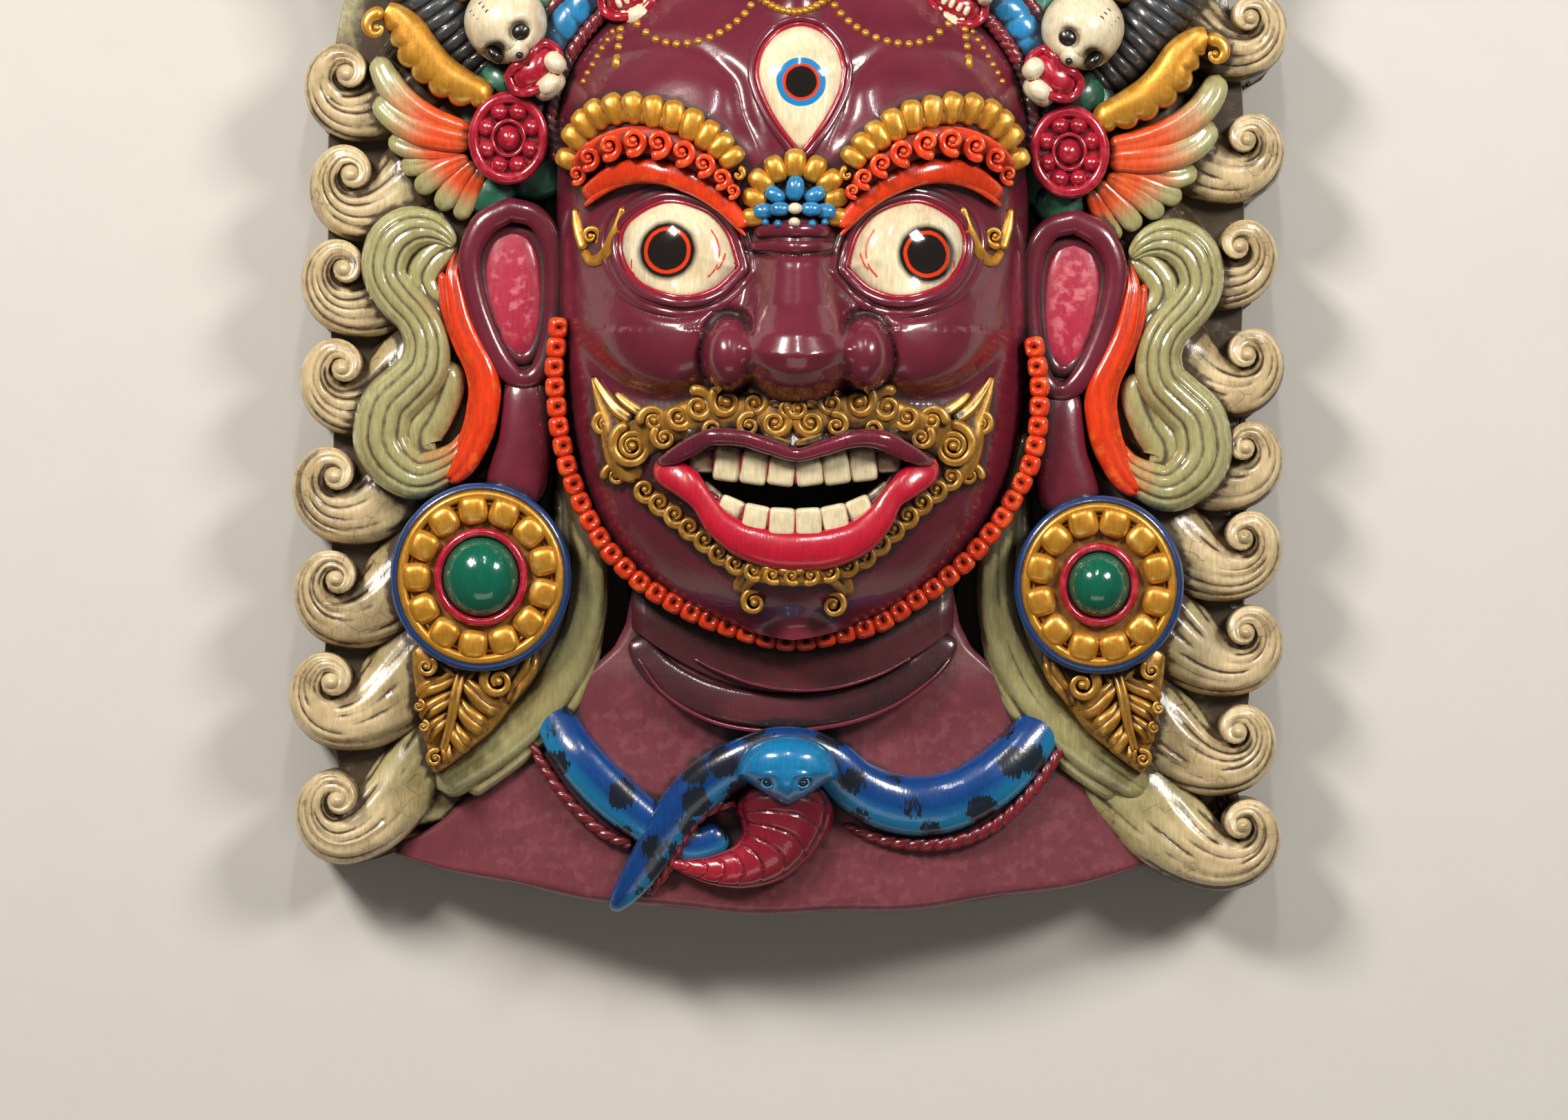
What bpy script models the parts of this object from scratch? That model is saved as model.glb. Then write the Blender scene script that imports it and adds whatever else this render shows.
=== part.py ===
"""Large painted wall mask of a three-eyed guardian, carved as one block of wood.

The mask lies on its flat back: +Z points out of the face, +Y to the crown, +X to
the viewer's right. Places on the carving are in millimetres from the middle of its
width and height. Blender units are metres.
"""

import math

import bmesh
import bpy
import numpy as np
from mathutils import Matrix, Vector

MM = 0.001

# Overall block
MASK_HEIGHT = 910.0
MASK_WIDTH = 660.0
WALL = 27.0
BACK_RIM = 30.0

# Head
FACE_X = 4.4
HEAD_HALF_WIDTH = 157.0
HEAD_TOP = 187.0
CHIN_Y = -273.0
HEAD_EDGE_Z = 92.0
HEAD_FRONT_Z = 178.0
NOSE_TIP_Z = 236.0

# Hair columns
LOCK_CREST_Z = 80.0
LOCK_TAIL_Z = 62.0
VOLUTE_RADIUS = 38.4
VOLUTE_BELLY = 8.6
VOLUTE_SHRINK = 0.24
VOLUTE_TURNS = 1.3
HAIR_BED_Z = 57.0

# Ears and their discs
EAR_RIM = 12.0
EAR_Z = 100.0
EARRING_RADIUS = 60.0
EARRING_Z = 122.0
EARRING_STONE = 26.0

# Crown
SKULL_RADIUS = 28.0
SKULL_Z = 104.0
BAND_RADIUS = 12.0
ROPE_RADIUS = 5.0

# Bust and serpent
BUST_CENTRE_Z = 92.0
BUST_EDGE_Z = 46.0
SERPENT_RADIUS = 16.0

# Mouth
MOUTH_HALF_WIDTH = 66.0
MOUTH_GAP = 17.0

# Draft of the carving towards the height of its middle
DRAFT_X = -1.4
DRAFT_Y = -219.7
DRAFT_FROM = 60.0
DRAFT_LEVEL = 100.0
DRAFT_REACH = 3000.0
SHIFT_X = -1.7
SHIFT_Y = -3.4

# Carving resolution
FOOT = -9.0
VOXEL = 2.6
FACET_BUDGET = 9000


def clear_scene():
    """Removes whatever the file holds."""
    for item in list(bpy.data.objects):
        bpy.data.objects.remove(item, do_unlink=True)


def smooth_path(points, count):
    """Even samples of a smooth curve through rows of numbers, such as x, y, half width, height."""
    rows = np.array(points, float)
    first = 2 * rows[0] - rows[1]
    last = 2 * rows[-1] - rows[-2]
    rows = np.vstack([first, rows, last])
    out = []
    for a, b, c, d in zip(rows[:-3], rows[1:-2], rows[2:-1], rows[3:]):
        for t in np.linspace(0.0, 1.0, 12, endpoint=False):
            out.append(
                0.5
                * (
                    2 * b
                    + (c - a) * t
                    + (2 * a - 5 * b + 4 * c - d) * t * t
                    + (3 * b - a - 3 * c + d) * t ** 3
                )
            )
    out.append(rows[-2])
    out = np.array(out)
    length = np.concatenate(
        [[0.0], np.cumsum(np.linalg.norm(np.diff(out[:, :2], axis=0), axis=1))]
    )
    even = np.linspace(0.0, length[-1], count)
    return np.column_stack([np.interp(even, length, col) for col in out.T])


def mirrored(points, drop=0.0):
    """The same rows on the other side of the face, lower by drop."""
    rows = np.array(points, float)
    rows[:, 0] = 2 * FACE_X - rows[:, 0]
    rows[:, 1] -= drop
    return rows


def add_mesh(name, points, faces, shapes):
    """A mesh object from points in millimetres."""
    mesh = bpy.data.meshes.new(name)
    mesh.from_pydata([tuple(p * MM) for p in np.asarray(points)], [], faces)
    mesh.validate()
    made = bpy.data.objects.new(name, mesh)
    shapes.objects.link(made)
    return made


def loft(name, rings, shapes):
    """A closed body through rings of equal count, its ends filled."""
    rings = np.asarray(rings, float)
    rows, sides = rings.shape[:2]
    faces = []
    for i in range(rows - 1):
        for j in range(sides):
            k = (j + 1) % sides
            faces.append(
                (i * sides + j, i * sides + k, (i + 1) * sides + k, (i + 1) * sides + j)
            )
    faces.append(tuple(reversed(range(sides))))
    faces.append(tuple((rows - 1) * sides + j for j in range(sides)))
    return add_mesh(name, rings.reshape(-1, 3), faces, shapes)


def lock(name, rows, shapes, foot=FOOT, roundness=0.55, sides=9):
    """A carved strand or strip: an arched top over upright sides that reach down to foot.

    Each row is x, y, half width and crest height.
    """
    rows = np.asarray(rows, float)
    along = np.gradient(rows[:, :2], axis=0)
    along /= np.linalg.norm(along, axis=1)[:, None] + 1e-9
    across = np.column_stack([along[:, 1], -along[:, 0]])
    angle = np.linspace(0.0, math.pi, sides)
    side = np.cos(angle)
    rise = np.sin(angle) ** roundness
    rings = []
    for (x, y, half, crest), lateral in zip(rows[:, :4], across):
        arch = min(1.1 * half, 0.5 * (crest - foot) + 4.0)
        top = np.column_stack(
            [
                x + lateral[0] * half * side,
                y + lateral[1] * half * side,
                crest - arch + arch * rise,
            ]
        )
        low = np.array(
            [
                [x - lateral[0] * half, y - lateral[1] * half, foot],
                [x + lateral[0] * half, y + lateral[1] * half, foot],
            ]
        )
        rings.append(np.vstack([top, low]))
    return loft(name, rings, shapes)


def tube(name, rows, shapes, sides=10, flat=1.0):
    """A round cord along x, y, radius, z rows."""
    rows = np.asarray(rows, float)
    along = np.gradient(rows[:, :2], axis=0)
    along /= np.linalg.norm(along, axis=1)[:, None] + 1e-9
    across = np.column_stack([along[:, 1], -along[:, 0]])
    angle = np.linspace(0.0, 2 * math.pi, sides, endpoint=False)
    rings = [
        np.column_stack(
            [
                x + lateral[0] * radius * np.cos(angle),
                y + lateral[1] * radius * np.cos(angle),
                z + flat * radius * np.sin(angle),
            ]
        )
        for (x, y, radius, z), lateral in zip(rows[:, :4], across)
    ]
    return loft(name, rings, shapes)


def drum(name, centre, radius, low, high, shapes, lean=(0.0, 0.0), oval=1.0):
    """A short upright drum, its top tilted by lean and its height in Y scaled by oval."""
    bpy.ops.mesh.primitive_cylinder_add(
        vertices=40,
        radius=radius * MM,
        depth=(high - low) * MM,
        location=(centre[0] * MM, centre[1] * MM, (low + high) / 2 * MM),
        rotation=(lean[0], lean[1], 0.0),
        scale=(1.0, oval, 1.0),
    )
    return adopt(name, shapes)


def ball(name, centre, radii, shapes, turn=0.0):
    """An ellipsoid boss."""
    bpy.ops.mesh.primitive_uv_sphere_add(
        segments=24,
        ring_count=16,
        radius=1.0,
        location=[c * MM for c in centre],
        rotation=(0.0, 0.0, turn),
        scale=[r * MM for r in radii],
    )
    return adopt(name, shapes)


def adopt(name, shapes):
    """Names the primitive just added and moves it to the shapes collection."""
    made = bpy.context.object
    made.name = name
    for owner in list(made.users_collection):
        owner.objects.unlink(made)
    shapes.objects.link(made)
    return made


def head_outline():
    """The head's outline seen from the front: a round crown over a long jaw."""
    dome_y = HEAD_TOP - 117.0
    jaw = dome_y - CHIN_Y
    points = []
    for angle in np.radians(np.arange(0, 181, 6)):
        points.append(
            (HEAD_HALF_WIDTH * math.cos(angle), dome_y + 117.0 * math.sin(angle))
        )
    share = np.concatenate([np.linspace(0.04, 0.9, 22), np.linspace(0.92, 1.0, 12)])
    width = HEAD_HALF_WIDTH * np.maximum(0.0, 1 - share ** 5.8) ** 0.714
    left = [(-w, dome_y - jaw * t) for w, t in zip(width, share)]
    right = [(w, y) for (w, y) in [(-x, y) for x, y in left]]
    return np.array(points + left + right[::-1][1:])


HEAD_CENTRE_Y = -40.0


def polar_radius(outline, centre_y):
    """Angle and radius of an outline about a centre, sorted by angle."""
    x, y = outline[:, 0], outline[:, 1] - centre_y
    angle = np.arctan2(y, x)
    order = np.argsort(angle)
    return angle[order], np.hypot(x, y)[order]


def bump(x, y, cx, cy, rx, ry, power=1.0):
    """A smooth hill, 1 at its middle, with half widths rx and ry."""
    return np.exp(-((((x - cx) / rx) ** 2 + ((y - cy) / ry) ** 2) ** power))


def cap(x, y, cx, cy, rx, ry):
    """A rounded cap, 1 at its middle and 0 outside its ellipse."""
    inside = 1 - ((x - cx) / rx) ** 2 - ((y - cy) / ry) ** 2
    return np.sqrt(np.clip(inside, 0.0, 1.0))


def smooth_max(a, b, blend):
    """The higher of two heights, rounded where they meet."""
    mix = np.clip(0.5 + 0.5 * (a - b) / blend, 0.0, 1.0)
    return b + (a - b) * mix + blend * mix * (1 - mix)


def face_height(x, y, share):
    """Height of the face's front over the head's own plane, share being 0 in the middle and 1 at the outline."""
    side = np.abs(x)
    edge = HEAD_EDGE_Z + 18.0 * np.clip((-150.0 - y) / 100.0, 0.0, 1.0)
    z = edge + (HEAD_FRONT_Z - edge) * np.clip(1 - share ** 2.5, 0.0, 1.0) ** 0.6
    z = z + 7.0 * bump(x, y, 0, 105, 90, 40) - 3.0 * bump(side, y, 27, 70, 10, 30)
    z = z + 8.0 * bump(side, y, 82, 58, 62, 20)
    z = z - 12.0 * bump(side, y, 82, -14, 46, 36, 1.4)
    z = z + 9.0 * bump(side, y, 84, -14, 44, 37, 4.0)
    cheek = 120.0 + 64.0 * cap(side, y, 82, -70, 80, 64)
    z = smooth_max(z, np.where(cheek > 121, cheek, 0.0), 12.0)
    muzzle = 150.0 + 38.0 * cap(x, y, 0, -172, 112, 68)
    z = smooth_max(z, np.where(muzzle > 151, muzzle, 0.0), 12.0)
    chin = 140.0 + 36.0 * cap(x, y, 0, -240, 44, 32)
    z = smooth_max(z, np.where(chin > 141, chin, 0.0), 12.0)
    run = np.clip((10.0 - y) / 100.0, 0.0, 1.0)
    bridge = 186.0 + (NOSE_TIP_Z - 12.0 - 186.0) * run ** 1.3
    bridge = bridge - (side / (22.0 + 8.0 * run)) ** 2.2 * 16.0
    bridge = np.where((y < 20) & (y > -100), bridge, 0.0)
    z = smooth_max(z, bridge, 8.0)
    tip = 188.0 + (NOSE_TIP_Z - 188.0) * cap(x, y, 0, -84, 36, 31)
    z = smooth_max(z, np.where(tip > 189, tip, 0.0), 8.0)
    wing = 180.0 + 34.0 * cap(side, y, 42, -82, 20, 20)
    z = smooth_max(z, np.where(wing > 181, wing, 0.0), 4.0)
    return z


def build_head(shapes):
    """The head: a dome over its outline, worked from rings of points."""
    angle, radius = polar_radius(head_outline(), HEAD_CENTRE_Y)
    spokes = np.linspace(-math.pi, math.pi, 160, endpoint=False)
    reach = np.interp(spokes, angle, radius, period=2 * math.pi)
    rings = []
    for share in np.concatenate([np.linspace(0.015, 0.9, 48), np.linspace(0.92, 1.0, 8)]):
        x = share * reach * np.cos(spokes)
        y = HEAD_CENTRE_Y + share * reach * np.sin(spokes)
        z = face_height(x, y, np.full_like(x, share))
        rings.append(np.column_stack([x + FACE_X, y, z]))
    rings.append(np.column_stack([rings[-1][:, :2], np.full(len(spokes), FOOT)]))
    return loft("head", rings, shapes)


def build_eyes(shapes):
    """Bulging eyes with their lids, and the upright third eye."""
    for sign in (-1, 1):
        x = FACE_X + sign * 79.0
        ball("eye", (x, -12, 172), (37, 31, 27), shapes)
        rim = [
            (x + 41 * math.cos(a), -12 + 35 * math.sin(a), 4.5, 178)
            for a in np.linspace(0, 2 * math.pi, 40)
        ]
        tube("lid", rim, shapes)
    third = third_eye_outline(28.5)
    rows = [(px, py, 3.5, 184 + 6 * bump(0, py, 0, 100, 1, 60)) for px, py in third]
    tube("third_lid", rows, shapes)
    ball("third_eye", (FACE_X + 3, 104, 178), (27, 32, 13), shapes)


def third_eye_outline(radius):
    """A drop shape, round above and pointed below."""
    points = []
    for a in np.linspace(-0.1 * math.pi, 1.1 * math.pi, 26):
        points.append((FACE_X + 3 + radius * math.cos(a), 107 + 1.1 * radius * math.sin(a)))
    left = smooth_path([points[-1], (FACE_X - 14, 78), (FACE_X + 3, 56)], 10)
    right = smooth_path([(FACE_X + 3, 56), (FACE_X + 20, 78), points[0]], 10)
    return np.vstack([points, left[1:], right[1:]])


BROW = [
    (-141, 31, 4, 150),
    (-132, 37, 6, 160),
    (-116, 47, 6.5, 178),
    (-98, 52, 6, 189),
    (-79, 49, 5.5, 194),
    (-63, 43, 5, 197),
    (-47, 31, 5, 198),
    (-35, 17, 3.5, 196),
]
BROW_CURLS = [
    (-141, 49, 6, 146),
    (-129, 53, 7, 160),
    (-115, 60, 8, 176),
    (-98, 63, 9, 187),
    (-80, 58, 9, 193),
    (-65, 51, 8, 196),
    (-50, 44, 7, 198),
    (-37, 35, 7, 199),
]


def build_brows(shapes):
    """Brows: a smooth lower band, a row of curls and a scalloped border over it."""
    for sign in (-1, 1):
        band = np.array(BROW, float)
        band[:, 0] = FACE_X + sign * -band[:, 0]
        lock("brow_band", smooth_path(band, 26), shapes, foot=120)
        for x, y, r, z in BROW_CURLS:
            ball("brow_curl", (FACE_X + sign * -x, y, z - 2), (r, r, 7), shapes)
        for i in range(10):
            t = i / 9.0
            x = -147 + 106 * t
            y = 62 + 78 * t * (1 - t) - 10 * t
            z = 150 + 46 * min(1.0, 1.9 * t)
            ball("scallop", (FACE_X + sign * -x, y, z - 3), (7.5, 8.5, 7), shapes)
    for i in range(7):
        a = math.radians(-12 + 34 * i)
        x = FACE_X - 1 + 25 * math.cos(a)
        y = 15 + 27 * math.sin(a)
        ball("root_petal", (x, y, 196), (7.5, 8, 6), shapes)
    ball("root_flower", (FACE_X - 1, 20, 198), (15, 15, 9), shapes)
    ball("root_pad", (FACE_X, 0, 194), (28, 9.5, 11), shapes)


def mouth_line(x):
    """Middle of the mouth's opening across its width."""
    share = (x - FACE_X) / MOUTH_HALF_WIDTH
    return -175.5 + 20.0 * share * share


def build_mouth(shapes):
    """Lips, two rows of teeth and the scrolls of the moustache and beard."""
    upper = [
        (-96, -152, 5, 172),
        (-76, -143, 8, 186),
        (-50, -136, 8, 196),
        (-24, -139, 8, 201),
        (0, -146, 7, 203),
        (24, -139, 8, 201),
        (50, -136, 8, 196),
        (76, -143, 8, 186),
        (96, -152, 5, 172),
    ]
    lower = [
        (-96, -152, 5, 172),
        (-84, -165, 9, 182),
        (-66, -180, 9, 189),
        (-47, -199, 9, 193),
        (-22, -209, 10, 197),
        (0, -212, 10.5, 198),
        (22, -209, 10, 197),
        (47, -199, 9, 193),
        (66, -180, 9, 189),
        (84, -165, 9, 182),
        (96, -152, 5, 172),
    ]
    for name, rows in (("upper_lip", upper), ("lower_lip", lower)):
        placed = np.array(rows, float)
        placed[:, 0] += FACE_X
        lock(name, smooth_path(placed, 40), shapes, foot=120)
    for i in range(8):
        share = (i - 3.5) / 4.0
        x = FACE_X + share * MOUTH_HALF_WIDTH
        middle = mouth_line(x)
        z = 186 - 20 * share * share
        for sign in (1, -1):
            y = middle + sign * (MOUTH_GAP / 2 + 8.5)
            ball("tooth", (x, y, z), (8.6, 9.5, 10), shapes)
    for sign in (-1, 1):
        row = [
            (0, -127, 8, 202),
            (22, -119, 10, 201),
            (45, -120, 10, 194),
            (66, -131, 9, 184),
            (88, -143, 16, 172),
            (118, -116, 7, 150),
            (128, -98, 3, 140),
        ]
        placed = [(FACE_X + sign * x, y, half, z) for x, y, half, z in row]
        lock("moustache", smooth_path(placed, 34), shapes, foot=110)
        ball("moustache_scroll", (FACE_X + sign * 98, -141, 166), (17, 18, 9), shapes)
        beard = [
            (98, -160, 7, 166),
            (88, -180, 7, 172),
            (70, -203, 7, 180),
            (50, -221, 7, 186),
            (26, -231, 7, 190),
            (0, -233, 6, 192),
        ]
        placed = [(FACE_X + sign * x, y, half, z) for x, y, half, z in beard]
        lock("beard", smooth_path(placed, 26), shapes, foot=120)
        ball("chin_curl", (FACE_X + sign * 24, -243, 184), (10, 11, 6), shapes)


def jaw_beads(shapes):
    """The row of little curls along the jaw."""
    outline = head_outline()
    outline = outline[outline[:, 1] < -45]
    rows = [(x * 1.0 + FACE_X, y, 6.5, 118) for x, y in outline]
    left = [r for r in rows if r[0] <= FACE_X]
    right = [r for r in rows if r[0] >= FACE_X]
    left.sort(key=lambda r: -r[1])
    right.sort(key=lambda r: r[1])
    tube("jaw_beads", smooth_path(left + right[1:], 90), shapes)


def volute_rows(eye, size, sense, heading, start=0.0):
    """Rows of a lock's curl about its eye, from the wide foot of the curl inwards.

    sense is 1 for counter-clockwise, and heading is the angle where the curl starts.
    """
    turn = np.linspace(start, VOLUTE_TURNS * 2 * math.pi, 44)
    outer = size * VOLUTE_RADIUS * np.exp(-VOLUTE_SHRINK * turn)
    inner = outer * math.exp(-VOLUTE_SHRINK * 2 * math.pi)
    outer = outer + size * VOLUTE_BELLY * np.maximum(0.0, 1 - turn / 1.2) ** 2
    reach = (outer + inner) / 2
    half = np.maximum((outer - inner) / 2, 2.4)
    angle = heading + sense * turn
    crest = LOCK_CREST_Z + 9.0 * np.minimum(1.0, turn / 5.0)
    return np.column_stack(
        [eye[0] + reach * np.cos(angle), eye[1] + reach * np.sin(angle), half, crest]
    )


def hair_lock(name, eye, tail, sense, heading, shapes, size=1.0):
    """One lock: a tail from inside the hair that runs out into a volute."""
    curl = volute_rows(eye, size, sense, heading)
    root = [
        (eye[0] + tx, eye[1] + ty, half * size, z) for tx, ty, half, z in tail
    ]
    rows = np.vstack([smooth_path(root + [tuple(curl[0])], 22)[:-1], curl])
    lock(name, rows, shapes, roundness=0.6)
    ball(name + "_eye", (eye[0], eye[1], LOCK_CREST_Z), (7 * size, 7 * size, 12), shapes)


LEFT_EYES = (
    (-293, 104), (-290, 37), (-295, -26), (-296, -92),
    (-301, -164), (-300, -233), (-303, -301), (-299, -380),
)
RIGHT_EYES = (
    (309, 141), (307, 60), (302, -11), (307, -83), (306, -145),
    (305, -205), (306, -268), (301, -334), (304, -397),
)


RIGHT_SIZE = 0.9


def side_tail(sign, rise=0.0):
    """A tail from the inner side, as offsets from the curl's eye, its root lifted by rise."""
    return [
        (sign * -132, 82, 13, LOCK_TAIL_Z - 10 + 0.5 * rise),
        (sign * -106, 56, 26, LOCK_TAIL_Z + rise),
        (sign * -78, 30, 28, LOCK_TAIL_Z + 2 + 0.5 * rise),
        (sign * -54, 7, 27, LOCK_TAIL_Z + 6 + 0.2 * rise),
        (sign * -33, -13, 23, LOCK_TAIL_Z + 11),
        (sign * -16, -23, 20, LOCK_TAIL_Z + 15),
    ]


def build_hair(shapes):
    """The columns of locks on both sides, and the locks that close over the crown."""
    for i, eye in enumerate(LEFT_EYES):
        hair_lock(f"left_lock_{i}", eye, side_tail(-1), -1, math.radians(-90), shapes)
    for i, eye in enumerate(RIGHT_EYES):
        hair_lock(f"right_lock_{i}", eye, side_tail(1), 1, math.radians(-90), shapes, RIGHT_SIZE)
    for sign in (-1, 1):
        for i in range(5):
            bearing = math.radians(22 + 14 * i)
            reach_x, reach_y = MASK_WIDTH / 2 - 30.0, MASK_HEIGHT / 2 - 175.0
            eye = (sign * reach_x * math.cos(bearing), 120 + reach_y * math.sin(bearing))
            lean = bearing
            tail = []
            for tx, ty, half, z in side_tail(1, 16.0):
                turned = (
                    tx * math.cos(lean) - ty * math.sin(lean),
                    tx * math.sin(lean) + ty * math.cos(lean),
                )
                tail.append((sign * turned[0], turned[1], half, z))
            heading = math.radians(-90) + lean
            if sign < 0:
                heading = math.pi - heading
            hair_lock(f"crown_lock_{i}_{sign}", eye, tail, sign, heading, shapes)
    build_top_flame(shapes)
    build_hair_bed(shapes)


def build_top_flame(shapes):
    """The upright tuft at the very top, with a volute on each side of it."""
    top = MASK_HEIGHT / 2
    rows = [
        (FACE_X, 270, 24, 80),
        (FACE_X, 330, 34, 90),
        (FACE_X, 385, 32, 92),
        (FACE_X, 425, 19, 88),
        (FACE_X, top - 3, 6, 76),
    ]
    lock("top_flame", smooth_path(rows, 20), shapes)
    for sign in (-1, 1):
        eye = (FACE_X + sign * 34, 392)
        tail = [(sign * -10, -110, 20, 60), (sign * 14, -70, 20, 70)]
        heading = math.radians(-20) if sign > 0 else math.radians(-160)
        hair_lock(f"top_lock_{sign}", eye, tail, sign, heading, shapes, size=0.8)


def build_hair_bed(shapes):
    """The plank behind the locks, kept inside their outline."""
    for sign in (-1, 1):
        rows = [
            (sign * 262, -400, 28, HAIR_BED_Z),
            (sign * 245, -330, 66, HAIR_BED_Z),
            (sign * 232, -240, 74, HAIR_BED_Z),
            (sign * 220, -120, 84, HAIR_BED_Z),
            (sign * 212, 0, 96, HAIR_BED_Z),
            (sign * 190, 120, 112, HAIR_BED_Z),
            (sign * 140, 220, 112, HAIR_BED_Z),
            (sign * 70, 290, 100, HAIR_BED_Z),
        ]
        lock("hair_bed", smooth_path(rows, 30), shapes, roundness=0.2)
    ball("crown_bed", (FACE_X, 250, 20), (150, 130, 58), shapes)


RIBBON = [
    (-220, -11, 3.5, 92),
    (-229, -3, 8, 95),
    (-239, 1, 11.5, 96),
    (-251, 0, 15, 96),
    (-262, -8, 16.5, 96),
    (-267, -21, 15.5, 96),
    (-266, -33, 14.5, 96),
    (-258, -45, 14.5, 97),
    (-247, -57, 14, 98),
    (-241, -68, 14.5, 99),
    (-239, -80, 15.5, 100),
    (-242, -94, 17, 100),
    (-253, -106, 18, 99),
    (-264, -117, 19, 98),
    (-268, -130, 19.5, 98),
    (-268, -142, 19.5, 98),
    (-261, -154, 18.5, 98),
    (-247, -163, 16.5, 98),
    (-232, -160, 14, 98),
    (-215, -150, 11, 97),
    (-206, -132, 8, 94),
]
FLAME_STRIP = [
    (-218, -18, 2, 92),
    (-221, -32, 5, 98),
    (-219, -47, 7, 100),
    (-215, -63, 7.5, 101),
    (-209, -78, 8, 102),
    (-202, -92, 8.5, 103),
    (-199, -106, 8.5, 103),
    (-200, -118, 8.5, 103),
    (-203, -132, 8.5, 102),
    (-209, -146, 8.5, 101),
    (-215, -158, 7.5, 100),
    (-225, -168, 5.5, 98),
]
INNER_STRAND = [
    (-151, -138, 5, 84),
    (-139, -184, 13, 88),
    (-137, -226, 17, 88),
    (-145, -267, 20, 86),
    (-168, -308, 22, 82),
    (-202, -338, 21, 80),
    (-232, -356, 16, 76),
    (-262, -382, 14, 70),
    (-280, -404, 12, 66),
]
EAR_RIM_PATH = [
    (-184, 17),
    (-202, 11),
    (-211, -6),
    (-211, -26),
    (-207, -49),
    (-199, -75),
    (-188, -96),
    (-174, -102),
    (-163, -86),
    (-159, -58),
    (-157, -31),
    (-157, -6),
    (-165, 12),
    (-184, 17),
]
LOBE = [
    (-173, -90, 19, 104),
    (-174, -120, 18, 104),
    (-176, -145, 19, 105),
    (-181, -172, 22, 106),
    (-186, -200, 22, 106),
]
SIDE_DROP = 8.0


def build_sides(shapes):
    """Ribbons, flame strips, ears and the strands that run under the ear discs."""
    for sign in (-1, 1):
        drop = 0.0 if sign < 0 else SIDE_DROP

        def placed(rows):
            return np.array(rows, float) if sign < 0 else mirrored(rows, drop)

        lock("ribbon", smooth_path(placed(RIBBON), 64), shapes, roundness=0.7)
        lock("flame_strip", smooth_path(placed(FLAME_STRIP), 40), shapes)
        lock("inner_strand", smooth_path(placed(INNER_STRAND), 34), shapes)
        lock("lobe", smooth_path(placed(LOBE), 14), shapes, roundness=0.35)
        rim = np.column_stack(
            [placed(EAR_RIM_PATH), np.full(14, EAR_RIM * 0.8), np.full(14, EAR_Z)]
        )
        lock("ear_rim", smooth_path(rim, 50), shapes)
        x, y = (placed([(-184, -40)]))[0]
        ball("ear_floor", (x, y, 66), (26, 58, 26), shapes, turn=sign * 0.08)
        ball("ear_bean", (x, y + 6, 84), (17, 42, 12), shapes, turn=sign * 0.08)


def build_earrings(shapes):
    """Ear discs: a raised rim, a ring of bosses round a domed stone, and a leaf drop below."""
    for sign, x, y, size, count in ((-1, -203, -229, 1.0, 13), (1, 208, -234, 0.96, 12)):
        radius = EARRING_RADIUS * size
        drum("ear_disc", (x, y), radius, FOOT, EARRING_Z - 6, shapes, (0.0, sign * 0.06))
        rim = [
            (x + (radius - 4) * math.cos(a), y + (radius - 4) * math.sin(a), 4.5, EARRING_Z - 5)
            for a in np.linspace(0, 2 * math.pi, 60)
        ]
        tube("disc_rim", rim, shapes, flat=1.3)
        for i in range(count):
            a = 2 * math.pi * (i + 0.5) / count
            spot = (x + 0.73 * radius * math.cos(a), y + 0.73 * radius * math.sin(a))
            ball("disc_boss", (*spot, EARRING_Z - 5), (8.6, 8.6, 9), shapes)
        ball("disc_stone", (x, y, EARRING_Z - 4), (EARRING_STONE, EARRING_STONE, 17), shapes)
        leaf = [
            (x, y - 0.8 * radius, 38, 94),
            (x + sign * -2, y - 1.2 * radius, 33, 100),
            (x + sign * 10, y - 1.7 * radius, 20, 100),
            (x + sign * 22, y - 2.12 * radius, 9, 94),
            (x + sign * 25, y - 2.2 * radius, 3, 90),
        ]
        lock("leaf_drop", smooth_path(leaf, 18), shapes)


def feather_rows(sign, drop):
    """The fan of feathers over the ear, from the rosette outwards."""
    fan = [
        [(-210, 78, 5, 98), (-231, 82, 5.5, 96), (-248, 92, 6.5, 94), (-262, 104, 7, 92), (-272, 118, 5.5, 88)],
        [(-210, 64, 6, 98), (-226, 66, 7, 97), (-243, 73, 7.5, 95), (-259, 81, 7, 92), (-273, 90, 5, 88)],
        [(-228, 59, 2, 92), (-248, 59, 4, 90), (-266, 62, 5.5, 86)],
        [(-211, 57, 4, 97), (-231, 56, 5, 95), (-244, 52, 6.5, 92), (-256, 41, 5.5, 88)],
        [(-209, 53, 4.5, 97), (-222, 49, 6, 95), (-234, 39, 7, 92), (-244, 25, 5.5, 88)],
        [(-205, 47, 5, 97), (-214, 39, 6, 95), (-222, 29, 6.5, 92), (-229, 16, 5.5, 88)],
        [(-203, 39, 4, 96), (-207, 28, 5, 94), (-213, 18, 5.5, 91), (-217, 6, 5, 88)],
    ]
    return [np.array(f, float) if sign < 0 else mirrored(f, drop) for f in fan]


GOLD_STRIP = [
    (-198, 90, 7, 104),
    (-212, 96, 9.5, 106),
    (-225, 104, 9.5, 107),
    (-238, 115, 9.5, 107),
    (-248, 126, 9, 106),
    (-256, 137, 8, 105),
    (-262, 145, 6.5, 104),
    (-271, 149, 5, 102),
    (-278, 143, 5, 102),
    (-278, 135, 4.5, 102),
    (-273, 130, 4, 102),
]
HORN = [
    (-196, 104, 12, 88),
    (-214, 122, 19, 94),
    (-236, 148, 22, 98),
    (-256, 180, 20, 98),
    (-268, 214, 16, 96),
    (-270, 248, 11, 93),
    (-262, 278, 5, 88),
]


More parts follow.
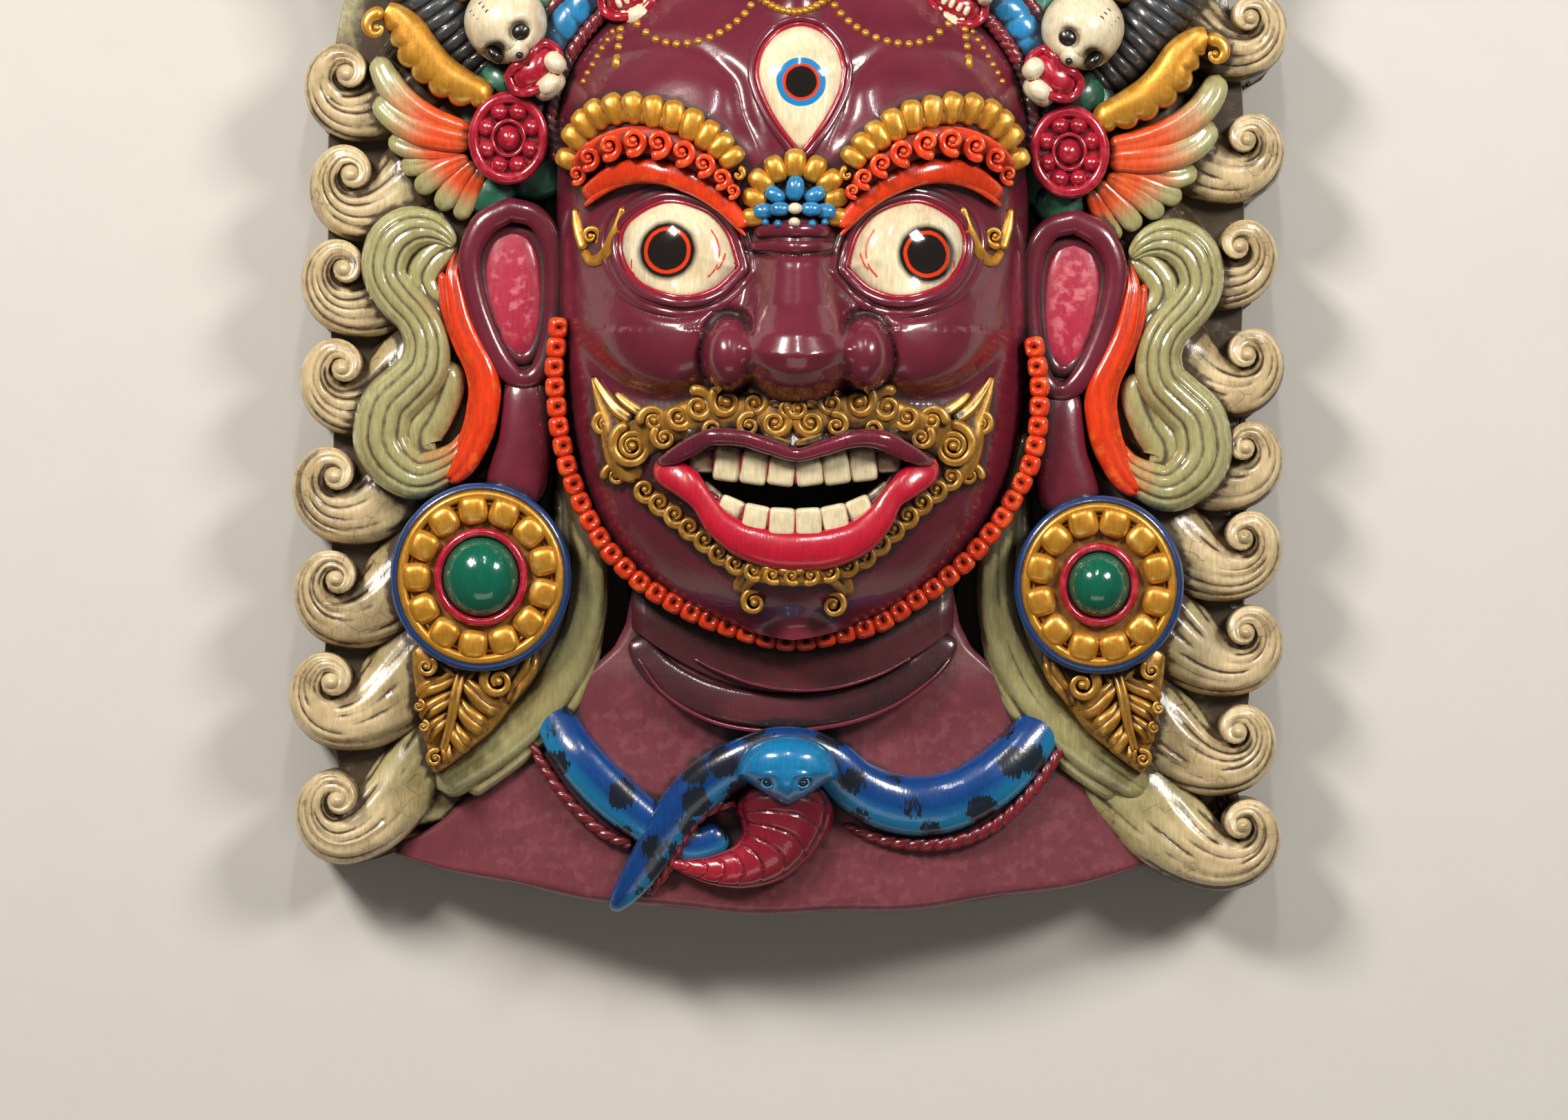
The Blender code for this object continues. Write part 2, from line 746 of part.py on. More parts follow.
def build_wings(shapes):
    """Gold strips, feather fans, horns and rosettes over the ears."""
    for sign in (-1, 1):
        drop = 0.0 if sign < 0 else SIDE_DROP
        for i, rows in enumerate(feather_rows(sign, drop)):
            lock(f"feather_{i}", smooth_path(rows, 18), shapes)
        gold = np.array(GOLD_STRIP) if sign < 0 else mirrored(GOLD_STRIP, drop)
        horn = np.array(HORN) if sign < 0 else mirrored(HORN, drop)
        lock("gold_strip", smooth_path(gold, 36), shapes)
        lock("horn", smooth_path(horn, 30), shapes, roundness=0.8)
        x = FACE_X + sign * 191
        y = 62 - drop
        drum("rosette", (x, y), 26, FOOT, 106, shapes, (0, 0), oval=1.14)
        rim = [
            (x + 24 * math.cos(a), y + 28 * math.sin(a), 4, 108)
            for a in np.linspace(0, 2 * math.pi, 48)
        ]
        tube("rosette_rim", rim, shapes)
        for i in range(8):
            a = 2 * math.pi * i / 8
            spot = (x + 14.5 * math.cos(a), y + 17 * math.sin(a), 107)
            ball("rosette_petal", spot, (5.4, 5.4, 5), shapes)
        ball("rosette_button", (x, y, 107), (7, 8, 7), shapes)
        drum("cheek_plate", (FACE_X + sign * 176, 70 - drop), 46, FOOT, 84, shapes, (0, 0))


SKULLS = (
    (-189.0, 79.0, 49.0, 1.0),
    (-122.0, 119.0, 26.0, 1.0),
    (0.0, 160.0, 0.0, 1.08),
    (122.0, 114.0, -26.0, 1.0),
    (190.0, 71.0, -49.0, 1.0),
)


def build_skull(x, y, tilt, size, shapes):
    """One skull of the crown: cranium, brow, jaw and dark sockets."""
    turn = Matrix.Rotation(math.radians(tilt), 3, "Z")
    radius = SKULL_RADIUS * size

    def at(u, v, z):
        spot = turn @ Vector((u * size, v * size, 0))
        return (x + spot.x, y + spot.y, z)

    angle = math.radians(tilt)
    ball("cranium", at(0, 0, SKULL_Z), (radius, radius, 30 * size), shapes)
    ball("cheekbones", at(0, -22, SKULL_Z + 6), (19 * size, 13 * size, 19), shapes, angle)
    ball("jaw", at(0, -43, SKULL_Z + 4), (14 * size, 16 * size, 17), shapes, angle)
    rows = [(*at(0, 8, 0)[:2], 24 * size, 92), (*at(0, -40, 0)[:2], 14 * size, 92)]
    lock("skull_foot", smooth_path(rows, 8), shapes)


def build_crown(shapes):
    """The serpent band over the forehead with its roped borders, and five skulls on it."""
    for offset, radius, z in (
        (3.0, ROPE_RADIUS, 118.0),
        (17.0, BAND_RADIUS, 112.0),
        (31.0, ROPE_RADIUS, 104.0),
    ):
        rows = []
        for a in np.linspace(math.radians(-12), math.radians(192), 70):
            lift = 14.0 * math.sin(max(0.0, min(math.pi, a)))
            rows.append(
                (
                    FACE_X + (HEAD_HALF_WIDTH + offset) * math.cos(a),
                    70 + (117 + offset) * math.sin(a),
                    radius,
                    z + lift - 16,
                )
            )
        lock("crown_band", np.array(rows)[:, [0, 1, 2, 3]], shapes)
    for dx, dy, tilt, size in SKULLS:
        build_skull(FACE_X + dx, 70 + dy, tilt, size, shapes)
    for dx, dy, lean in ((-62, 200, 0.35), (0, 225, 0.0), (62, 200, -0.35)):
        rows = [
            (FACE_X + dx, 70 + dy - 50, 24, 70),
            (FACE_X + dx, 70 + dy - 20, 30, 84),
            (FACE_X + dx - 20 * lean, 70 + dy + 10, 20, 84),
            (FACE_X + dx - 40 * lean, 70 + dy + 44, 3, 70),
        ]
        lock("crown_leaf", smooth_path(rows, 16), shapes)


def build_bust(shapes):
    """Neck and breast, a plank with a hollowed throat and a curved lower edge."""
    rings = []
    for share in np.linspace(0.0, 1.0, 24):
        y = -235.0 - 220.0 * share
        spread = 106 + 8 * (share * 4 - 1) ** 2 * (share < 0.25)
        if share > 0.25:
            spread = 106 + (266 - 106) * ((share - 0.25) / 0.61)
        spread = min(spread, 266)
        x = np.linspace(-spread, spread, 41)
        side = np.abs(x) / 270.0
        low = np.full_like(x, y)
        if share > 0.82:
            fade = (share - 0.82) / 0.18
            low = y + 40 * fade * side ** 2
        front = BUST_EDGE_Z + (BUST_CENTRE_Z - BUST_EDGE_Z) * np.clip(1 - side ** 2, 0, 1)
        front = front + 10 * math.exp(-(((share - 0.3) / 0.1) ** 2)) * (1 - side)
        front = front - 12 * max(0.0, 1 - share / 0.16)
        top = np.column_stack([x + FACE_X, low, front])
        foot = np.column_stack([x[::-1] + FACE_X, low[::-1], np.full(41, FOOT)])
        rings.append(np.vstack([top, foot]))
    loft("bust", rings, shapes)
    for y, half, z, sag in ((-316, 116, 100, 42), (-282, 94, 98, 36)):
        rows = [
            (FACE_X + half * s, y + sag * s * s, 4.5, z - 10 * s * s)
            for s in np.linspace(-1, 1, 20)
        ]
        tube("neck_ring", rows, shapes)


SERPENT_RIGHT = [
    (184, -318, 15, 100),
    (158, -352, 16.5, 104),
    (130, -372, 16.5, 108),
    (97, -378, 17, 112),
    (66, -375, 16.5, 115),
    (43, -364, 15, 118),
    (20, -350, 13.5, 120),
    (-7, -341, 13, 120),
    (-35, -347, 13, 119),
    (-57, -361, 13.5, 117),
    (-74, -380, 13, 115),
    (-85, -403, 12.5, 108),
    (-99, -425, 10, 98),
    (-113, -445, 5, 86),
]
SERPENT_LEFT = [
    (-172, -306, 14, 98),
    (-144, -344, 15, 102),
    (-119, -369, 14.5, 106),
    (-94, -389, 13.5, 108),
    (-71, -403, 12, 110),
    (-49, -404, 12, 112),
    (-32, -394, 12, 114),
]
SERPENT_HOOD = [
    (-71, -417, 6, 106),
    (-46, -422, 11, 110),
    (-18, -419, 18, 116),
    (-2, -403, 27, 124),
    (1, -380, 34, 132),
    (0, -364, 33, 138),
    (-1, -350, 27, 138),
    (-2, -338, 12, 130),
]


def build_serpent(shapes):
    """The serpent knotted on the breast, its hood in front."""
    for name, rows, count in (
        ("serpent_right", SERPENT_RIGHT, 50),
        ("serpent_left", SERPENT_LEFT, 28),
        ("serpent_hood", SERPENT_HOOD, 26),
    ):
        lock(name, smooth_path(rows, count), shapes, roundness=0.7)
    for rows in (SERPENT_RIGHT[:6], SERPENT_LEFT[:5]):
        edge = [(x, y - half * 1.15, 4.5, z - 12) for x, y, half, z in rows]
        tube("belly_rope", smooth_path(edge, 24), shapes)


def hollow_cutters(cutters):
    """What is taken out: the hollow behind the face, and the slot of the mouth through to it."""
    angle, radius = polar_radius(head_outline(), HEAD_CENTRE_Y)
    spokes = np.linspace(-math.pi, math.pi, 30, endpoint=False)
    reach = np.interp(spokes, angle, radius, period=2 * math.pi)
    rings = []
    deep = HEAD_FRONT_Z - WALL - 6
    for share in np.linspace(1.0, 0.1, 7):
        z = 40 + (deep - 40) * max(0.0, 1 - share ** 2.4) ** 0.6
        span = share * (reach - BACK_RIM) * 0.98
        rings.append(
            np.column_stack(
                [
                    FACE_X + span * np.cos(spokes),
                    HEAD_CENTRE_Y + span * np.sin(spokes),
                    np.full_like(spokes, z),
                ]
            )
        )
    rings.insert(0, np.column_stack([rings[0][:, :2], np.full_like(spokes, -20)]))
    hollow = loft("hollow", rings, cutters)
    slot_rings = []
    for x in np.linspace(FACE_X - MOUTH_HALF_WIDTH, FACE_X + MOUTH_HALF_WIDTH, 11):
        share = (x - FACE_X) / MOUTH_HALF_WIDTH
        half = MOUTH_GAP / 2 * max(0.25, 1 - share ** 4)
        middle = mouth_line(x)
        slot_rings.append(
            [
                (x, middle - half, 100),
                (x, middle + half, 100),
                (x, middle + half, 260),
                (x, middle - half, 260),
            ]
        )
    slot = loft("mouth_slot", slot_rings, cutters)
    bpy.ops.mesh.primitive_cube_add(size=1, location=(0, 0, -0.05), scale=(1.2, 1.4, 0.1))
    floor = adopt("back_plane", cutters)
    return [hollow, slot, floor]


def draw_in(block):
    """Draws the carving in towards the eye level, so that what stands proud is narrower.

    Below the hair's edge the sides go straight down to the back.
    """
    for vertex in block.data.vertices:
        rise = max(vertex.co.z / MM, DRAFT_FROM) - DRAFT_LEVEL
        share = 1 - rise / DRAFT_REACH
        vertex.co.x = (DRAFT_X + (vertex.co.x / MM - DRAFT_X) * share + SHIFT_X) * MM
        vertex.co.y = (DRAFT_Y + (vertex.co.y / MM - DRAFT_Y) * share + SHIFT_Y) * MM


def evaluated_copy(source, name, shapes):
    """A plain mesh object from what the source's modifiers make."""
    graph = bpy.context.evaluated_depsgraph_get()
    mesh = bpy.data.meshes.new_from_object(source.evaluated_get(graph))
    made = bpy.data.objects.new(name, mesh)
    made.matrix_world = source.matrix_world
    shapes.objects.link(made)
    bpy.data.objects.remove(source, do_unlink=True)
    return made


def keep_largest(block):
    """Drops the crumbs that the carving leaves loose from the block."""
    bm = bmesh.new()
    bm.from_mesh(block.data)
    left = set(bm.verts)
    groups = []
    while left:
        first = left.pop()
        group, front = [first], [first]
        while front:
            vertex = front.pop()
            for edge in vertex.link_edges:
                other = edge.other_vert(vertex)
                if other in left:
                    left.discard(other)
                    group.append(other)
                    front.append(other)
        groups.append(group)
    groups.sort(key=len)
    crumbs = [vertex for group in groups[:-1] for vertex in group]
    bmesh.ops.delete(bm, geom=crumbs, context="VERTS")
    bm.to_mesh(block.data)
    bm.free()


def fuse(shapes, cutters):
    """Joins every carved form into one block, hollows it and brings it down to facets."""
    bpy.ops.object.select_all(action="DESELECT")
    members = list(shapes.objects)
    for member in members:
        member.select_set(True)
    bpy.context.view_layer.objects.active = members[0]
    bpy.ops.object.transform_apply(location=True, rotation=True, scale=True)
    bpy.ops.object.join()
    block = bpy.context.object
    bpy.ops.object.transform_apply(location=True, rotation=True, scale=True)
    bpy.ops.object.mode_set(mode="EDIT")
    bpy.ops.mesh.select_all(action="SELECT")
    bpy.ops.mesh.normals_make_consistent(inside=False)
    bpy.ops.object.mode_set(mode="OBJECT")
    remesh = block.modifiers.new("carve", "REMESH")
    remesh.mode = "VOXEL"
    remesh.voxel_size = VOXEL * MM
    block = evaluated_copy(block, "block", shapes)
    keep_largest(block)
    block.data.calc_loop_triangles()
    thin = block.modifiers.new("facets", "DECIMATE")
    thin.ratio = FACET_BUDGET / len(block.data.loop_triangles)
    thin.use_collapse_triangulate = True
    block = evaluated_copy(block, "facets", shapes)
    keep_largest(block)
    for cutter in hollow_cutters(cutters):
        bpy.context.view_layer.objects.active = cutter
        bpy.ops.object.select_all(action="DESELECT")
        cutter.select_set(True)
        bpy.ops.object.mode_set(mode="EDIT")
        bpy.ops.mesh.select_all(action="SELECT")
        bpy.ops.mesh.normals_make_consistent(inside=False)
        bpy.ops.object.mode_set(mode="OBJECT")
        cutter.hide_render = True
        cutter.display_type = "WIRE"
        cut = block.modifiers.new(cutter.name, "BOOLEAN")
        cut.operation = "DIFFERENCE"
        cut.object = cutter
        cut.solver = "MANIFOLD"
    block = evaluated_copy(block, "mahakala_mask", shapes)
    keep_largest(block)
    draw_in(block)
    return block


def paint(block):
    """The mask's overall colour: oxblood lacquer on wood."""
    lacquer = bpy.data.materials.new("oxblood_lacquer")
    lacquer.use_nodes = True
    shader = lacquer.node_tree.nodes["Principled BSDF"]
    shader.inputs["Base Color"].default_value = (0.115, 0.026, 0.042, 1.0)
    shader.inputs["Roughness"].default_value = 0.3
    shader.inputs["Metallic"].default_value = 0.0
    block.data.materials.clear()
    block.data.materials.append(lacquer)


def main():
    clear_scene()
    shapes = bpy.data.collections.new("mahakala_mask")
    cutters = bpy.data.collections.new("cutters")
    bpy.context.scene.collection.children.link(shapes)
    bpy.context.scene.collection.children.link(cutters)
    build_head(shapes)
    build_eyes(shapes)
    build_brows(shapes)
    build_mouth(shapes)
    jaw_beads(shapes)
    build_hair(shapes)
    build_sides(shapes)
    build_earrings(shapes)
    build_wings(shapes)
    build_crown(shapes)
    build_bust(shapes)
    build_serpent(shapes)
    block = fuse(shapes, cutters)
    paint(block)


main()
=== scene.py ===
"""A carved and painted wall mask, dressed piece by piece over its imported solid.

The mask lies on its flat back, crown to +Y, face to +Z. Places are in millimetres as
they look from the eye, which stands three metres over the mask; Draft.settle brings
each point to its true place once a piece is carved.
"""

from __future__ import annotations

import logging
import math
from dataclasses import dataclass, field
from enum import Enum
from typing import Any, Callable, Optional, Sequence

import bmesh
import bpy
import numpy as np
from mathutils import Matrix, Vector

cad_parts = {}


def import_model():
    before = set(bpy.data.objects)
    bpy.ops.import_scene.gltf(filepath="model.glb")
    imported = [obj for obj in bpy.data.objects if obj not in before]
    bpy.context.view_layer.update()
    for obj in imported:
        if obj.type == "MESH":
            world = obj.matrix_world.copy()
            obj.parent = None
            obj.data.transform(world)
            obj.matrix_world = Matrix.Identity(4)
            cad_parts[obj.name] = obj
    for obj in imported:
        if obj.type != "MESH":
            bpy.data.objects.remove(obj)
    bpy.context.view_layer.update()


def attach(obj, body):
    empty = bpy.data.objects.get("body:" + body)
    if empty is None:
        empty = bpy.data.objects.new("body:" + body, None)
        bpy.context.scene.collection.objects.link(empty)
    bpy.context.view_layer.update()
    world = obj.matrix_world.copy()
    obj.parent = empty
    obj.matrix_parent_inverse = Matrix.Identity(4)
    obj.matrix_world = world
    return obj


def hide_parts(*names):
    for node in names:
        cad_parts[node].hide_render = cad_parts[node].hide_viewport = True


LOG = logging.getLogger("wall_mask")
MM = 0.001
NODE = "mahakala_mask"

# Where the middle of the face lies across, in apparent millimetres.
MIDDLE = 4.4
# Share of the samples asked for that a carved shape gets, to keep the mesh under a million faces.
FINE = 0.785
# How much wider a scroll is cut than the radius measured at its outer turn.
CURL_SPREAD = 1.28
# How far towards its poles a dome is ringed, in radians.
POLE = 0.495 * math.pi
# Depth of cut that takes the wash and painted shade fully, on strips and on domes.
STRIP_CUT_MM = 1.6
DOME_CUT_MM = 3.0

# Sizes of the patterns in the finishes, in millimetres.
DRIFT_RIPPLE_MM = 16.67
WASH_EDGE_MM = 4.762
SCUFF_MM = 7.692
CRACK_WARP_MM = 25.0
CRACK_CELL_MM = 12.82
VARNISH_RIPPLE_MM = 10.53
RING_WOBBLE_MM = 6.667
BRISTLE_MM = 2.381
WOOD_RING_MM = 12.0
PAPER_GRAIN_MM = 3.333
# What a full bump stands proud, in metres.
BRUSH_RELIEF = 0.0012
# Span of the noise that turns to clouds, brush marks, scuffs and crazed patches.
CLOUD_SPAN = (0.38, 0.66)
STREAK_SPAN = (0.3, 0.7)
SCUFF_SPAN = (0.5, 0.62)
CRAZED_SPAN = (0.5, 0.56)
# Span of the carving's depth over which the wash and painted shade go from thin to full.
SOAK_SPAN = (0.18, 0.95)
# How much rougher the matt wash is than the paint.
WASH_MATT = 0.35

Array = np.ndarray
Rows = Sequence[Sequence[float]]
Cut = Callable[[Array, Array, Array], Array]


@dataclass(frozen=True)
class Draft:
    """Where the eye stands, and how the carving narrows towards it."""

    x: float = -1.4
    y: float = -219.7
    start: float = 60.0
    level: float = 100.0
    reach: float = 3000.0
    shift: tuple[float, float] = (-1.7, -3.4)

    def settle(self, points: Array) -> Array:
        """Brings points from where they look to be to where they are.

        Args:
            points: Rows of x, y, z in millimetres.

        Returns:
            The true places.
        """
        share = 1 - (np.maximum(points[:, 2], self.start) - self.level) / self.reach
        out = points.copy()
        out[:, 0] = self.x + (points[:, 0] - self.x) * share + self.shift[0]
        out[:, 1] = self.y + (points[:, 1] - self.y) * share + self.shift[1]
        return out

    def spot(self, x: float, y: float, z: float) -> Vector:
        """A single true place, in metres."""
        return Vector(self.settle(np.array([[x, y, z]], float))[0] * MM)


DRAFT = Draft()


def linear(code: str) -> tuple[float, float, float, float]:
    """Turns an sRGB hex colour to linear light.

    Args:
        code: Six hex digits.

    Returns:
        Red, green, blue and alpha.
    """
    parts = [int(code[i : i + 2], 16) / 255 for i in (0, 2, 4)]
    tone = [c / 12.92 if c <= 0.04045 else ((c + 0.055) / 1.055) ** 2.4 for c in parts]
    return (tone[0], tone[1], tone[2], 1.0)


def add(tree: bpy.types.NodeTree, kind: str, feeds: Optional[dict[Any, Any]] = None,
        **settings: Any) -> bpy.types.Node:
    """Adds a shader node with its settings, and links what feeds it.

    Args:
        tree: The material's node tree.
        kind: The node's type, without its ShaderNode prefix.
        feeds: Input name or number to a value or to the socket that feeds it.
        settings: Properties of the node.

    Returns:
        The node.
    """
    node = tree.nodes.new("ShaderNode" + kind)
    for key, value in settings.items():
        setattr(node, key, value)
    for key, value in (feeds or {}).items():
        if isinstance(value, bpy.types.NodeSocket):
            tree.links.new(value, node.inputs[key])
        else:
            node.inputs[key].default_value = value
    return node


@dataclass(frozen=True)
class Paint:
    """Brushed enamel over carved wood, under an antique wash and old varnish.

    The wash is dark and matt in the recesses, where it also paints the shade that falls there, and
    rubbed off what stands proud.
    """

    name: str
    hue: str
    drift: str = ""
    drift_span: tuple[float, float] = (0.0, 1.0)
    wash_and_shade: str = "24140C"
    wash_share: float = 0.9
    rub: str = ""
    rub_share: float = 0.0
    uneven: float = 0.35
    uneven_hue: str = ""
    fleck_mm: float = 34.0
    stroke_mm: float = 1.6
    streak: float = 0.15
    crack: float = 0.0
    gloss: float = 0.3
    coat: float = 0.6
    coat_gloss: float = 0.12
    metal: float = 0.0
    relief: float = 0.25

    def colour(self, tree: bpy.types.NodeTree, place: Any) -> Any:
        """The paint before the wash: its hue, and its drift along the piece.

        Args:
            tree: The material's node tree.
            place: Socket of object coordinates.

        Returns:
            A colour, or the socket of one that drifts.
        """
        if not self.drift:
            return linear(self.hue)
        along = add(tree, "Attribute", attribute_name="along").outputs["Fac"]
        low, high = self.drift_span
        ripple = add(tree, "TexNoise",
            {"Vector": place, "Scale": 1000 / DRIFT_RIPPLE_MM, "Detail": 3.0})
        swing = add(tree, "Math", {0: ripple.outputs[0], 1: 0.16}, operation="MULTIPLY_ADD")
        swing.inputs[2].default_value = -0.08
        moved = add(tree, "Math", {0: along, 1: swing.outputs[0]}, operation="ADD")
        share = add(tree, "MapRange", {0: moved.outputs[0], 1: low, 2: high})
        mix = add(tree, "Mix", {0: share.outputs[0], 6: linear(self.hue), 7: linear(self.drift)},
            data_type="RGBA")
        return mix.outputs[2]

    def material(self) -> bpy.types.Material:
        """Builds the finish.

        Returns:
            The material.
        """
        made = bpy.data.materials.new(self.name)
        made.use_nodes = True
        tree = made.node_tree
        shader = tree.nodes["Principled BSDF"]
        place = add(tree, "TexCoord").outputs["Object"]
        colour = self.colour(tree, place)

        # Broad clouds where the brush was loaded more or less.
        cloud = add(tree, "TexNoise",
            {"Vector": place, "Scale": 1000 / self.fleck_mm, "Detail": 5.0})
        shade = add(tree, "MapRange",
            {0: cloud.outputs[0], 1: CLOUD_SPAN[0], 2: CLOUD_SPAN[1], 3: 0.0})
        shade.inputs[4].default_value = self.uneven
        dark = linear(self.uneven_hue or self.wash_and_shade)
        colour = add(tree, "Mix", {0: shade.outputs[0], 6: colour, 7: dark},
            data_type="RGBA").outputs[2]

        # Brush hairs, drawn along the piece and a little coarser than real ones.
        stretch = add(tree, "Mapping", {"Vector": place, "Scale": (1.0, 0.16, 0.5)})
        hairs = add(tree, "TexNoise",
            {"Vector": stretch.outputs[0], "Scale": 1000 / self.stroke_mm, "Detail": 2.0})
        streak = add(tree, "MapRange", {0: hairs.outputs[0], 1: STREAK_SPAN[0], 2: STREAK_SPAN[1]})
        streak.inputs[3].default_value = 1 - self.streak
        streak.inputs[4].default_value = 1 + 0.8 * self.streak
        colour = add(tree, "Mix", {0: 1.0, 6: colour, 7: streak.outputs[0]}, data_type="RGBA",
            blend_type="MULTIPLY").outputs[2]

        # The wash gathers where the carving is low, in an uneven edge: antique wash together with
        # painted shade in the recesses and between pieces.
        low = add(tree, "Attribute", attribute_name="wash_and_shade").outputs["Fac"]
        grain = add(tree, "TexNoise",
            {"Vector": place, "Scale": 1000 / WASH_EDGE_MM, "Detail": 5.0})
        jitter = add(tree, "Math", {0: grain.outputs[0], 1: 0.7}, operation="MULTIPLY_ADD")
        jitter.inputs[2].default_value = -0.35
        lap = add(tree, "Math", {0: low, 1: jitter.outputs[0]}, operation="ADD")
        soak = add(tree, "MapRange", {0: lap.outputs[0], 1: SOAK_SPAN[0], 2: SOAK_SPAN[1], 3: 0.0})
        soak.interpolation_type = "SMOOTHSTEP"
        soak.inputs[4].default_value = self.wash_share
        gate = add(tree, "MapRange", {0: low, 1: 0.02, 2: 0.2})
        held = add(tree, "Math", {0: soak.outputs[0], 1: gate.outputs[0]}, operation="MULTIPLY")
        colour = add(tree, "Mix", {0: held.outputs[0], 6: colour, 7: linear(self.wash_and_shade)},
            data_type="RGBA").outputs[2]

        if self.rub_share > 0:
            high = add(tree, "Attribute", attribute_name="proud").outputs["Fac"]
            scuff = add(tree, "TexNoise",
                {"Vector": place, "Scale": 1000 / SCUFF_MM, "Detail": 6.0})
            worn = add(tree, "MapRange", {0: scuff.outputs[0], 1: SCUFF_SPAN[0], 2: SCUFF_SPAN[1]})
            both = add(tree, "Math", {0: high, 1: worn.outputs[0]}, operation="MULTIPLY")
            share = add(tree, "Math", {0: both.outputs[0], 1: self.rub_share}, operation="MULTIPLY")
            share.use_clamp = True
            colour = add(tree, "Mix", {0: share.outputs[0], 6: colour, 7: linear(self.rub)},
                data_type="RGBA").outputs[2]
        if self.crack > 0:
            warp = add(tree, "TexNoise",
                {"Vector": place, "Scale": 1000 / CRACK_WARP_MM, "Detail": 2.0})
            bent = add(tree, "VectorMath", {0: warp.outputs[1], 3: 0.012}, operation="SCALE")
            spot = add(tree, "VectorMath", {0: place, 1: bent.outputs[0]}, operation="ADD")
            net = add(tree, "TexVoronoi", {"Vector": spot.outputs[0],
                "Scale": 1000 / CRACK_CELL_MM}, feature="DISTANCE_TO_EDGE")
            line = add(tree, "MapRange",
                {0: net.outputs["Distance"], 1: 0.008, 2: 0.024, 3: 1.0, 4: 0.0})
            some = add(tree, "MapRange",
                {0: cloud.outputs[0], 1: CRAZED_SPAN[0], 2: CRAZED_SPAN[1], 3: 0.0})
            some.inputs[4].default_value = self.crack
            split = add(tree, "Math", {0: line.outputs[0], 1: some.outputs[0]},
                operation="MULTIPLY")
            colour = add(tree, "Mix", {0: split.outputs[0], 6: colour, 7: linear(self.wash_and_shade)},
                data_type="RGBA").outputs[2]
        colour = self.marks(tree, place, colour)
        tree.links.new(colour, shader.inputs["Base Color"])

        rough = add(tree, "MapRange",
            {0: held.outputs[0], 3: self.gloss, 4: self.gloss + WASH_MATT})
        tree.links.new(rough.outputs[0], shader.inputs["Roughness"])
        if self.metal:
            bare = add(tree, "MapRange", {0: held.outputs[0], 3: self.metal, 4: 0.0})
            tree.links.new(bare.outputs[0], shader.inputs["Metallic"])
        shader.inputs["Coat Weight"].default_value = self.coat
        shader.inputs["Coat Roughness"].default_value = self.coat_gloss

        # Varnish pulls into soft ripples; brush hairs stand a few hundredths proud.
        ripple = add(tree, "TexNoise",
            {"Vector": place, "Scale": 1000 / VARNISH_RIPPLE_MM, "Detail": 3.0})
        sum_ = add(tree, "Math", {0: hairs.outputs[0], 1: 0.25}, operation="MULTIPLY_ADD")
        tree.links.new(ripple.outputs[0], sum_.inputs[2])
        bump = add(tree, "Bump", {"Height": sum_.outputs[0], "Strength": self.relief})
        bump.inputs["Distance"].default_value = BRUSH_RELIEF
        tree.links.new(bump.outputs[0], shader.inputs["Normal"])
        tree.links.new(bump.outputs[0], shader.inputs["Coat Normal"])
        return made

    def marks(self, tree: bpy.types.NodeTree, place: Any, colour: Any) -> Any:
        """Painted marks over the finish; none on plain paint."""
        return colour


@dataclass(frozen=True)
class IrisPaint(Paint):
    """Eye white with painted rings about a pupil, as distances from its middle."""

    centre: tuple[float, float, float] = (0.0, 0.0, 0.0)
    rings: tuple[tuple[float, str], ...] = ()
    soft_mm: float = 0.5

    def marks(self, tree: bpy.types.NodeTree, place: Any, colour: Any) -> Any:
        """Lays the rings over the white, from the outermost in.

        Args:
            tree: The material's node tree.
            place: Socket of object coordinates.
            colour: The white.

        Returns:
            A colour socket.
        """
        spot = DRAFT.spot(*self.centre)
        flat = add(tree, "Mapping", {"Vector": place, "Scale": (1.0, 1.0, 0.0)}).outputs[0]
        reach = add(tree, "VectorMath", {0: flat, 1: (spot.x, spot.y, 0.0)},
            operation="DISTANCE").outputs["Value"]
        wobble = add(tree, "TexNoise",
            {"Vector": place, "Scale": 1000 / RING_WOBBLE_MM, "Detail": 2.0})
        shift = add(tree, "Math", {0: wobble.outputs[0], 1: 0.0012}, operation="MULTIPLY_ADD")
        tree.links.new(reach, shift.inputs[2])
        for radius, code in self.rings:
            soft = self.soft_mm if radius < 16 or code != BLACK else 3.4
            edge = add(tree, "MapRange",
                {0: shift.outputs[0], 1: (radius + 0.6) * MM, 2: (radius + 0.6 + soft) * MM})
            edge.inputs[3].default_value = 1.0
            edge.inputs[4].default_value = 0.0
            colour = add(tree, "Mix", {0: edge.outputs[0], 6: colour, 7: linear(code)},
                data_type="RGBA").outputs[2]
        return colour


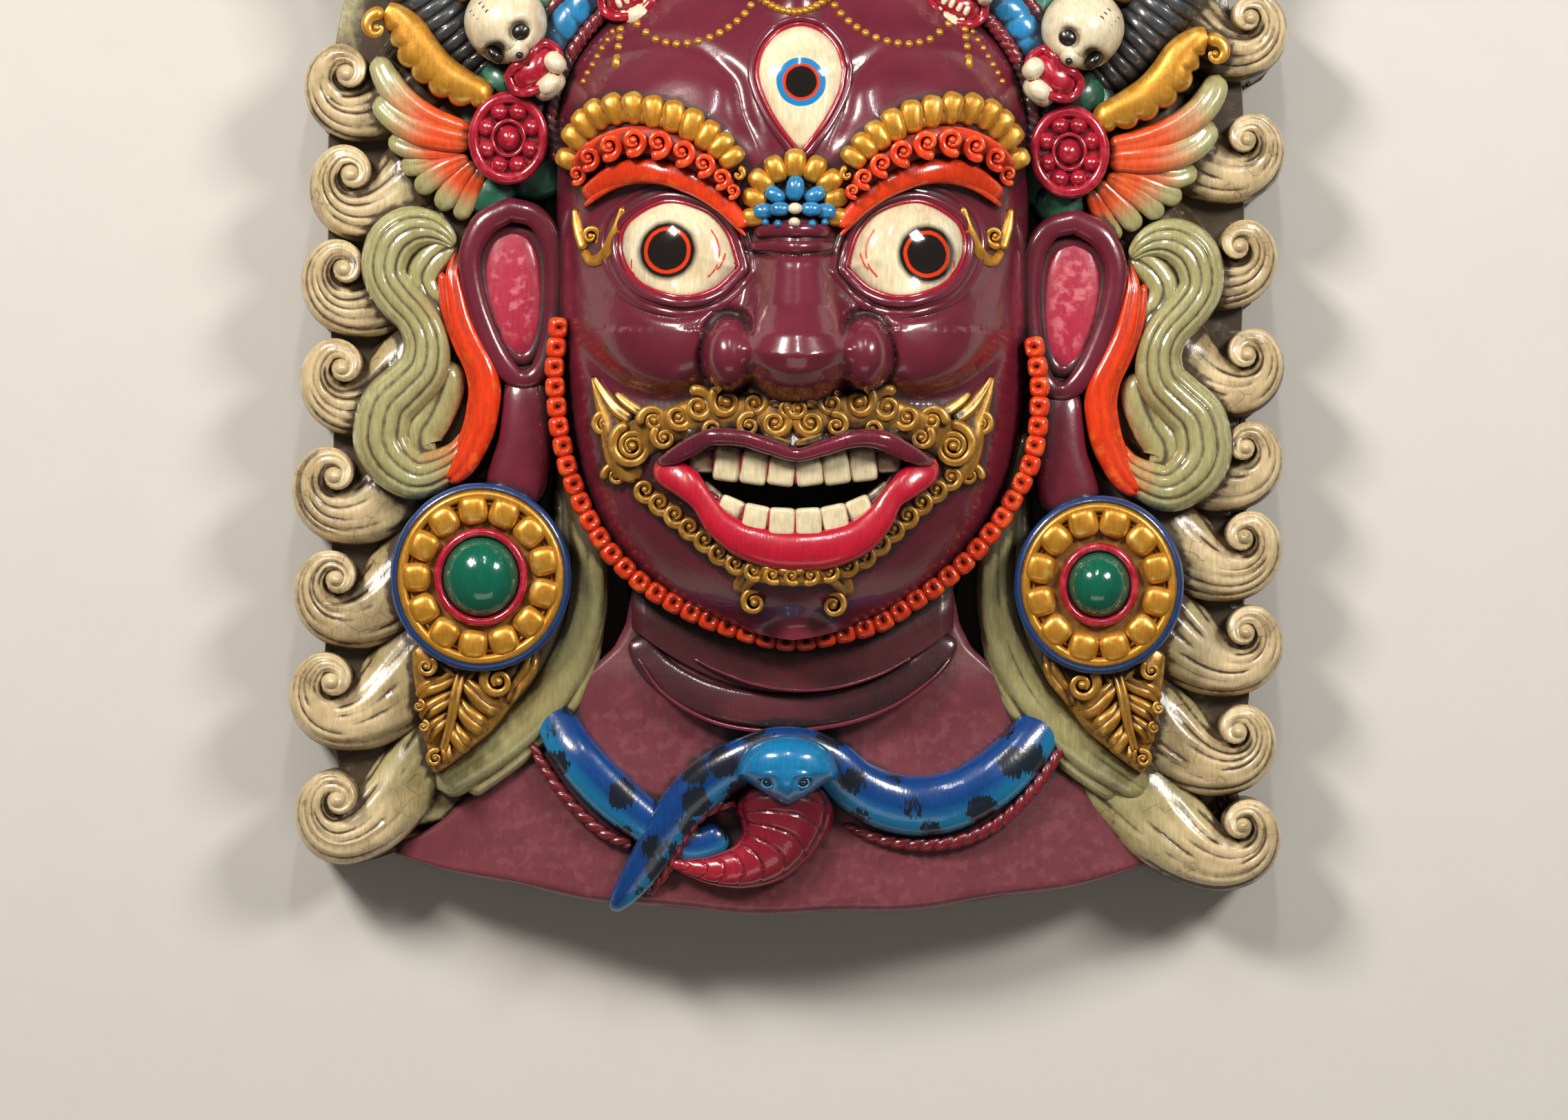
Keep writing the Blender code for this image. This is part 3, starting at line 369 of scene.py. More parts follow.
@dataclass(frozen=True)
class ScalePaint(Paint):
    """Serpent enamel: worn black blotches on blue, cyan where the belly turns up."""

    belly: str = "1A86B4"
    blotch: str = "15171C"
    blotch_mm: float = 26.0

    def marks(self, tree: bpy.types.NodeTree, place: Any, colour: Any) -> Any:
        """Adds the lighter edge and the blotches with their dragged bristle edges.

        Args:
            tree: The material's node tree.
            place: Socket of object coordinates.
            colour: The blue under the marks.

        Returns:
            A colour socket.
        """
        across = add(tree, "Attribute", attribute_name="across").outputs["Fac"]
        low = add(tree, "MapRange", {0: across, 1: 0.55, 2: 0.95})
        colour = add(tree, "Mix", {0: low.outputs[0], 6: colour, 7: linear(self.belly)},
            data_type="RGBA").outputs[2]
        flat = add(tree, "Mapping", {"Vector": place, "Scale": (1.0, 1.0, 0.1)}).outputs[0]
        cells = add(tree, "TexVoronoi", {"Vector": flat, "Scale": 1000 / self.blotch_mm})
        drag = add(tree, "Mapping", {"Vector": place, "Scale": (1.0, 0.3, 1.0)})
        bristle = add(tree, "TexNoise",
            {"Vector": drag.outputs[0], "Scale": 1000 / BRISTLE_MM, "Detail": 4.0})
        edge = add(tree, "Math", {0: bristle.outputs[0], 1: 0.5}, operation="MULTIPLY_ADD")
        tree.links.new(cells.outputs["Distance"], edge.inputs[2])
        spot = add(tree, "MapRange", {0: edge.outputs[0], 1: 0.62, 2: 0.67, 3: 0.95, 4: 0.0})
        return add(tree, "Mix", {0: spot.outputs[0], 6: colour, 7: linear(self.blotch)},
            data_type="RGBA").outputs[2]


@dataclass(frozen=True)
class BareWood(Paint):
    """Unpainted back of the block: adzed hardwood, grain along the height."""

    def colour(self, tree: bpy.types.NodeTree, place: Any) -> Any:
        """Bands of grain, WOOD_RING_MM from one dark band to the next, along the height.

        Args:
            tree: The material's node tree.
            place: Socket of object coordinates.

        Returns:
            A colour socket.
        """
        grain = add(tree, "Mapping", {"Vector": place, "Scale": (1.0, 0.06, 1.0)})
        rings = add(tree, "TexNoise",
            {"Vector": grain.outputs[0], "Scale": 1000 / WOOD_RING_MM, "Detail": 6.0})
        share = add(tree, "MapRange", {0: rings.outputs[0], 1: 0.36, 2: 0.64})
        return add(tree, "Mix", {0: share.outputs[0], 6: linear(self.hue), 7: linear("5A3B22")},
            data_type="RGBA").outputs[2]


# Hues that several finishes share.
CREAM = "D2BC92"
SAGE = "A09C6A"
BLACK = "1A1412"
FLAME = "DC3A10"


class Finishes(Enum):
    """Every finish of the mask."""

    # Oil enamel brushed over sanded gesso: deep maroon, hard varnish, sharp highlights.
    FACE = Paint("maroon_face_enamel", "6C2233", wash_and_shade="220A0E", uneven=0.5, uneven_hue="541426",
        gloss=0.26, coat=0.6, coat_gloss=0.07, rub="7C3844", rub_share=0.12, relief=0.14,
        streak=0.05)
    # The same enamel, thinner and worn flat: softer gloss, paler where it has been handled.
    BUST = Paint("maroon_bust_enamel", "75363F", wash_and_shade="1E0D12", uneven=0.4, uneven_hue="581C2C",
        gloss=0.4, coat=0.4, coat_gloss=0.22, rub="96585E", rub_share=0.25, stroke_mm=2.6,
        streak=0.08)
    # Gouged locks, cream turning to sage, wiped with umber: dark strands, with painted shade in
    # them, and a crazed film.
    HAIR = Paint("cream_to_sage_hair_enamel", SAGE, drift=CREAM, drift_span=(0.28, 0.6),
        wash_and_shade="38240F", wash_share=0.96, uneven=0.5, uneven_hue="8A6E40", gloss=0.34, coat=0.5,
        coat_gloss=0.16, rub="E2D2AC", rub_share=0.35, fleck_mm=22.0, crack=0.5)
    # Grey-green enamel, varnished thickly: wet-looking bands with brown wash and painted shade in
    # every groove.
    SAGE = Paint("sage_ribbon_enamel", "A5A070", wash_and_shade="3A2A12", uneven=0.45, uneven_hue="85703E",
        gloss=0.22, coat=0.9, coat_gloss=0.06, rub="CFD0A8", rub_share=0.4)
    # The ribbon enamel, its tip overpainted in flame orange while wet: a soft change of colour.
    RIBBON = Paint("sage_to_flame_ribbon_enamel", "A8A574", drift="E0561C", drift_span=(0.86, 0.97),
        wash_and_shade="3A2A12", uneven=0.45, uneven_hue="8A7644", gloss=0.2, coat=0.95, coat_gloss=0.06,
        rub="CFD0A8", rub_share=0.4)
    # Flame enamel blended by brush into sage towards the tips: streaky, half-gloss.
    FEATHER = Paint("flame_to_sage_feather_enamel", "D8481C", drift="A6A474", drift_span=(0.4,
        0.78), wash_and_shade="3A2212", uneven=0.22, uneven_hue="A8702E", gloss=0.3, coat=0.6)
    # Flame orange gloss enamel: saturated, with small bright highlights on each curl.
    FLAME = Paint("flame_orange_enamel", FLAME, wash_and_shade="4A120A", uneven=0.3, uneven_hue="C23414",
        gloss=0.24, coat=0.6, coat_gloss=0.07, rub="F07A30", rub_share=0.5)
    # Bronze powder in varnish, brushed on: warm broken glints, brown wash and painted shade in the
    # cuts.
    GOLD = Paint("bronze_powder_gold", "D2942F", wash_and_shade="4A2406", wash_share=0.8, uneven=0.34,
        uneven_hue="9A6A20", gloss=0.34, coat=0.35, coat_gloss=0.2, metal=0.55, rub="F2CC74",
        rub_share=0.5, fleck_mm=12.0)
    # The same bronze paint, rubbed, and nearly black in the depths with wash and painted shade: the
    # curls stand out.
    OLD_GOLD = Paint("rubbed_old_gold", "B98532", wash_and_shade="1F140A", wash_share=0.98, uneven=0.42,
        uneven_hue="6E4A18", gloss=0.36, coat=0.35, coat_gloss=0.2, metal=0.5, rub="DDB05A",
        rub_share=0.6, fleck_mm=9.0)
    # Crimson gloss enamel: wet red beads and rims.
    CRIMSON = Paint("crimson_enamel", "A2122A", wash_and_shade="2E080C", uneven=0.3, uneven_hue="7E1022",
        gloss=0.24, coat=0.8, coat_gloss=0.08, rub="D84A5C", rub_share=0.35)
    # Dark red enamel over roped carving: half-gloss, black wash and painted shade between the
    # twists.
    DARK_RED = Paint("dark_red_roped_enamel", "7A1624", wash_and_shade="1E0608", uneven=0.35, gloss=0.34,
        coat=0.5, rub="9A3440", rub_share=0.15)
    # Crimson enamel, varnished: one long clean highlight along the lip.
    LIP = Paint("crimson_lip_enamel", "B5102C", wash_and_shade="3A0810", uneven=0.3, uneven_hue="8A0E22",
        gloss=0.3, coat=0.6, coat_gloss=0.06, rub="C02840", rub_share=0.1)
    # Plum enamel, varnished: darker than the lower lip, just as glossy.
    UPPER_LIP = Paint("plum_lip_enamel", "5C1A2C", wash_and_shade="220810", uneven=0.3, uneven_hue="8A1C32",
        gloss=0.22, coat=0.9, coat_gloss=0.06)
    # Rose enamel scuffed to pink: blotchy, low gloss in the hollow of the ear.
    PINK = Paint("rose_ear_enamel", "AC2A42", wash_and_shade="3A1018", uneven=0.5, uneven_hue="A02A44",
        gloss=0.36, coat=0.4, rub="E08A90", rub_share=0.5, fleck_mm=18.0)
    # Deep blue enamel with black blotches dragged by a dry brush: a glossy, spotted skin.
    BLUE = ScalePaint("serpent_blue_enamel", "0A4082", wash_and_shade="060C14", uneven=0.4,
        uneven_hue="082A5C", gloss=0.26, coat=0.55, coat_gloss=0.1)
    # Brighter blue enamel under thick varnish: a smooth, wet-looking head.
    HEAD_BLUE = Paint("cobra_head_blue_enamel", "1478AC", wash_and_shade="0A1420", uneven=0.3,
        uneven_hue="12589A", gloss=0.24, coat=0.85, coat_gloss=0.08)
    # Sky blue enamel: clear colour with soft gloss.
    SKY = Paint("sky_blue_enamel", "2A86BE", wash_and_shade="10202C", gloss=0.28, coat=0.7)
    # Deep blue enamel on a turned rim: a dark ring that sets off the gold.
    RIM_BLUE = Paint("deep_blue_rim_enamel", "1A3F76", wash_and_shade="0E1424", gloss=0.28, coat=0.6)
    # Malachite green enamel polished like a stone: one sharp round highlight.
    GREEN = Paint("malachite_green_enamel", "045E48", wash_and_shade="04221A", uneven=0.3,
        uneven_hue="044E3A", gloss=0.16, coat=1.0, coat_gloss=0.04)
    # Thin teal enamel: the dull ground behind the ornaments.
    TEAL = Paint("teal_ground_enamel", "2E7A60", wash_and_shade="0C2218", uneven=0.5, gloss=0.4, coat=0.3)
    # White enamel aged to bone: cream on the domes, brown wash and painted shade in the sockets.
    BONE = Paint("bone_white_enamel", "E4D8BA", wash_and_shade="5A4022", wash_share=0.7, uneven=0.3,
        uneven_hue="B39A6C", gloss=0.32, coat=0.5, rub="F4ECD6", rub_share=0.5, fleck_mm=16.0)
    # Ivory enamel: smooth blocks, darker where they meet, with stain and painted shade.
    TOOTH = Paint("ivory_tooth_enamel", "DDD0AC", wash_and_shade="4A2418", uneven=0.32, uneven_hue="A88E5E",
        gloss=0.28, coat=0.6, fleck_mm=10.0)
    # Lamp black enamel: glossy dark with no colour in it.
    BLACK = Paint("lamp_black_enamel", BLACK, wash_and_shade="060505", gloss=0.3, coat=0.6)
    # Charcoal enamel over ringed carving: grey on the ridges, black wash and painted shade in the
    # cuts.
    HORN = Paint("black_horn_enamel", "3C3F43", wash_and_shade="0C0D10", uneven=0.4, uneven_hue="23262B",
        gloss=0.36, coat=0.5, rub="6A6E72", rub_share=0.5)
    # Maroon enamel darkened all over: painted shade under the chin.
    NECK = Paint("shaded_neck_enamel", "4A1820", wash_and_shade="160608", uneven=0.5, uneven_hue="6A2C34",
        gloss=0.36, coat=0.5, coat_gloss=0.16, fleck_mm=50.0, streak=0.08)
    # Maroon enamel heavily clouded with near-black: a glossy, dark band.
    COLLAR = Paint("dark_clouded_collar_enamel", "5A2A32", wash_and_shade="140C0E", uneven=0.85,
        uneven_hue="20161A", gloss=0.26, coat=0.8, coat_gloss=0.1, fleck_mm=60.0, streak=0.08)
    # Red enamel that darkens towards the head, a painted shadow under the head: glossy ribs.
    HOOD = Paint("hood_red_enamel_with_painted_shadow", "A01E30", drift="561022", drift_span=(0.35, 0.9), wash_and_shade="2A060C",
        uneven=0.3, uneven_hue="86142A", gloss=0.24, coat=0.8, coat_gloss=0.08)
    # Sawn and gouged hardwood, unpainted: brown grain along the height, no gloss.
    WOOD = BareWood("bare_back_hardwood", "8B6239", wash_and_shade="2C1A0E", uneven=0.4, gloss=0.7, coat=0.0,
        relief=0.5, wash_share=0.5)


def smooth_path(points: Rows, count: int) -> Array:
    """Even samples of a smooth curve through rows of numbers.

    Args:
        points: Rows that start with x and y.
        count: How many samples.

    Returns:
        The samples, with every column carried along.
    """
    rows = np.array(points, float)
    rows = np.vstack([2 * rows[0] - rows[1], rows, 2 * rows[-1] - rows[-2]])
    steps = np.linspace(0.0, 1.0, 12, endpoint=False)[:, None]
    out = []
    for a, b, c, d in zip(rows[:-3], rows[1:-2], rows[2:-1], rows[3:]):
        bend, twist = 2 * a - 5 * b + 4 * c - d, 3 * b - a - 3 * c + d
        out.append(0.5 * (2 * b + (c - a) * steps + bend * steps**2 + twist * steps**3))
    out.append(rows[-2][None])
    line = np.vstack(out)
    walked = np.concatenate(
        [[0.0], np.cumsum(np.linalg.norm(np.diff(line[:, :2], axis=0), axis=1))])
    even = np.linspace(0.0, walked[-1], count)
    return np.column_stack([np.interp(even, walked, column) for column in line.T])


def mirrored(points: Rows, drop: float = 0.0) -> Array:
    """The same rows on the other side of the face, lower by drop.

    Args:
        points: Rows that start with x and y.
        drop: How much lower they come.

    Returns:
        The moved rows.
    """
    rows = np.array(points, float)
    rows[:, 0] = 2 * MIDDLE - rows[:, 0]
    rows[:, 1] -= drop
    return rows


def ring_grid(count: int, sides: int, wrap: bool) -> list[tuple[int, ...]]:
    """Quads between rings of points, and end faces unless the rings wrap.

    Args:
        count: Number of rings.
        sides: Points in a ring.
        wrap: Whether the last ring joins the first.

    Returns:
        The faces as rows of point numbers.
    """
    spans = count if wrap else count - 1
    i = np.repeat(np.arange(spans), sides)
    j = np.tile(np.arange(sides), spans)
    k, n = (j + 1) % sides, (i + 1) % count
    quads = np.column_stack([i * sides + j, i * sides + k, n * sides + k, n * sides + j])
    faces = [tuple(row) for row in quads.tolist()]
    if not wrap:
        faces.append(tuple(range(sides))[::-1])
        faces.append(tuple(range((count - 1) * sides, count * sides)))
    return faces


class Form:
    """One visible piece under the chisel: closed shapes that share a finish."""

    made: list["Form"] = []

    def __init__(self, name: str, finish: Finishes, crease: float = 50.0) -> None:
        """Starts an empty piece.

        Args:
            name: The piece's name.
            finish: Its paint.
            crease: Edges sharper than this many degrees stay sharp.
        """
        self.name, self.finish, self.crease = name, finish, crease
        self.points: list[Array] = []
        self.faces: list[tuple[int, ...]] = []
        self.values: dict[str, list[Array]] = {"along": [], "across": [], "cut": []}
        self.count = 0
        self.body: Optional[bpy.types.Object] = None
        Form.made.append(self)

    def put(self, points: Array, faces: list[tuple[int, ...]], **values: Any) -> None:
        """Adds a closed shape.

        Args:
            points: Rows of x, y, z.
            faces: Point numbers within this shape.
            values: What is painted along it, one value or one for each point.
        """
        points = np.asarray(points, float).reshape(-1, 3)
        base = self.count
        self.points.append(points)
        self.faces.extend(tuple(v + base for v in face) for face in faces)
        for key, rows in self.values.items():
            given = np.asarray(values.get(key, 0.0), float)
            rows.append(np.broadcast_to(given.ravel(), (len(points),)).copy())
        self.count += len(points)

    def loft(self, rings: Array, wrap: bool = False, **values: Any) -> None:
        """Adds a closed shape through rings of equal count."""
        rings = np.asarray(rings, float)
        self.put(rings, ring_grid(rings.shape[0], rings.shape[1], wrap), **values)

    def sweep(self, rows: Rows, count: int = 40, sides: int = 16, foot: float = 4.0,
            roundness: float = 0.55, cut: Optional[Cut] = None,
            ends: tuple[bool, bool] = (True, True), span: tuple[float, float] = (0.0, 1.0),
            wrap: bool = False, lobes: tuple[int, float, int] = (0, 0.0, 1)) -> None:
        """Adds a strand or strip: an arched top over upright sides.

        Args:
            rows: x, y, half width and crest height.
            count: Samples along the path.
            sides: Samples over the arch.
            foot: Height of the underside.
            roundness: Power of the arch, lower for a flatter top.
            cut: Depth of what is carved away, from the distance along, the place
                across from -1 to 1, and the half width.
            ends: Which ends are rounded off.
            span: Values painted along it, from its start to its end.
            wrap: Whether the strip runs back into itself.
            lobes: How many scallops its edge has, their depth and their side.
        """
        count, sides = max(5, round(count * FINE)), max(6, round(sides * FINE))
        line = smooth_path(rows, count)
        x, y, half, crest = line[:, :4].T
        walked = np.concatenate([[0.0], np.cumsum(np.hypot(np.diff(x), np.diff(y)))])
        half, crest = half.copy(), crest.copy()
        for flag, away in ((ends[0], walked), (ends[1], walked[-1] - walked)):
            if flag and not wrap:
                reach = max(float(half[0] if away is walked else half[-1]), 1.0)
                near = np.clip(away / reach, 0.0, 1.0)
                shrink = np.sqrt(np.clip(1 - (1 - near) ** 2, 0.004, 1.0))
                crest -= (1 - shrink) * np.minimum(half, 8.0) * 0.9
                half *= shrink
        if wrap:
            x[-1], y[-1] = x[0], y[0]
            x, y, half, crest, walked = x[:-1], y[:-1], half[:-1], crest[:-1], walked[:-1]
            run = np.column_stack([np.roll(x, -1) - np.roll(x, 1), np.roll(y, -1) - np.roll(y, 1)])
        else:
            run = np.column_stack([np.gradient(x), np.gradient(y)])
        run /= np.linalg.norm(run, axis=1)[:, None] + 1e-9
        angle = np.linspace(0.0, math.pi, sides)
        side = np.cos(angle)[None, :]
        rise = (np.sin(angle) ** roundness)[None, :]
        half, crest = half[:, None], crest[:, None]
        depth = cut(walked[:, None], side, half) if cut else np.zeros((len(x), sides))
        arch = np.minimum(1.1 * half, 0.5 * (crest - foot) + 4.0)
        lateral = (half - depth * np.abs(side) * 0.6) * side
        if lobes[0]:
            wave = np.abs(np.sin(math.pi * lobes[0] * walked / walked[-1]))[:, None] ** 0.6
            lateral = lateral - lobes[2] * lobes[1] * (1 - wave) * np.clip(lobes[2] * side, 0, 1)
        height = crest - arch + arch * rise - depth * np.sqrt(rise)
        across = np.column_stack([run[:, 1], -run[:, 0]])
        top = np.stack([x[:, None] + across[:, :1] * lateral, y[:, None] + across[:, 1:] * lateral,
            height], axis=2)
        hem = []
        for sign in (-1, 1):
            edge = lateral[:, 0 if sign > 0 else -1]
            hem.append(
                np.column_stack([x + across[:, 0] * edge, y + across[:, 1] * edge, 0 * x + foot]))
        rings = np.concatenate([top, np.stack(hem, axis=1)], axis=1)
        share = span[0] + (span[1] - span[0]) * walked / max(walked[-1], 1e-6)
        ones = np.ones((1, sides + 2))
        wide = np.concatenate([side[0], [-1.0, 1.0]])[None, :] * 0.5 + 0.5
        deep = np.concatenate([depth, np.zeros((len(x), 2))], axis=1)
        self.loft(rings, wrap, along=share[:, None] * ones, across=wide * np.ones((len(x), 1)),
            cut=np.clip(deep / STRIP_CUT_MM, 0, 1))

    def dome(self, centre: Sequence[float], radii: Sequence[float], turn: float = 0.0,
            box: float = 1.0, rings: int = 12, spokes: int = 22,
            dent: Optional[Callable[[Array], Array]] = None, along: float = 0.0) -> None:
        """Adds an egg or a rounded block.

        Args:
            centre: Its middle.
            radii: Half sizes.
            turn: Turn about Z in radians.
            box: 1 for an egg, lower for a squarer shape.
            rings: Rings from pole to pole.
            spokes: Points in a ring.
            dent: Depth taken off, from the points about the middle before the turn.
            along: Value painted on it.
        """
        rings, spokes = max(5, round(rings * FINE)), max(8, round(spokes * FINE))
        up = np.linspace(-POLE, POLE, rings)[:, None]
        around = np.linspace(0, 2 * math.pi, spokes, endpoint=False)[None, :]

        def power(value: Array) -> Array:
            """Bends a sine or cosine to a squarer shape."""
            return np.sign(value) * np.abs(value) ** box

        x = radii[0] * power(np.cos(up)) * power(np.cos(around))
        y = radii[1] * power(np.cos(up)) * power(np.sin(around))
        z = radii[2] * power(np.sin(up)) * np.ones_like(around)
        cut = np.zeros_like(x)
        if dent is not None:
            cut = dent(np.stack([x, y, z], axis=2))
            scale = 1 - cut / np.maximum(np.sqrt(x**2 + y**2 + z**2), 1.0)
            x, y, z = x * scale, y * scale, z * scale
        c, s = math.cos(turn), math.sin(turn)
        rings_ = np.stack([centre[0] + c * x - s * y, centre[1] + s * x + c * y, centre[2] + z],
            axis=2)
        self.loft(rings_, along=along, cut=np.clip(cut / DOME_CUT_MM, 0, 1))

    def lathe(self, centre: Sequence[float], profile: Rows, oval: float = 1.0, spokes: int = 64,
            wrap: bool = False) -> None:
        """Adds a turned shape about an upright axis, from radius and height rows.

        Args:
            centre: Where the axis stands.
            profile: Rows of radius and height.
            oval: Height of the shape over its width.
            spokes: Points in a ring.
            wrap: Whether the profile runs back into itself.
        """
        angle = np.linspace(0, 2 * math.pi, spokes, endpoint=False)
        rings = []
        for radius, height in profile:
            u, v = radius * np.cos(angle), radius * oval * np.sin(angle)
            rings.append(np.column_stack([centre[0] + u, centre[1] + v, 0 * angle + height]))
        self.loft(np.array(rings), wrap)

    def hoop(self, centre: Sequence[float], radius: float, thick: float, z: float,
            oval: float = 1.0, tall: float = 1.0) -> None:
        """Adds a round wire bent into a ring.

        Args:
            centre: Its middle.
            radius: Reach to the middle of the wire.
            thick: The wire's radius.
            z: Height of the wire's middle.
            oval: Height of the ring over its width.
            tall: How tall the wire is for its width.
        """
        ring = [(radius + thick * math.cos(a), z + thick * tall * math.sin(a))
            for a in np.linspace(0, 2 * math.pi, 12, endpoint=False)]
        self.lathe(centre, ring, oval, wrap=True)

    def curl(self, eye: Sequence[float], radius: float, sense: int, heading: float, z: float,
            turns: float = 1.15, count: int = 44, sides: int = 9, fill: float = 0.84,
            drop: float = 6.0, ease: float = 0.24) -> None:
        """Adds a carved scroll that winds in about its eye, where a small boss sits.

        Args:
            eye: Its middle.
            radius: Outer radius where it starts.
            sense: 1 for counter-clockwise.
            heading: Angle where the winding starts, in degrees.
            z: Height of its crest.
            turns: Turns until it ends.
            count: Samples along it.
            sides: Samples over it.
            fill: Share of the coil's pitch that the strand takes.
            drop: How far its foot is below its crest.
            ease: How fast it winds in.
        """
        turn = np.arange(0.0, turns * 2 * math.pi, 0.5)
        outer = CURL_SPREAD * radius * np.exp(-ease * turn)
        inner = outer * math.exp(-ease * 2 * math.pi)
        reach, half = (outer + inner) / 2, np.maximum((outer - inner) / 2 * fill, 0.6)
        angle = math.radians(heading) + sense * turn
        rows = np.column_stack(
            [eye[0] + reach * np.cos(angle), eye[1] + reach * np.sin(angle), half, 0 * turn + z])
        self.sweep(rows, count, sides, z - drop, 0.5)
        small = radius * math.exp(-ease * turns * 2 * math.pi) * 0.9
        self.dome((eye[0], eye[1], z - 0.45 * small), (small, small, small), rings=8, spokes=12)

    def carve(self) -> bpy.types.Object:
        """Turns the shapes to a Blender mesh with its painted values.

        Returns:
            The object, not yet dressed.
        """
        mesh = bpy.data.meshes.new(self.name)
        points = DRAFT.settle(np.vstack(self.points)) * MM
        mesh.from_pydata(points.tolist(), [], self.faces)
        for key, rows in self.values.items():
            layer = mesh.attributes.new(key, "FLOAT", "POINT")
            layer.data.foreach_set("value", np.concatenate(rows))
        work = bmesh.new()
        work.from_mesh(mesh)
        bmesh.ops.recalc_face_normals(work, faces=work.faces)
        work.to_mesh(mesh)
        work.free()
        self.body = bpy.data.objects.new(self.name, mesh)
        bpy.context.scene.collection.objects.link(self.body)
        return self.body


def select_only(piece: bpy.types.Object) -> None:
    """Makes a piece the only selected one, and active.

    Args:
        piece: The object.
    """
    bpy.ops.object.select_all(action="DESELECT")
    piece.select_set(True)
    bpy.context.view_layer.objects.active = piece


def bump(x: Array, y: Array, cx: float, cy: float, rx: float, ry: float,
        power: float = 1.0) -> Array:
    """A smooth hill, 1 at its middle."""
    return np.exp(-((((x - cx) / rx) ** 2 + ((y - cy) / ry) ** 2) ** power))


def cap(x: Array, y: Array, cx: float, cy: float, rx: float, ry: float) -> Array:
    """A rounded cap, 1 at its middle and 0 outside its ellipse."""
    return np.sqrt(np.clip(1 - ((x - cx) / rx) ** 2 - ((y - cy) / ry) ** 2, 0.0, 1.0))


def smooth_max(a: Array, b: Array, blend: float) -> Array:
    """The higher of two heights, rounded where they meet."""
    mix = np.clip(0.5 + 0.5 * (a - b) / blend, 0.0, 1.0)
    return b + (a - b) * mix + blend * mix * (1 - mix)


def groove(x: Array, y: Array, path: Rows, width: float) -> Array:
    """How near points lie to a path, 1 on it, fading out over width and at its ends.

    Args:
        x: Places across.
        y: Places up.
        path: Rows of x and y.
        width: Half width of the groove.

    Returns:
        The share of the groove's depth at each point.
    """
    line = smooth_path(path, 30)
    best = np.zeros_like(x)
    for share, (px, py) in zip(np.linspace(0, 1, 30), line[:, :2]):
        fade = min(1.0, 4 * share, 4 * (1 - share)) ** 0.5
        best = np.maximum(best, fade * np.exp(-((x - px) ** 2 + (y - py) ** 2) / width**2))
    return best


# Cuts in the face: the wings of the nose, furrows, smile lines, eye bags and folds.
WING_CREASE = ((33, -71), (34, -62), (40, -56), (49, -55), (57, -61), (62, -73), (63, -88),
    (58, -100))
FURROW = ((60, 119), (50, 110), (38, 98), (33, 78), (27, 64), (22, 52))
FURROW_TOP = ((145, 98), (120, 116), (95, 124), (72, 122), (58, 116))
SMILE_LINE = ((58, -98), (66, -107), (80, -111), (97, -109), (114, -102), (130, -88), (141, -70))
EYE_BAG = ((40, -38), (56, -52), (78, -58), (100, -53), (116, -40))
NOSE_FOLD = ((-30, -14), (0, -17), (30, -14), (34, -12))


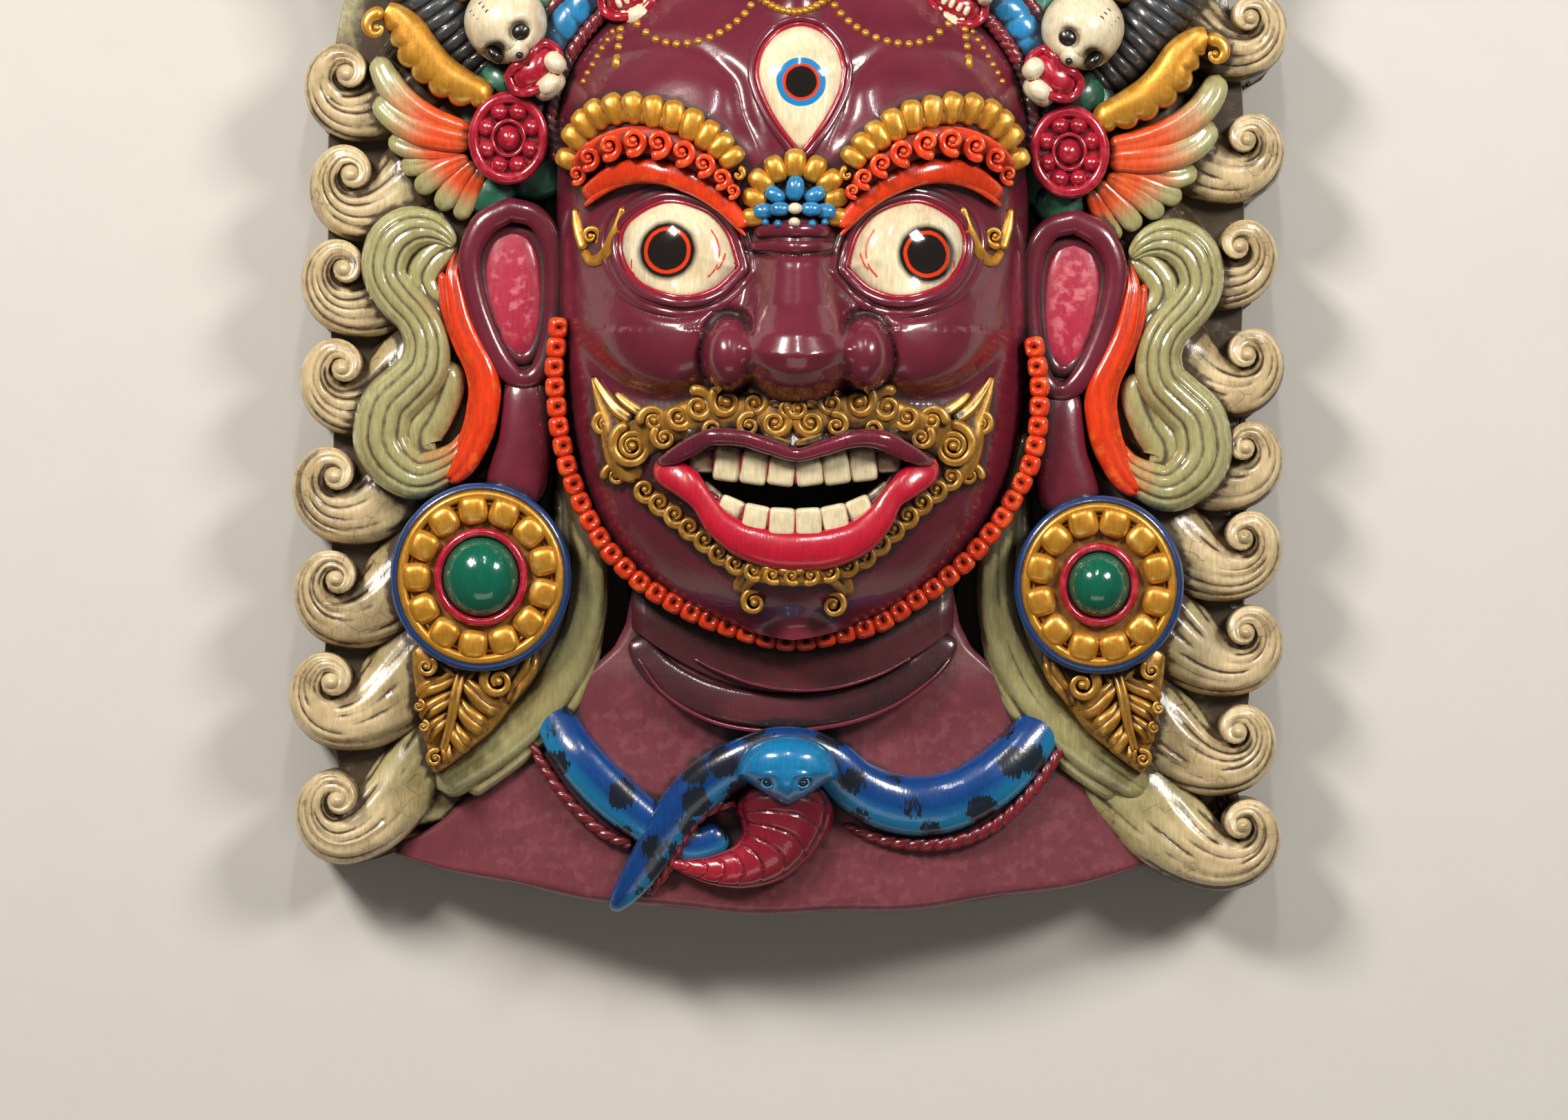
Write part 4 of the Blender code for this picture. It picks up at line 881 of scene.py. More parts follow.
@dataclass
class Head:
    """The face: brow muscles, nose, cheeks and chin over a round-topped head."""

    half_width: float = 157.0
    top: float = 187.0
    chin: float = -273.0
    edge_z: float = 92.0
    front_z: float = 178.0
    centre_y: float = -40.0
    dome_drop: float = 117.0
    spokes: int = 400
    rings: int = 124
    angles: Array = field(default_factory=lambda: np.zeros(0))
    radii: Array = field(default_factory=lambda: np.zeros(0))

    def __post_init__(self) -> None:
        """Works out the outline's reach at each angle."""
        dome_y = self.top - self.dome_drop
        jaw = dome_y - self.chin
        around = np.radians(np.arange(0, 180.1, 3))
        arc = np.column_stack(
            [self.half_width * np.cos(around), dome_y + self.dome_drop * np.sin(around)])
        share = np.concatenate([np.linspace(0.02, 0.9, 44), np.linspace(0.91, 1.0, 24)])
        width = self.half_width * np.maximum(0.0, 1 - share**5.8) ** 0.714
        side = np.column_stack([width, dome_y - jaw * share])
        outline = np.vstack([arc, side * (-1, 1), side[::-1]])
        x, y = outline[:, 0], outline[:, 1] - self.centre_y
        angle = np.arctan2(y, x)
        order = np.argsort(angle)
        self.angles, self.radii = angle[order], np.hypot(x, y)[order]

    def reach(self, angle: Array) -> Array:
        """Distance from the head's middle to its outline."""
        return np.interp(angle, self.angles, self.radii, period=2 * math.pi)

    def at(self, x: Any, y: Any) -> Array:
        """Height of the face under places on it.

        Args:
            x: Places across.
            y: Places up.

        Returns:
            Heights in millimetres.
        """
        x = np.asarray(x, float) - MIDDLE
        y = np.asarray(y, float)
        rise = y - self.centre_y
        share = np.hypot(x, rise) / self.reach(np.arctan2(rise, x))
        return self.height(x, y, np.clip(share, 0, 1))

    def height(self, x: Array, y: Array, share: Array) -> Array:
        """The face's relief.

        Args:
            x: Places across, from the middle.
            y: Places up.
            share: 0 in the middle of the head and 1 on its outline.

        Returns:
            Heights in millimetres.
        """
        side = np.abs(x)
        edge = self.edge_z + 18.0 * np.clip((-150.0 - y) / 100.0, 0.0, 1.0)
        z = edge + (self.front_z - edge) * np.clip(1 - share**2.5, 0.0, 1.0) ** 0.6
        # The forehead, the brows and the bulge over each.
        z = z + 7.0 * bump(x, y, 0, 105, 90, 40)
        z = z + 8.0 * bump(side, y, 82, 58, 62, 20)
        z = z + 5.5 * bump(side, y, 78, 88, 36, 24, 2.0)
        # The sockets, and the eyes that fill them.
        z = z - 12.0 * bump(side, y, 82, -14, 46, 36, 1.4)
        z = z + 9.0 * bump(side, y, 84, -14, 44, 37, 4.0)
        # The cheeks, steeper below than above.
        wide_x = np.where(side < 84, 46.0, 56.0)
        wide_y = np.where(y > -66, 46.0, 43.0)
        steep = np.where(y > -66, 1.15, 1.9)
        z = z + 21.0 * np.exp(-((((side - 84) / wide_x) ** 2 + ((y + 66) / wide_y) ** 2) ** steep))
        # The mouth's mound under the nose, and the chin.
        z = z + 24.0 * bump(x, y, 0, -176, 92, 60, 1.5) * (1 - 0.25 * bump(x, y, 0, -122, 60, 16))
        z = z + 24.0 * bump(x, y, 0, -240, 56, 34, 1.3)
        # The nose: its ridge, its sides and its wings.
        off = x - 3.0
        wide = np.abs(off)
        lifted = y - 12.0 * (wide / 40.0) ** 2 * np.clip((-66.0 - y) / 26.0, 0, 1)
        ridge = np.interp(lifted, (-129, -121, -113, -104, -94, -84, -70, -50, -25, 0, 16, 30),
            (150, 177, 199, 215, 226, 231, 227, 213, 201, 193, 184, 150))
        reach = np.interp(y, (-120, -100, -84, -66, -48, -20, 10), (34, 41, 40, 34, 30, 27, 26))
        nose = ridge - 25.0 * (wide / reach) ** 2.1
        z = smooth_max(z, nose, 12.0)
        wing = 186.0 + 27.0 * cap(wide, y, 45.5, -83, 19, 25)
        z = smooth_max(z, np.where(wing > 187, wing, 0.0), 13.0)
        # The cuts.
        z = z - 5.0 * groove(wide, y, WING_CREASE, 3.6)
        z = z - 4.2 * groove(side, y, FURROW, 6.5) - 2.4 * groove(side, y, FURROW_TOP, 7.0)
        z = z - 7.0 * groove(side, y, SMILE_LINE, 7.5)
        z = z - 2.2 * groove(side, y, EYE_BAG, 3.0)
        z = z - 3.0 * groove(side, y, NOSE_FOLD, 2.2)
        return z

    def build(self) -> Form:
        """Carves the face as a curved board; the mouth is pierced afterwards.

        Returns:
            The piece.
        """
        form = Form("face", Finishes.FACE, 60.0)
        spokes = np.linspace(-math.pi, math.pi, self.spokes, endpoint=False)
        reach = self.reach(spokes)
        shares = np.concatenate(
            [np.linspace(0.006, 0.9, self.rings - 14), np.linspace(0.908, 1.0, 14)])
        front = []
        for share in shares:
            x, y = share * reach * np.cos(spokes), self.centre_y + share * reach * np.sin(spokes)
            z = self.height(x, y, np.full_like(x, share))
            front.append(np.column_stack([x + MIDDLE, y, z]))
        brim = [np.column_stack([front[-1][:, :2], front[-1][:, 2] * 0 + z])
            for z in (86.0, 60.0, 30.0)]
        inner = []
        for share in (0.965, 0.93, 0.85, 0.7, 0.5, 0.3, 0.1):
            x, y = share * reach * np.cos(spokes), self.centre_y + share * reach * np.sin(spokes)
            smooth = self.edge_z + (self.front_z - self.edge_z) * (1 - share**2.5) ** 0.6
            low = 30.0 if share > 0.96 else smooth - 22.0
            inner.append(np.column_stack([x + MIDDLE, y, np.full_like(x, low)]))
        form.loft(np.array(front + brim + inner))
        return form


@dataclass(frozen=True)
class StrandCut:
    """Broken chisel lines that follow a lock or a strand."""

    seed: int
    lines: int = 5
    depth: float = 2.0
    width: float = 1.15
    spread: float = 0.82

    def __call__(self, walked: Array, side: Array, half: Array) -> Array:
        """Depth of the lines.

        Args:
            walked: Distance along.
            side: Place across from -1 to 1.
            half: Half width.

        Returns:
            Depth in millimetres.
        """
        rng = np.random.default_rng(self.seed)
        depth = np.zeros(np.broadcast_shapes(walked.shape, side.shape))
        for place in np.linspace(-self.spread, self.spread, self.lines):
            middle = place + rng.uniform(-0.07, 0.07)
            wander = rng.uniform(0.02,
                0.06) * np.sin(walked / rng.uniform(16, 34) + rng.uniform(0, 6))
            near = np.exp(-(((side - middle - wander) * half / self.width) ** 2))
            start = rng.uniform(-30, 14)
            open_ = np.zeros_like(walked)
            while start < float(walked.max()):
                length = rng.uniform(46, 130)
                inside = np.clip(np.minimum(walked - start, start + length - walked) / 9.0, 0, 1)
                open_ = np.maximum(open_, inside * rng.uniform(0.7, 1.0))
                start += length + rng.uniform(5, 22)
            depth = depth + near * open_
        return self.depth * np.minimum(depth, 1.2) * np.clip(half / 13.0, 0.25, 1.0)


def band_cut(bands: int, depth: float = 2.6) -> Cut:
    """Rounded bands side by side, with a groove between each pair.

    Args:
        bands: How many bands.
        depth: Depth of the grooves.

    Returns:
        The cut.
    """

    def cut(walked: Array, side: Array, half: Array) -> Array:
        """Depth that leaves the bands rounded.

        Args:
            walked: Distance along.
            side: Place across from -1 to 1.
            half: Half width.

        Returns:
            Depth in millimetres.
        """
        place = (side * 0.5 + 0.5) * bands
        off = np.abs(place - np.round(place))
        edge = (np.round(place) > 0.5) & (np.round(place) < bands - 0.5)
        groove_ = np.clip(1 - off / 0.3, 0, 1) ** 1.5 * edge
        return depth * groove_ * np.clip(half / 10.0, 0.3, 1.0) + 0 * walked

    return cut


def rope_cut(pitch: float = 7.0, depth: float = 2.0, slant: float = 0.55) -> Cut:
    """Slanting notches that turn a strip to a rope.

    Args:
        pitch: Distance between notches.
        depth: Depth of a notch.
        slant: How far a notch leans across the strip.

    Returns:
        The cut.
    """

    def cut(walked: Array, side: Array, half: Array) -> Array:
        """Depth of the notches."""
        phase = walked / pitch + slant * side
        return depth * np.clip(1 - np.abs(phase - np.round(phase)) / 0.24, 0, 1) ** 1.2 + 0 * half

    return cut


def vein_cut(depth: float = 1.2) -> Cut:
    """A single groove down the middle."""
    return lambda walked, side, half: depth * np.exp(-((side * half / 1.2) ** 2)) + 0 * walked


@dataclass
class Hair:
    """Locks that run out into volutes on both sides and close over the crown."""

    radius: float = 38.4
    belly: float = 8.6
    shrink: float = 0.24
    turns: float = 1.3
    crest: float = 80.0
    tail_z: float = 62.0
    right_size: float = 0.96
    bed_z: float = 57.0
    left_eyes: Rows = ((-293, 104), (-290, 37), (-295, -26), (-296, -92), (-301, -164),
        (-300, -233), (-303, -301), (-299, -380))
    right_eyes: Rows = ((309, 141), (307, 60), (302, -11), (307, -83), (306, -145), (305, -205),
        (306, -268), (301, -334), (304, -397))

    def curl(self, eye: Sequence[float], size: float, sense: int, heading: float) -> Array:
        """Rows of a lock's volute.

        Args:
            eye: Its middle.
            size: Scale.
            sense: 1 for counter-clockwise.
            heading: Angle where it starts, in radians.

        Returns:
            Rows of x, y, half width and crest.
        """
        turn = np.linspace(0.0, self.turns * 2 * math.pi, 44)
        outer = size * self.radius * np.exp(-self.shrink * turn)
        inner = outer * math.exp(-self.shrink * 2 * math.pi)
        outer = outer + size * self.belly * np.maximum(0.0, 1 - turn / 1.2) ** 2
        reach, half = (outer + inner) / 2, np.maximum((outer - inner) / 2, 2.4)
        angle = heading + sense * turn
        crest = self.crest + 9.0 * np.minimum(1.0, turn / 5.0)
        return np.column_stack(
            [eye[0] + reach * np.cos(angle), eye[1] + reach * np.sin(angle), half, crest])

    def tail(self, sign: int, rise: float = 0.0) -> Rows:
        """A tail from the inner side, as offsets from the volute's eye.

        Args:
            sign: -1 on the left and 1 on the right.
            rise: How much higher it starts.

        Returns:
            Rows of x, y, half width and crest.
        """
        low = self.tail_z
        return ((sign * -132, 80, 20, low - 2 + 0.5 * rise),
            (sign * -106, 52, 34, low + 8 + 0.6 * rise),
            (sign * -78, 26, 37, low + 11 + 0.3 * rise), (sign * -54, 4, 34, low + 13 + 0.2 * rise),
            (sign * -36, -15, 27, low + 15), (sign * -18, -25.5, 22, low + 17))

    def lock(self, form: Form, eye: Sequence[float], tail: Rows, sense: int, heading: float,
            seed: int, size: float = 1.0, grain: int = 132) -> None:
        """Carves one lock, its strands cut in broken lines.

        Args:
            form: The piece it belongs to.
            eye: The volute's middle.
            tail: Offsets of its root from there.
            sense: 1 for counter-clockwise.
            heading: Angle where it winds in, in radians.
            seed: Seed of its strands.
            size: Scale.
            grain: Samples along it.
        """
        curl = self.curl(eye, size, sense, heading)
        root = [(eye[0] + tx, eye[1] + ty, half * size, z) for tx, ty, half, z in tail]
        rows = np.vstack([smooth_path(root + [tuple(curl[0])], 22)[:-1], curl])
        for _ in range(10):
            rows[8:34, :3] = (rows[7:33, :3] + 2 * rows[8:34, :3] + rows[9:35, :3]) / 4
        form.sweep(rows, grain, 42, 10.0, 0.62, StrandCut(seed, 6), ends=(True, False))
        form.dome((eye[0], eye[1], self.crest), (6.4 * size, 6.4 * size, 12), along=1.0)

    def build(self) -> None:
        """Carves both columns, the crown and the plank behind them."""
        left = Form("hair_left", Finishes.HAIR)
        for i, eye in enumerate(self.left_eyes):
            tail = self.tail(-1)
            if i == len(self.left_eyes) - 1:
                tail = ((104, 96, 10, 62), (84, 70, 20, 66), (62, 38, 24, 68), (42, 8, 24, 70),
                    (28, -12, 22, 73), (14, -23, 20, 77))
            self.lock(left, eye, tail, -1, math.radians(-90), 11 + i, 1.06)
        right = Form("hair_right", Finishes.HAIR)
        for i, eye in enumerate(self.right_eyes):
            self.lock(right, eye, self.tail(1), 1, math.radians(-90), 31 + i, self.right_size)
        crown = Form("hair_crown", Finishes.HAIR)
        for sign in (-1, 1):
            for i in range(5):
                lean = math.radians(22 + 14 * i)
                eye = (sign * 300.0 * math.cos(lean), 120 + 280.0 * math.sin(lean))
                c, s = math.cos(lean), math.sin(lean)
                tail = [(sign * (tx * c - ty * s), tx * s + ty * c, half, z) for tx, ty, half,
                    z in self.tail(1, 16.0)]
                heading = math.radians(-90) + lean
                heading = heading if sign > 0 else math.pi - heading
                self.lock(crown, eye, tail, sign, heading, 51 + i + 10 * sign, grain=96)
        flame = [(MIDDLE, 270, 24, 80), (MIDDLE, 330, 34, 90), (MIDDLE, 385, 32, 92),
            (MIDDLE, 425, 19, 88), (MIDDLE, 452, 6, 76)]
        crown.sweep(flame, 90, 46, 10.0, 0.62, StrandCut(77, 7), span=(0.2, 1.0))
        for sign in (-1, 1):
            eye = (MIDDLE + sign * 34, 392)
            tail = [(sign * -10, -110, 20, 60), (sign * 14, -70, 20, 70)]
            heading = math.radians(-20 if sign > 0 else -160)
            self.lock(crown, eye, tail, sign, heading, 81 + sign, 0.8, grain=90)
        bed = Form("hair_bed", Finishes.HAIR)
        for sign in (-1, 1):
            rows = [(sign * 262, -400, 28, self.bed_z), (sign * 245, -330, 66, self.bed_z),
                (sign * 232, -240, 74, self.bed_z), (sign * 220, -120, 84, self.bed_z),
                (sign * 212, 0, 96, self.bed_z), (sign * 190, 120, 112, self.bed_z),
                (sign * 140, 220, 112, self.bed_z), (sign * 70, 290, 100, self.bed_z)]
            bed.sweep(rows, 60, 20, 22.0, 0.2, span=(0, 0))
        bed.lathe((MIDDLE, 250), [(0.3, 4), (146, 4), (146, 48), (130, 56), (0.3, 57)], 0.87)
        strands = Form("neck_strands", Finishes.SAGE)
        paths = (((-151, -132, 4, 84), (-137, -182, 10, 90), (-131, -226, 13, 92),
            (-136, -268, 14, 92), (-158, -312, 15, 90), (-194, -346, 15, 86), (-232, -372, 12, 76)),
            ((-150, -150, 4, 76), (-147, -200, 8, 82), (-148, -244, 10, 82), (-160, -284, 11, 80),
            (-184, -318, 11, 78), (-214, -342, 9, 74), (-240, -360, 7, 70)), ((-122, -262, 2, 80),
            (-132, -292, 6, 84), (-152, -324, 8, 84), (-182, -352, 8, 80), (-212, -374, 7, 74)))
        for i, path in enumerate(paths):
            for sign in (-1, 1):
                rows = np.array(path, float) if sign < 0 else mirrored(path, 3.0)
                strands.sweep(rows, 90, 26, 20.0, 0.6, StrandCut(91 + 2 * i + sign, 3, 1.3))


@dataclass
class Sides:
    """Ears with their lobes, the orange flame strips and the sage ribbons."""

    drop: float = 8.0
    ear_z: float = 104.0
    ear_rim: Rows = ((-184, 13.5, 8.3), (-200.6, 4.1, 8.9), (-209.5, -11.5, 7.8),
        (-210.6, -27.2, 7.3), (-206.4, -48, 6.8), (-199.1, -68.9, 6.8), (-190.2, -87.2, 7.3),
        (-178.2, -99.2, 6.8), (-166.2, -96.6, 6.8), (-158.4, -79.3, 6.3), (-154.7, -55.9, 6.3),
        (-153.7, -29.8, 6.8), (-156.8, -6.3, 7.3), (-167.3, 8.8, 7.8), (-184, 13.5, 8.3))
    ribbon: Rows = ((-220, -11, 3.5, 94), (-229, -3, 9, 97), (-239, 1, 13, 99), (-251, 0, 16, 100),
        (-262, -8, 17, 100), (-267, -21, 16, 100), (-266, -33, 15, 100), (-258, -45, 15, 101),
        (-247, -57, 14.5, 102), (-241, -68, 15, 103), (-239, -80, 16, 103), (-242, -94, 17.5, 103),
        (-253, -106, 18.5, 102), (-264, -117, 19.5, 101), (-268, -130, 20, 101),
        (-268, -142, 20, 101), (-261, -154, 19, 101), (-247, -163, 17, 101),
        (-232, -160, 14.5, 100), (-217, -150, 11, 98), (-208, -134, 7, 96))
    flame: Rows = ((-218, -14, 2, 94), (-222, -28, 4.5, 100), (-220, -45, 7, 102),
        (-216, -62, 8, 103), (-209, -78, 8.5, 104), (-202, -92, 9, 105), (-199, -106, 9.5, 105),
        (-200, -118, 9.5, 105), (-203, -132, 9.5, 104), (-209, -146, 9, 103), (-216, -158, 8, 102),
        (-226, -168, 5, 99))

    def side(self, rows: Rows, sign: int) -> Array:
        """Rows on the left, or mirrored and a little lower on the right."""
        return np.array(rows, float) if sign < 0 else mirrored(rows, self.drop)

    def build(self) -> None:
        """Carves both sides."""
        ears = Form("ears", Finishes.FACE)
        hollows = Form("ear_hollows", Finishes.PINK)
        flames = Form("flame_strips", Finishes.FLAME)
        ribbons = Form("ribbons", Finishes.RIBBON, 46.0)
        pads = Form("ribbon_pads", Finishes.SAGE)
        for sign in (-1, 1):
            rim = self.side([(*row, self.ear_z) for row in self.ear_rim], sign)
            ears.sweep(rim, 130, 20, 40.0, 0.62, wrap=True)
            inner = rim.copy()
            middle = inner[:-1, :2].mean(axis=0)
            inner[:, :2] = middle + (inner[:, :2] - middle) * 0.76
            inner[:, 2], inner[:, 3] = 5.5, self.ear_z - 10
            ears.sweep(inner, 120, 12, 40.0, 0.6, wrap=True)
            back = self.side(((-182.9, -3.7, 12.5, 88), (-182.9, -27.2, 20.9, 88), (-181.3, -55.9,
                19.8, 88), (-176.7, -81.9, 14.6, 90), (-174.6, -100.7, 14.6, 94)), sign)
            ears.sweep(back, 40, 18, 30.0, 0.2)
            lobe = self.side(((-174.6, -92.4, 11.5, 97), (-173.5, -108, 15.1, 102),
                (-173, -123.7, 16.7, 104), (-174, -141.9, 17.7, 105), (-177.7, -160.2, 19.8, 105),
                (-182.9, -186.3, 21.9, 104)), sign)
            ears.sweep(lobe, 60, 30, 30.0, 0.34)
            x, y = self.side(((-181.3, -42.3),), sign)[0]
            hollows.dome((x, y + 1, 88), (22.0, 49, 8), turn=sign * -0.1, box=0.86, rings=18,
                spokes=44)
            flame = self.side(self.flame, sign)
            flames.sweep(flame, 90, 20, 40.0, 0.6, vein_cut(1.6))
            lace = flame[1:-1].copy()
            lace[:, 0] += sign * 7.0
            lace[:, 2], lace[:, 3] = lace[:, 2] * 0.6, lace[:, 3] - 6
            flames.sweep(lace, 80, 12, 40.0, 0.6)
            ribbons.sweep(self.side(self.ribbon, sign), 170, 54, 40.0, 0.66, band_cut(4, 1.9))
            inside = [(*row, 12.5, 94) for row in ((-218.8, -8.7), (-234, -17.9), (-242.2, -30.7),
                (-239.5, -42.2), (-232.2, -50), (-224.8, -62.8))]
            pads.sweep(self.side(inside, sign), 50, 24, 40.0, 0.6, band_cut(2, 1.6))
            inside = [(*row, 15, 94) for row in ((-229.4, -85.8), (-228.5, -104.1),
                (-235.8, -122.5), (-243.2, -135.3), (-242.2, -146.3), (-232.2, -148.2))]
            pads.sweep(self.side(inside, sign), 50, 24, 40.0, 0.6, band_cut(2, 1.6))


@dataclass
class EarDisc:
    """An ear disc: rims round a ring of bosses, a domed stone and an acanthus drop."""

    side: int
    x: float
    y: float
    radius: float
    oval: float
    count: int
    stone: float
    z: float = 118.0

    def ring(self, form: Form, radius: float, thick: float, z: float, tall: float = 1.0) -> None:
        """Lays a ring on the disc."""
        form.hoop((self.x, self.y), radius, thick, z, self.oval, tall=tall)

    def leaf(self, form: Form) -> None:
        """Carves the drop: scrolls and acanthus lobes over a plate that ends in a point.

        Args:
            form: The piece it belongs to.
        """

        def here(rows: Rows) -> Array:
            """Rows of the left drop, or mirrored under the right disc.

            Args:
                rows: Rows as measured on the left.

            Returns:
                The rows for this side.
            """
            rows = np.array(rows, float)
            if self.side > 0:
                left = (-203.2, -231.2)
                rows[:, 0] = self.x - (rows[:, 0] - left[0]) * 0.96
                rows[:, 1] = self.y + (rows[:, 1] - left[1]) * 0.96
            return rows

        plate = here(((-249, -281.5), (-247.8, -296.8), (-244.1, -318.2), (-239.8, -339.6),
            (-235.5, -358.6), (-231.8, -361.1), (-219.6, -353.1), (-208, -343.9), (-195.8, -333.5),
            (-183.5, -318.2), (-172.8, -302.9), (-163.6, -284.6), (-168.2, -275.4), (-204.9, -273),
            (-241.6, -275.4), (-249, -281.5)))
        outline = smooth_path(plate, 90)[:-1]
        centre = outline.mean(axis=0)
        rings = []
        for share, z in ((1.0, 30.0), (1.0, 90.0), (0.97, 94.0), (0.86, 96.0), (0.4, 96.5)):
            flat = centre + (outline - centre) * share
            rings.append(np.column_stack([flat, np.full(len(flat), z)]))
        form.loft(np.array(rings))
        lobes = (((-217.2, -293.8, 2.1, 101), (-227.6, -300.5, 4, 104), (-238.6, -304.8, 4.3, 104),
            (-245.3, -312.1, 2.4, 100)), ((-219.6, -307.8, 2.1, 101), (-228.8, -314, 4, 104),
            (-237.4, -319.5, 4, 104), (-242.2, -326.8, 2.4, 100)),
            ((-223.3, -321.9, 1.8, 101), (-230.6, -328, 3.4, 104), (-236.1, -333.5, 3.7, 103),
            (-238.6, -341.5, 2.1, 99)), ((-215.9, -297.4, 2.1, 102), (-208, -306.6, 4.6, 106),
            (-198.2, -315.8, 5.5, 106), (-189, -318.2, 3.7, 101)),
            ((-218.4, -312.1, 2.1, 102), (-212.9, -321.9, 4.6, 106), (-204.9, -329.2, 5.5, 106),
            (-198.2, -332.3, 3.7, 101)), ((-222.1, -326.8, 1.8, 101), (-219, -336, 4.3, 105),
            (-214.1, -342.7, 4.6, 104), (-209.8, -345.2, 2.8, 100)),
            ((-225.7, -340.3, 1.8, 101), (-226.3, -349.4, 3.1, 103), (-223.9, -354.9, 2.4, 100)),
            ((-214.1, -287.6, 2.4, 103), (-219.6, -307.8, 2.8, 107), (-223.3, -328, 2.4, 106),
            (-228.8, -348.2, 1.8, 103)), ((-232.5, -282.8, 3.7, 101), (-223.3, -290.7, 3.7, 104),
            (-217.2, -297.4, 2.4, 103)), ((-204.9, -284.6, 4.3, 101), (-211, -293.8, 3.7, 104),
            (-215.9, -302.9, 2.4, 103)), ((-168.2, -282.1, 3.7, 101), (-171.9, -293.8, 4.3, 103),
            (-180.5, -306, 3.7, 102), (-184.7, -315.2, 2.1, 99)))
        for rows in lobes:
            wide = here(rows)
            wide[:, 2] *= 1.3
            form.sweep(wide, 30, 16, 84.0, 0.4, vein_cut(1.3))
        s = self.side
        for row, size, heading, spin in ((((-239.8, -290.7),), 7.6, 60, -1),
            (((-191.5, -300.5),), 12.4, 120, 1), (((-233.7, -351.9),), 6.6, 60, 1),
            (((-244.7, -317),), 4.6, 90, -1), (((-241.6, -330.5),), 4.4, 90, -1)):
            x, y = here(row)[0]
            form.curl((x, y), size * 1.0, -spin * s, heading if s < 0 else 180 - heading, 110, 1.4,
                drop=16, count=48, ease=0.14)

    def build(self) -> None:
        """Carves the disc and its drop."""
        tag = "left" if self.side < 0 else "right"
        r, z, o = self.radius, self.z, self.oval
        gold = Form(f"ear_disc_{tag}", Finishes.GOLD)
        gold.lathe((self.x, self.y), [(0.3, 20), (r - 3, 20), (r - 3, 108), (r - 7, z - 6),
            (r - 12, z - 7), (0.3, z - 7)], o, 96)
        self.ring(gold, r - 7.4, 3.2, z - 3.4)
        self.ring(gold, r - 12.6, 1.2, z - 6.2)
        for i in range(self.count):
            a = 2 * math.pi * (i + 0.5) / self.count
            reach = 0.722 * r
            spot = (self.x + reach * math.cos(a), self.y + reach * o * math.sin(a), z - 5.5)
            size = 0.168 * r * 13 / self.count
            gold.dome(spot, (size, size, 7.6), a, 0.66, 16, 30)
        blue = Form(f"ear_disc_rim_{tag}", Finishes.RIM_BLUE, 60.0)
        edge = [(r - 4.6, 60), (r - 0.6, 60), (r, 108), (r + 0.2, z - 5), (r - 1.2, z - 1.6),
            (r - 3, z - 1), (r - 4.8, z - 3)]
        blue.lathe((self.x, self.y), edge, o, 110, wrap=True)
        red = Form(f"stone_collar_{tag}", Finishes.CRIMSON, 60.0)
        self.ring(red, self.stone + 2.6, 2.9, z - 2.6, 1.3)
        stone = Form(f"green_stone_{tag}", Finishes.GREEN, 60.0)
        profile = [(0.3, z - 12)] + [(self.stone * math.cos(a) + 0.3, z - 8 + 22 * math.sin(a))
            for a in np.linspace(0, 0.5 * math.pi, 18)]
        profile[1:1] = [(self.stone, z - 12)]
        stone.lathe((self.x, self.y), profile, o, 72)
        drop = Form(f"ear_drop_{tag}", Finishes.OLD_GOLD, 46.0)
        self.leaf(drop)


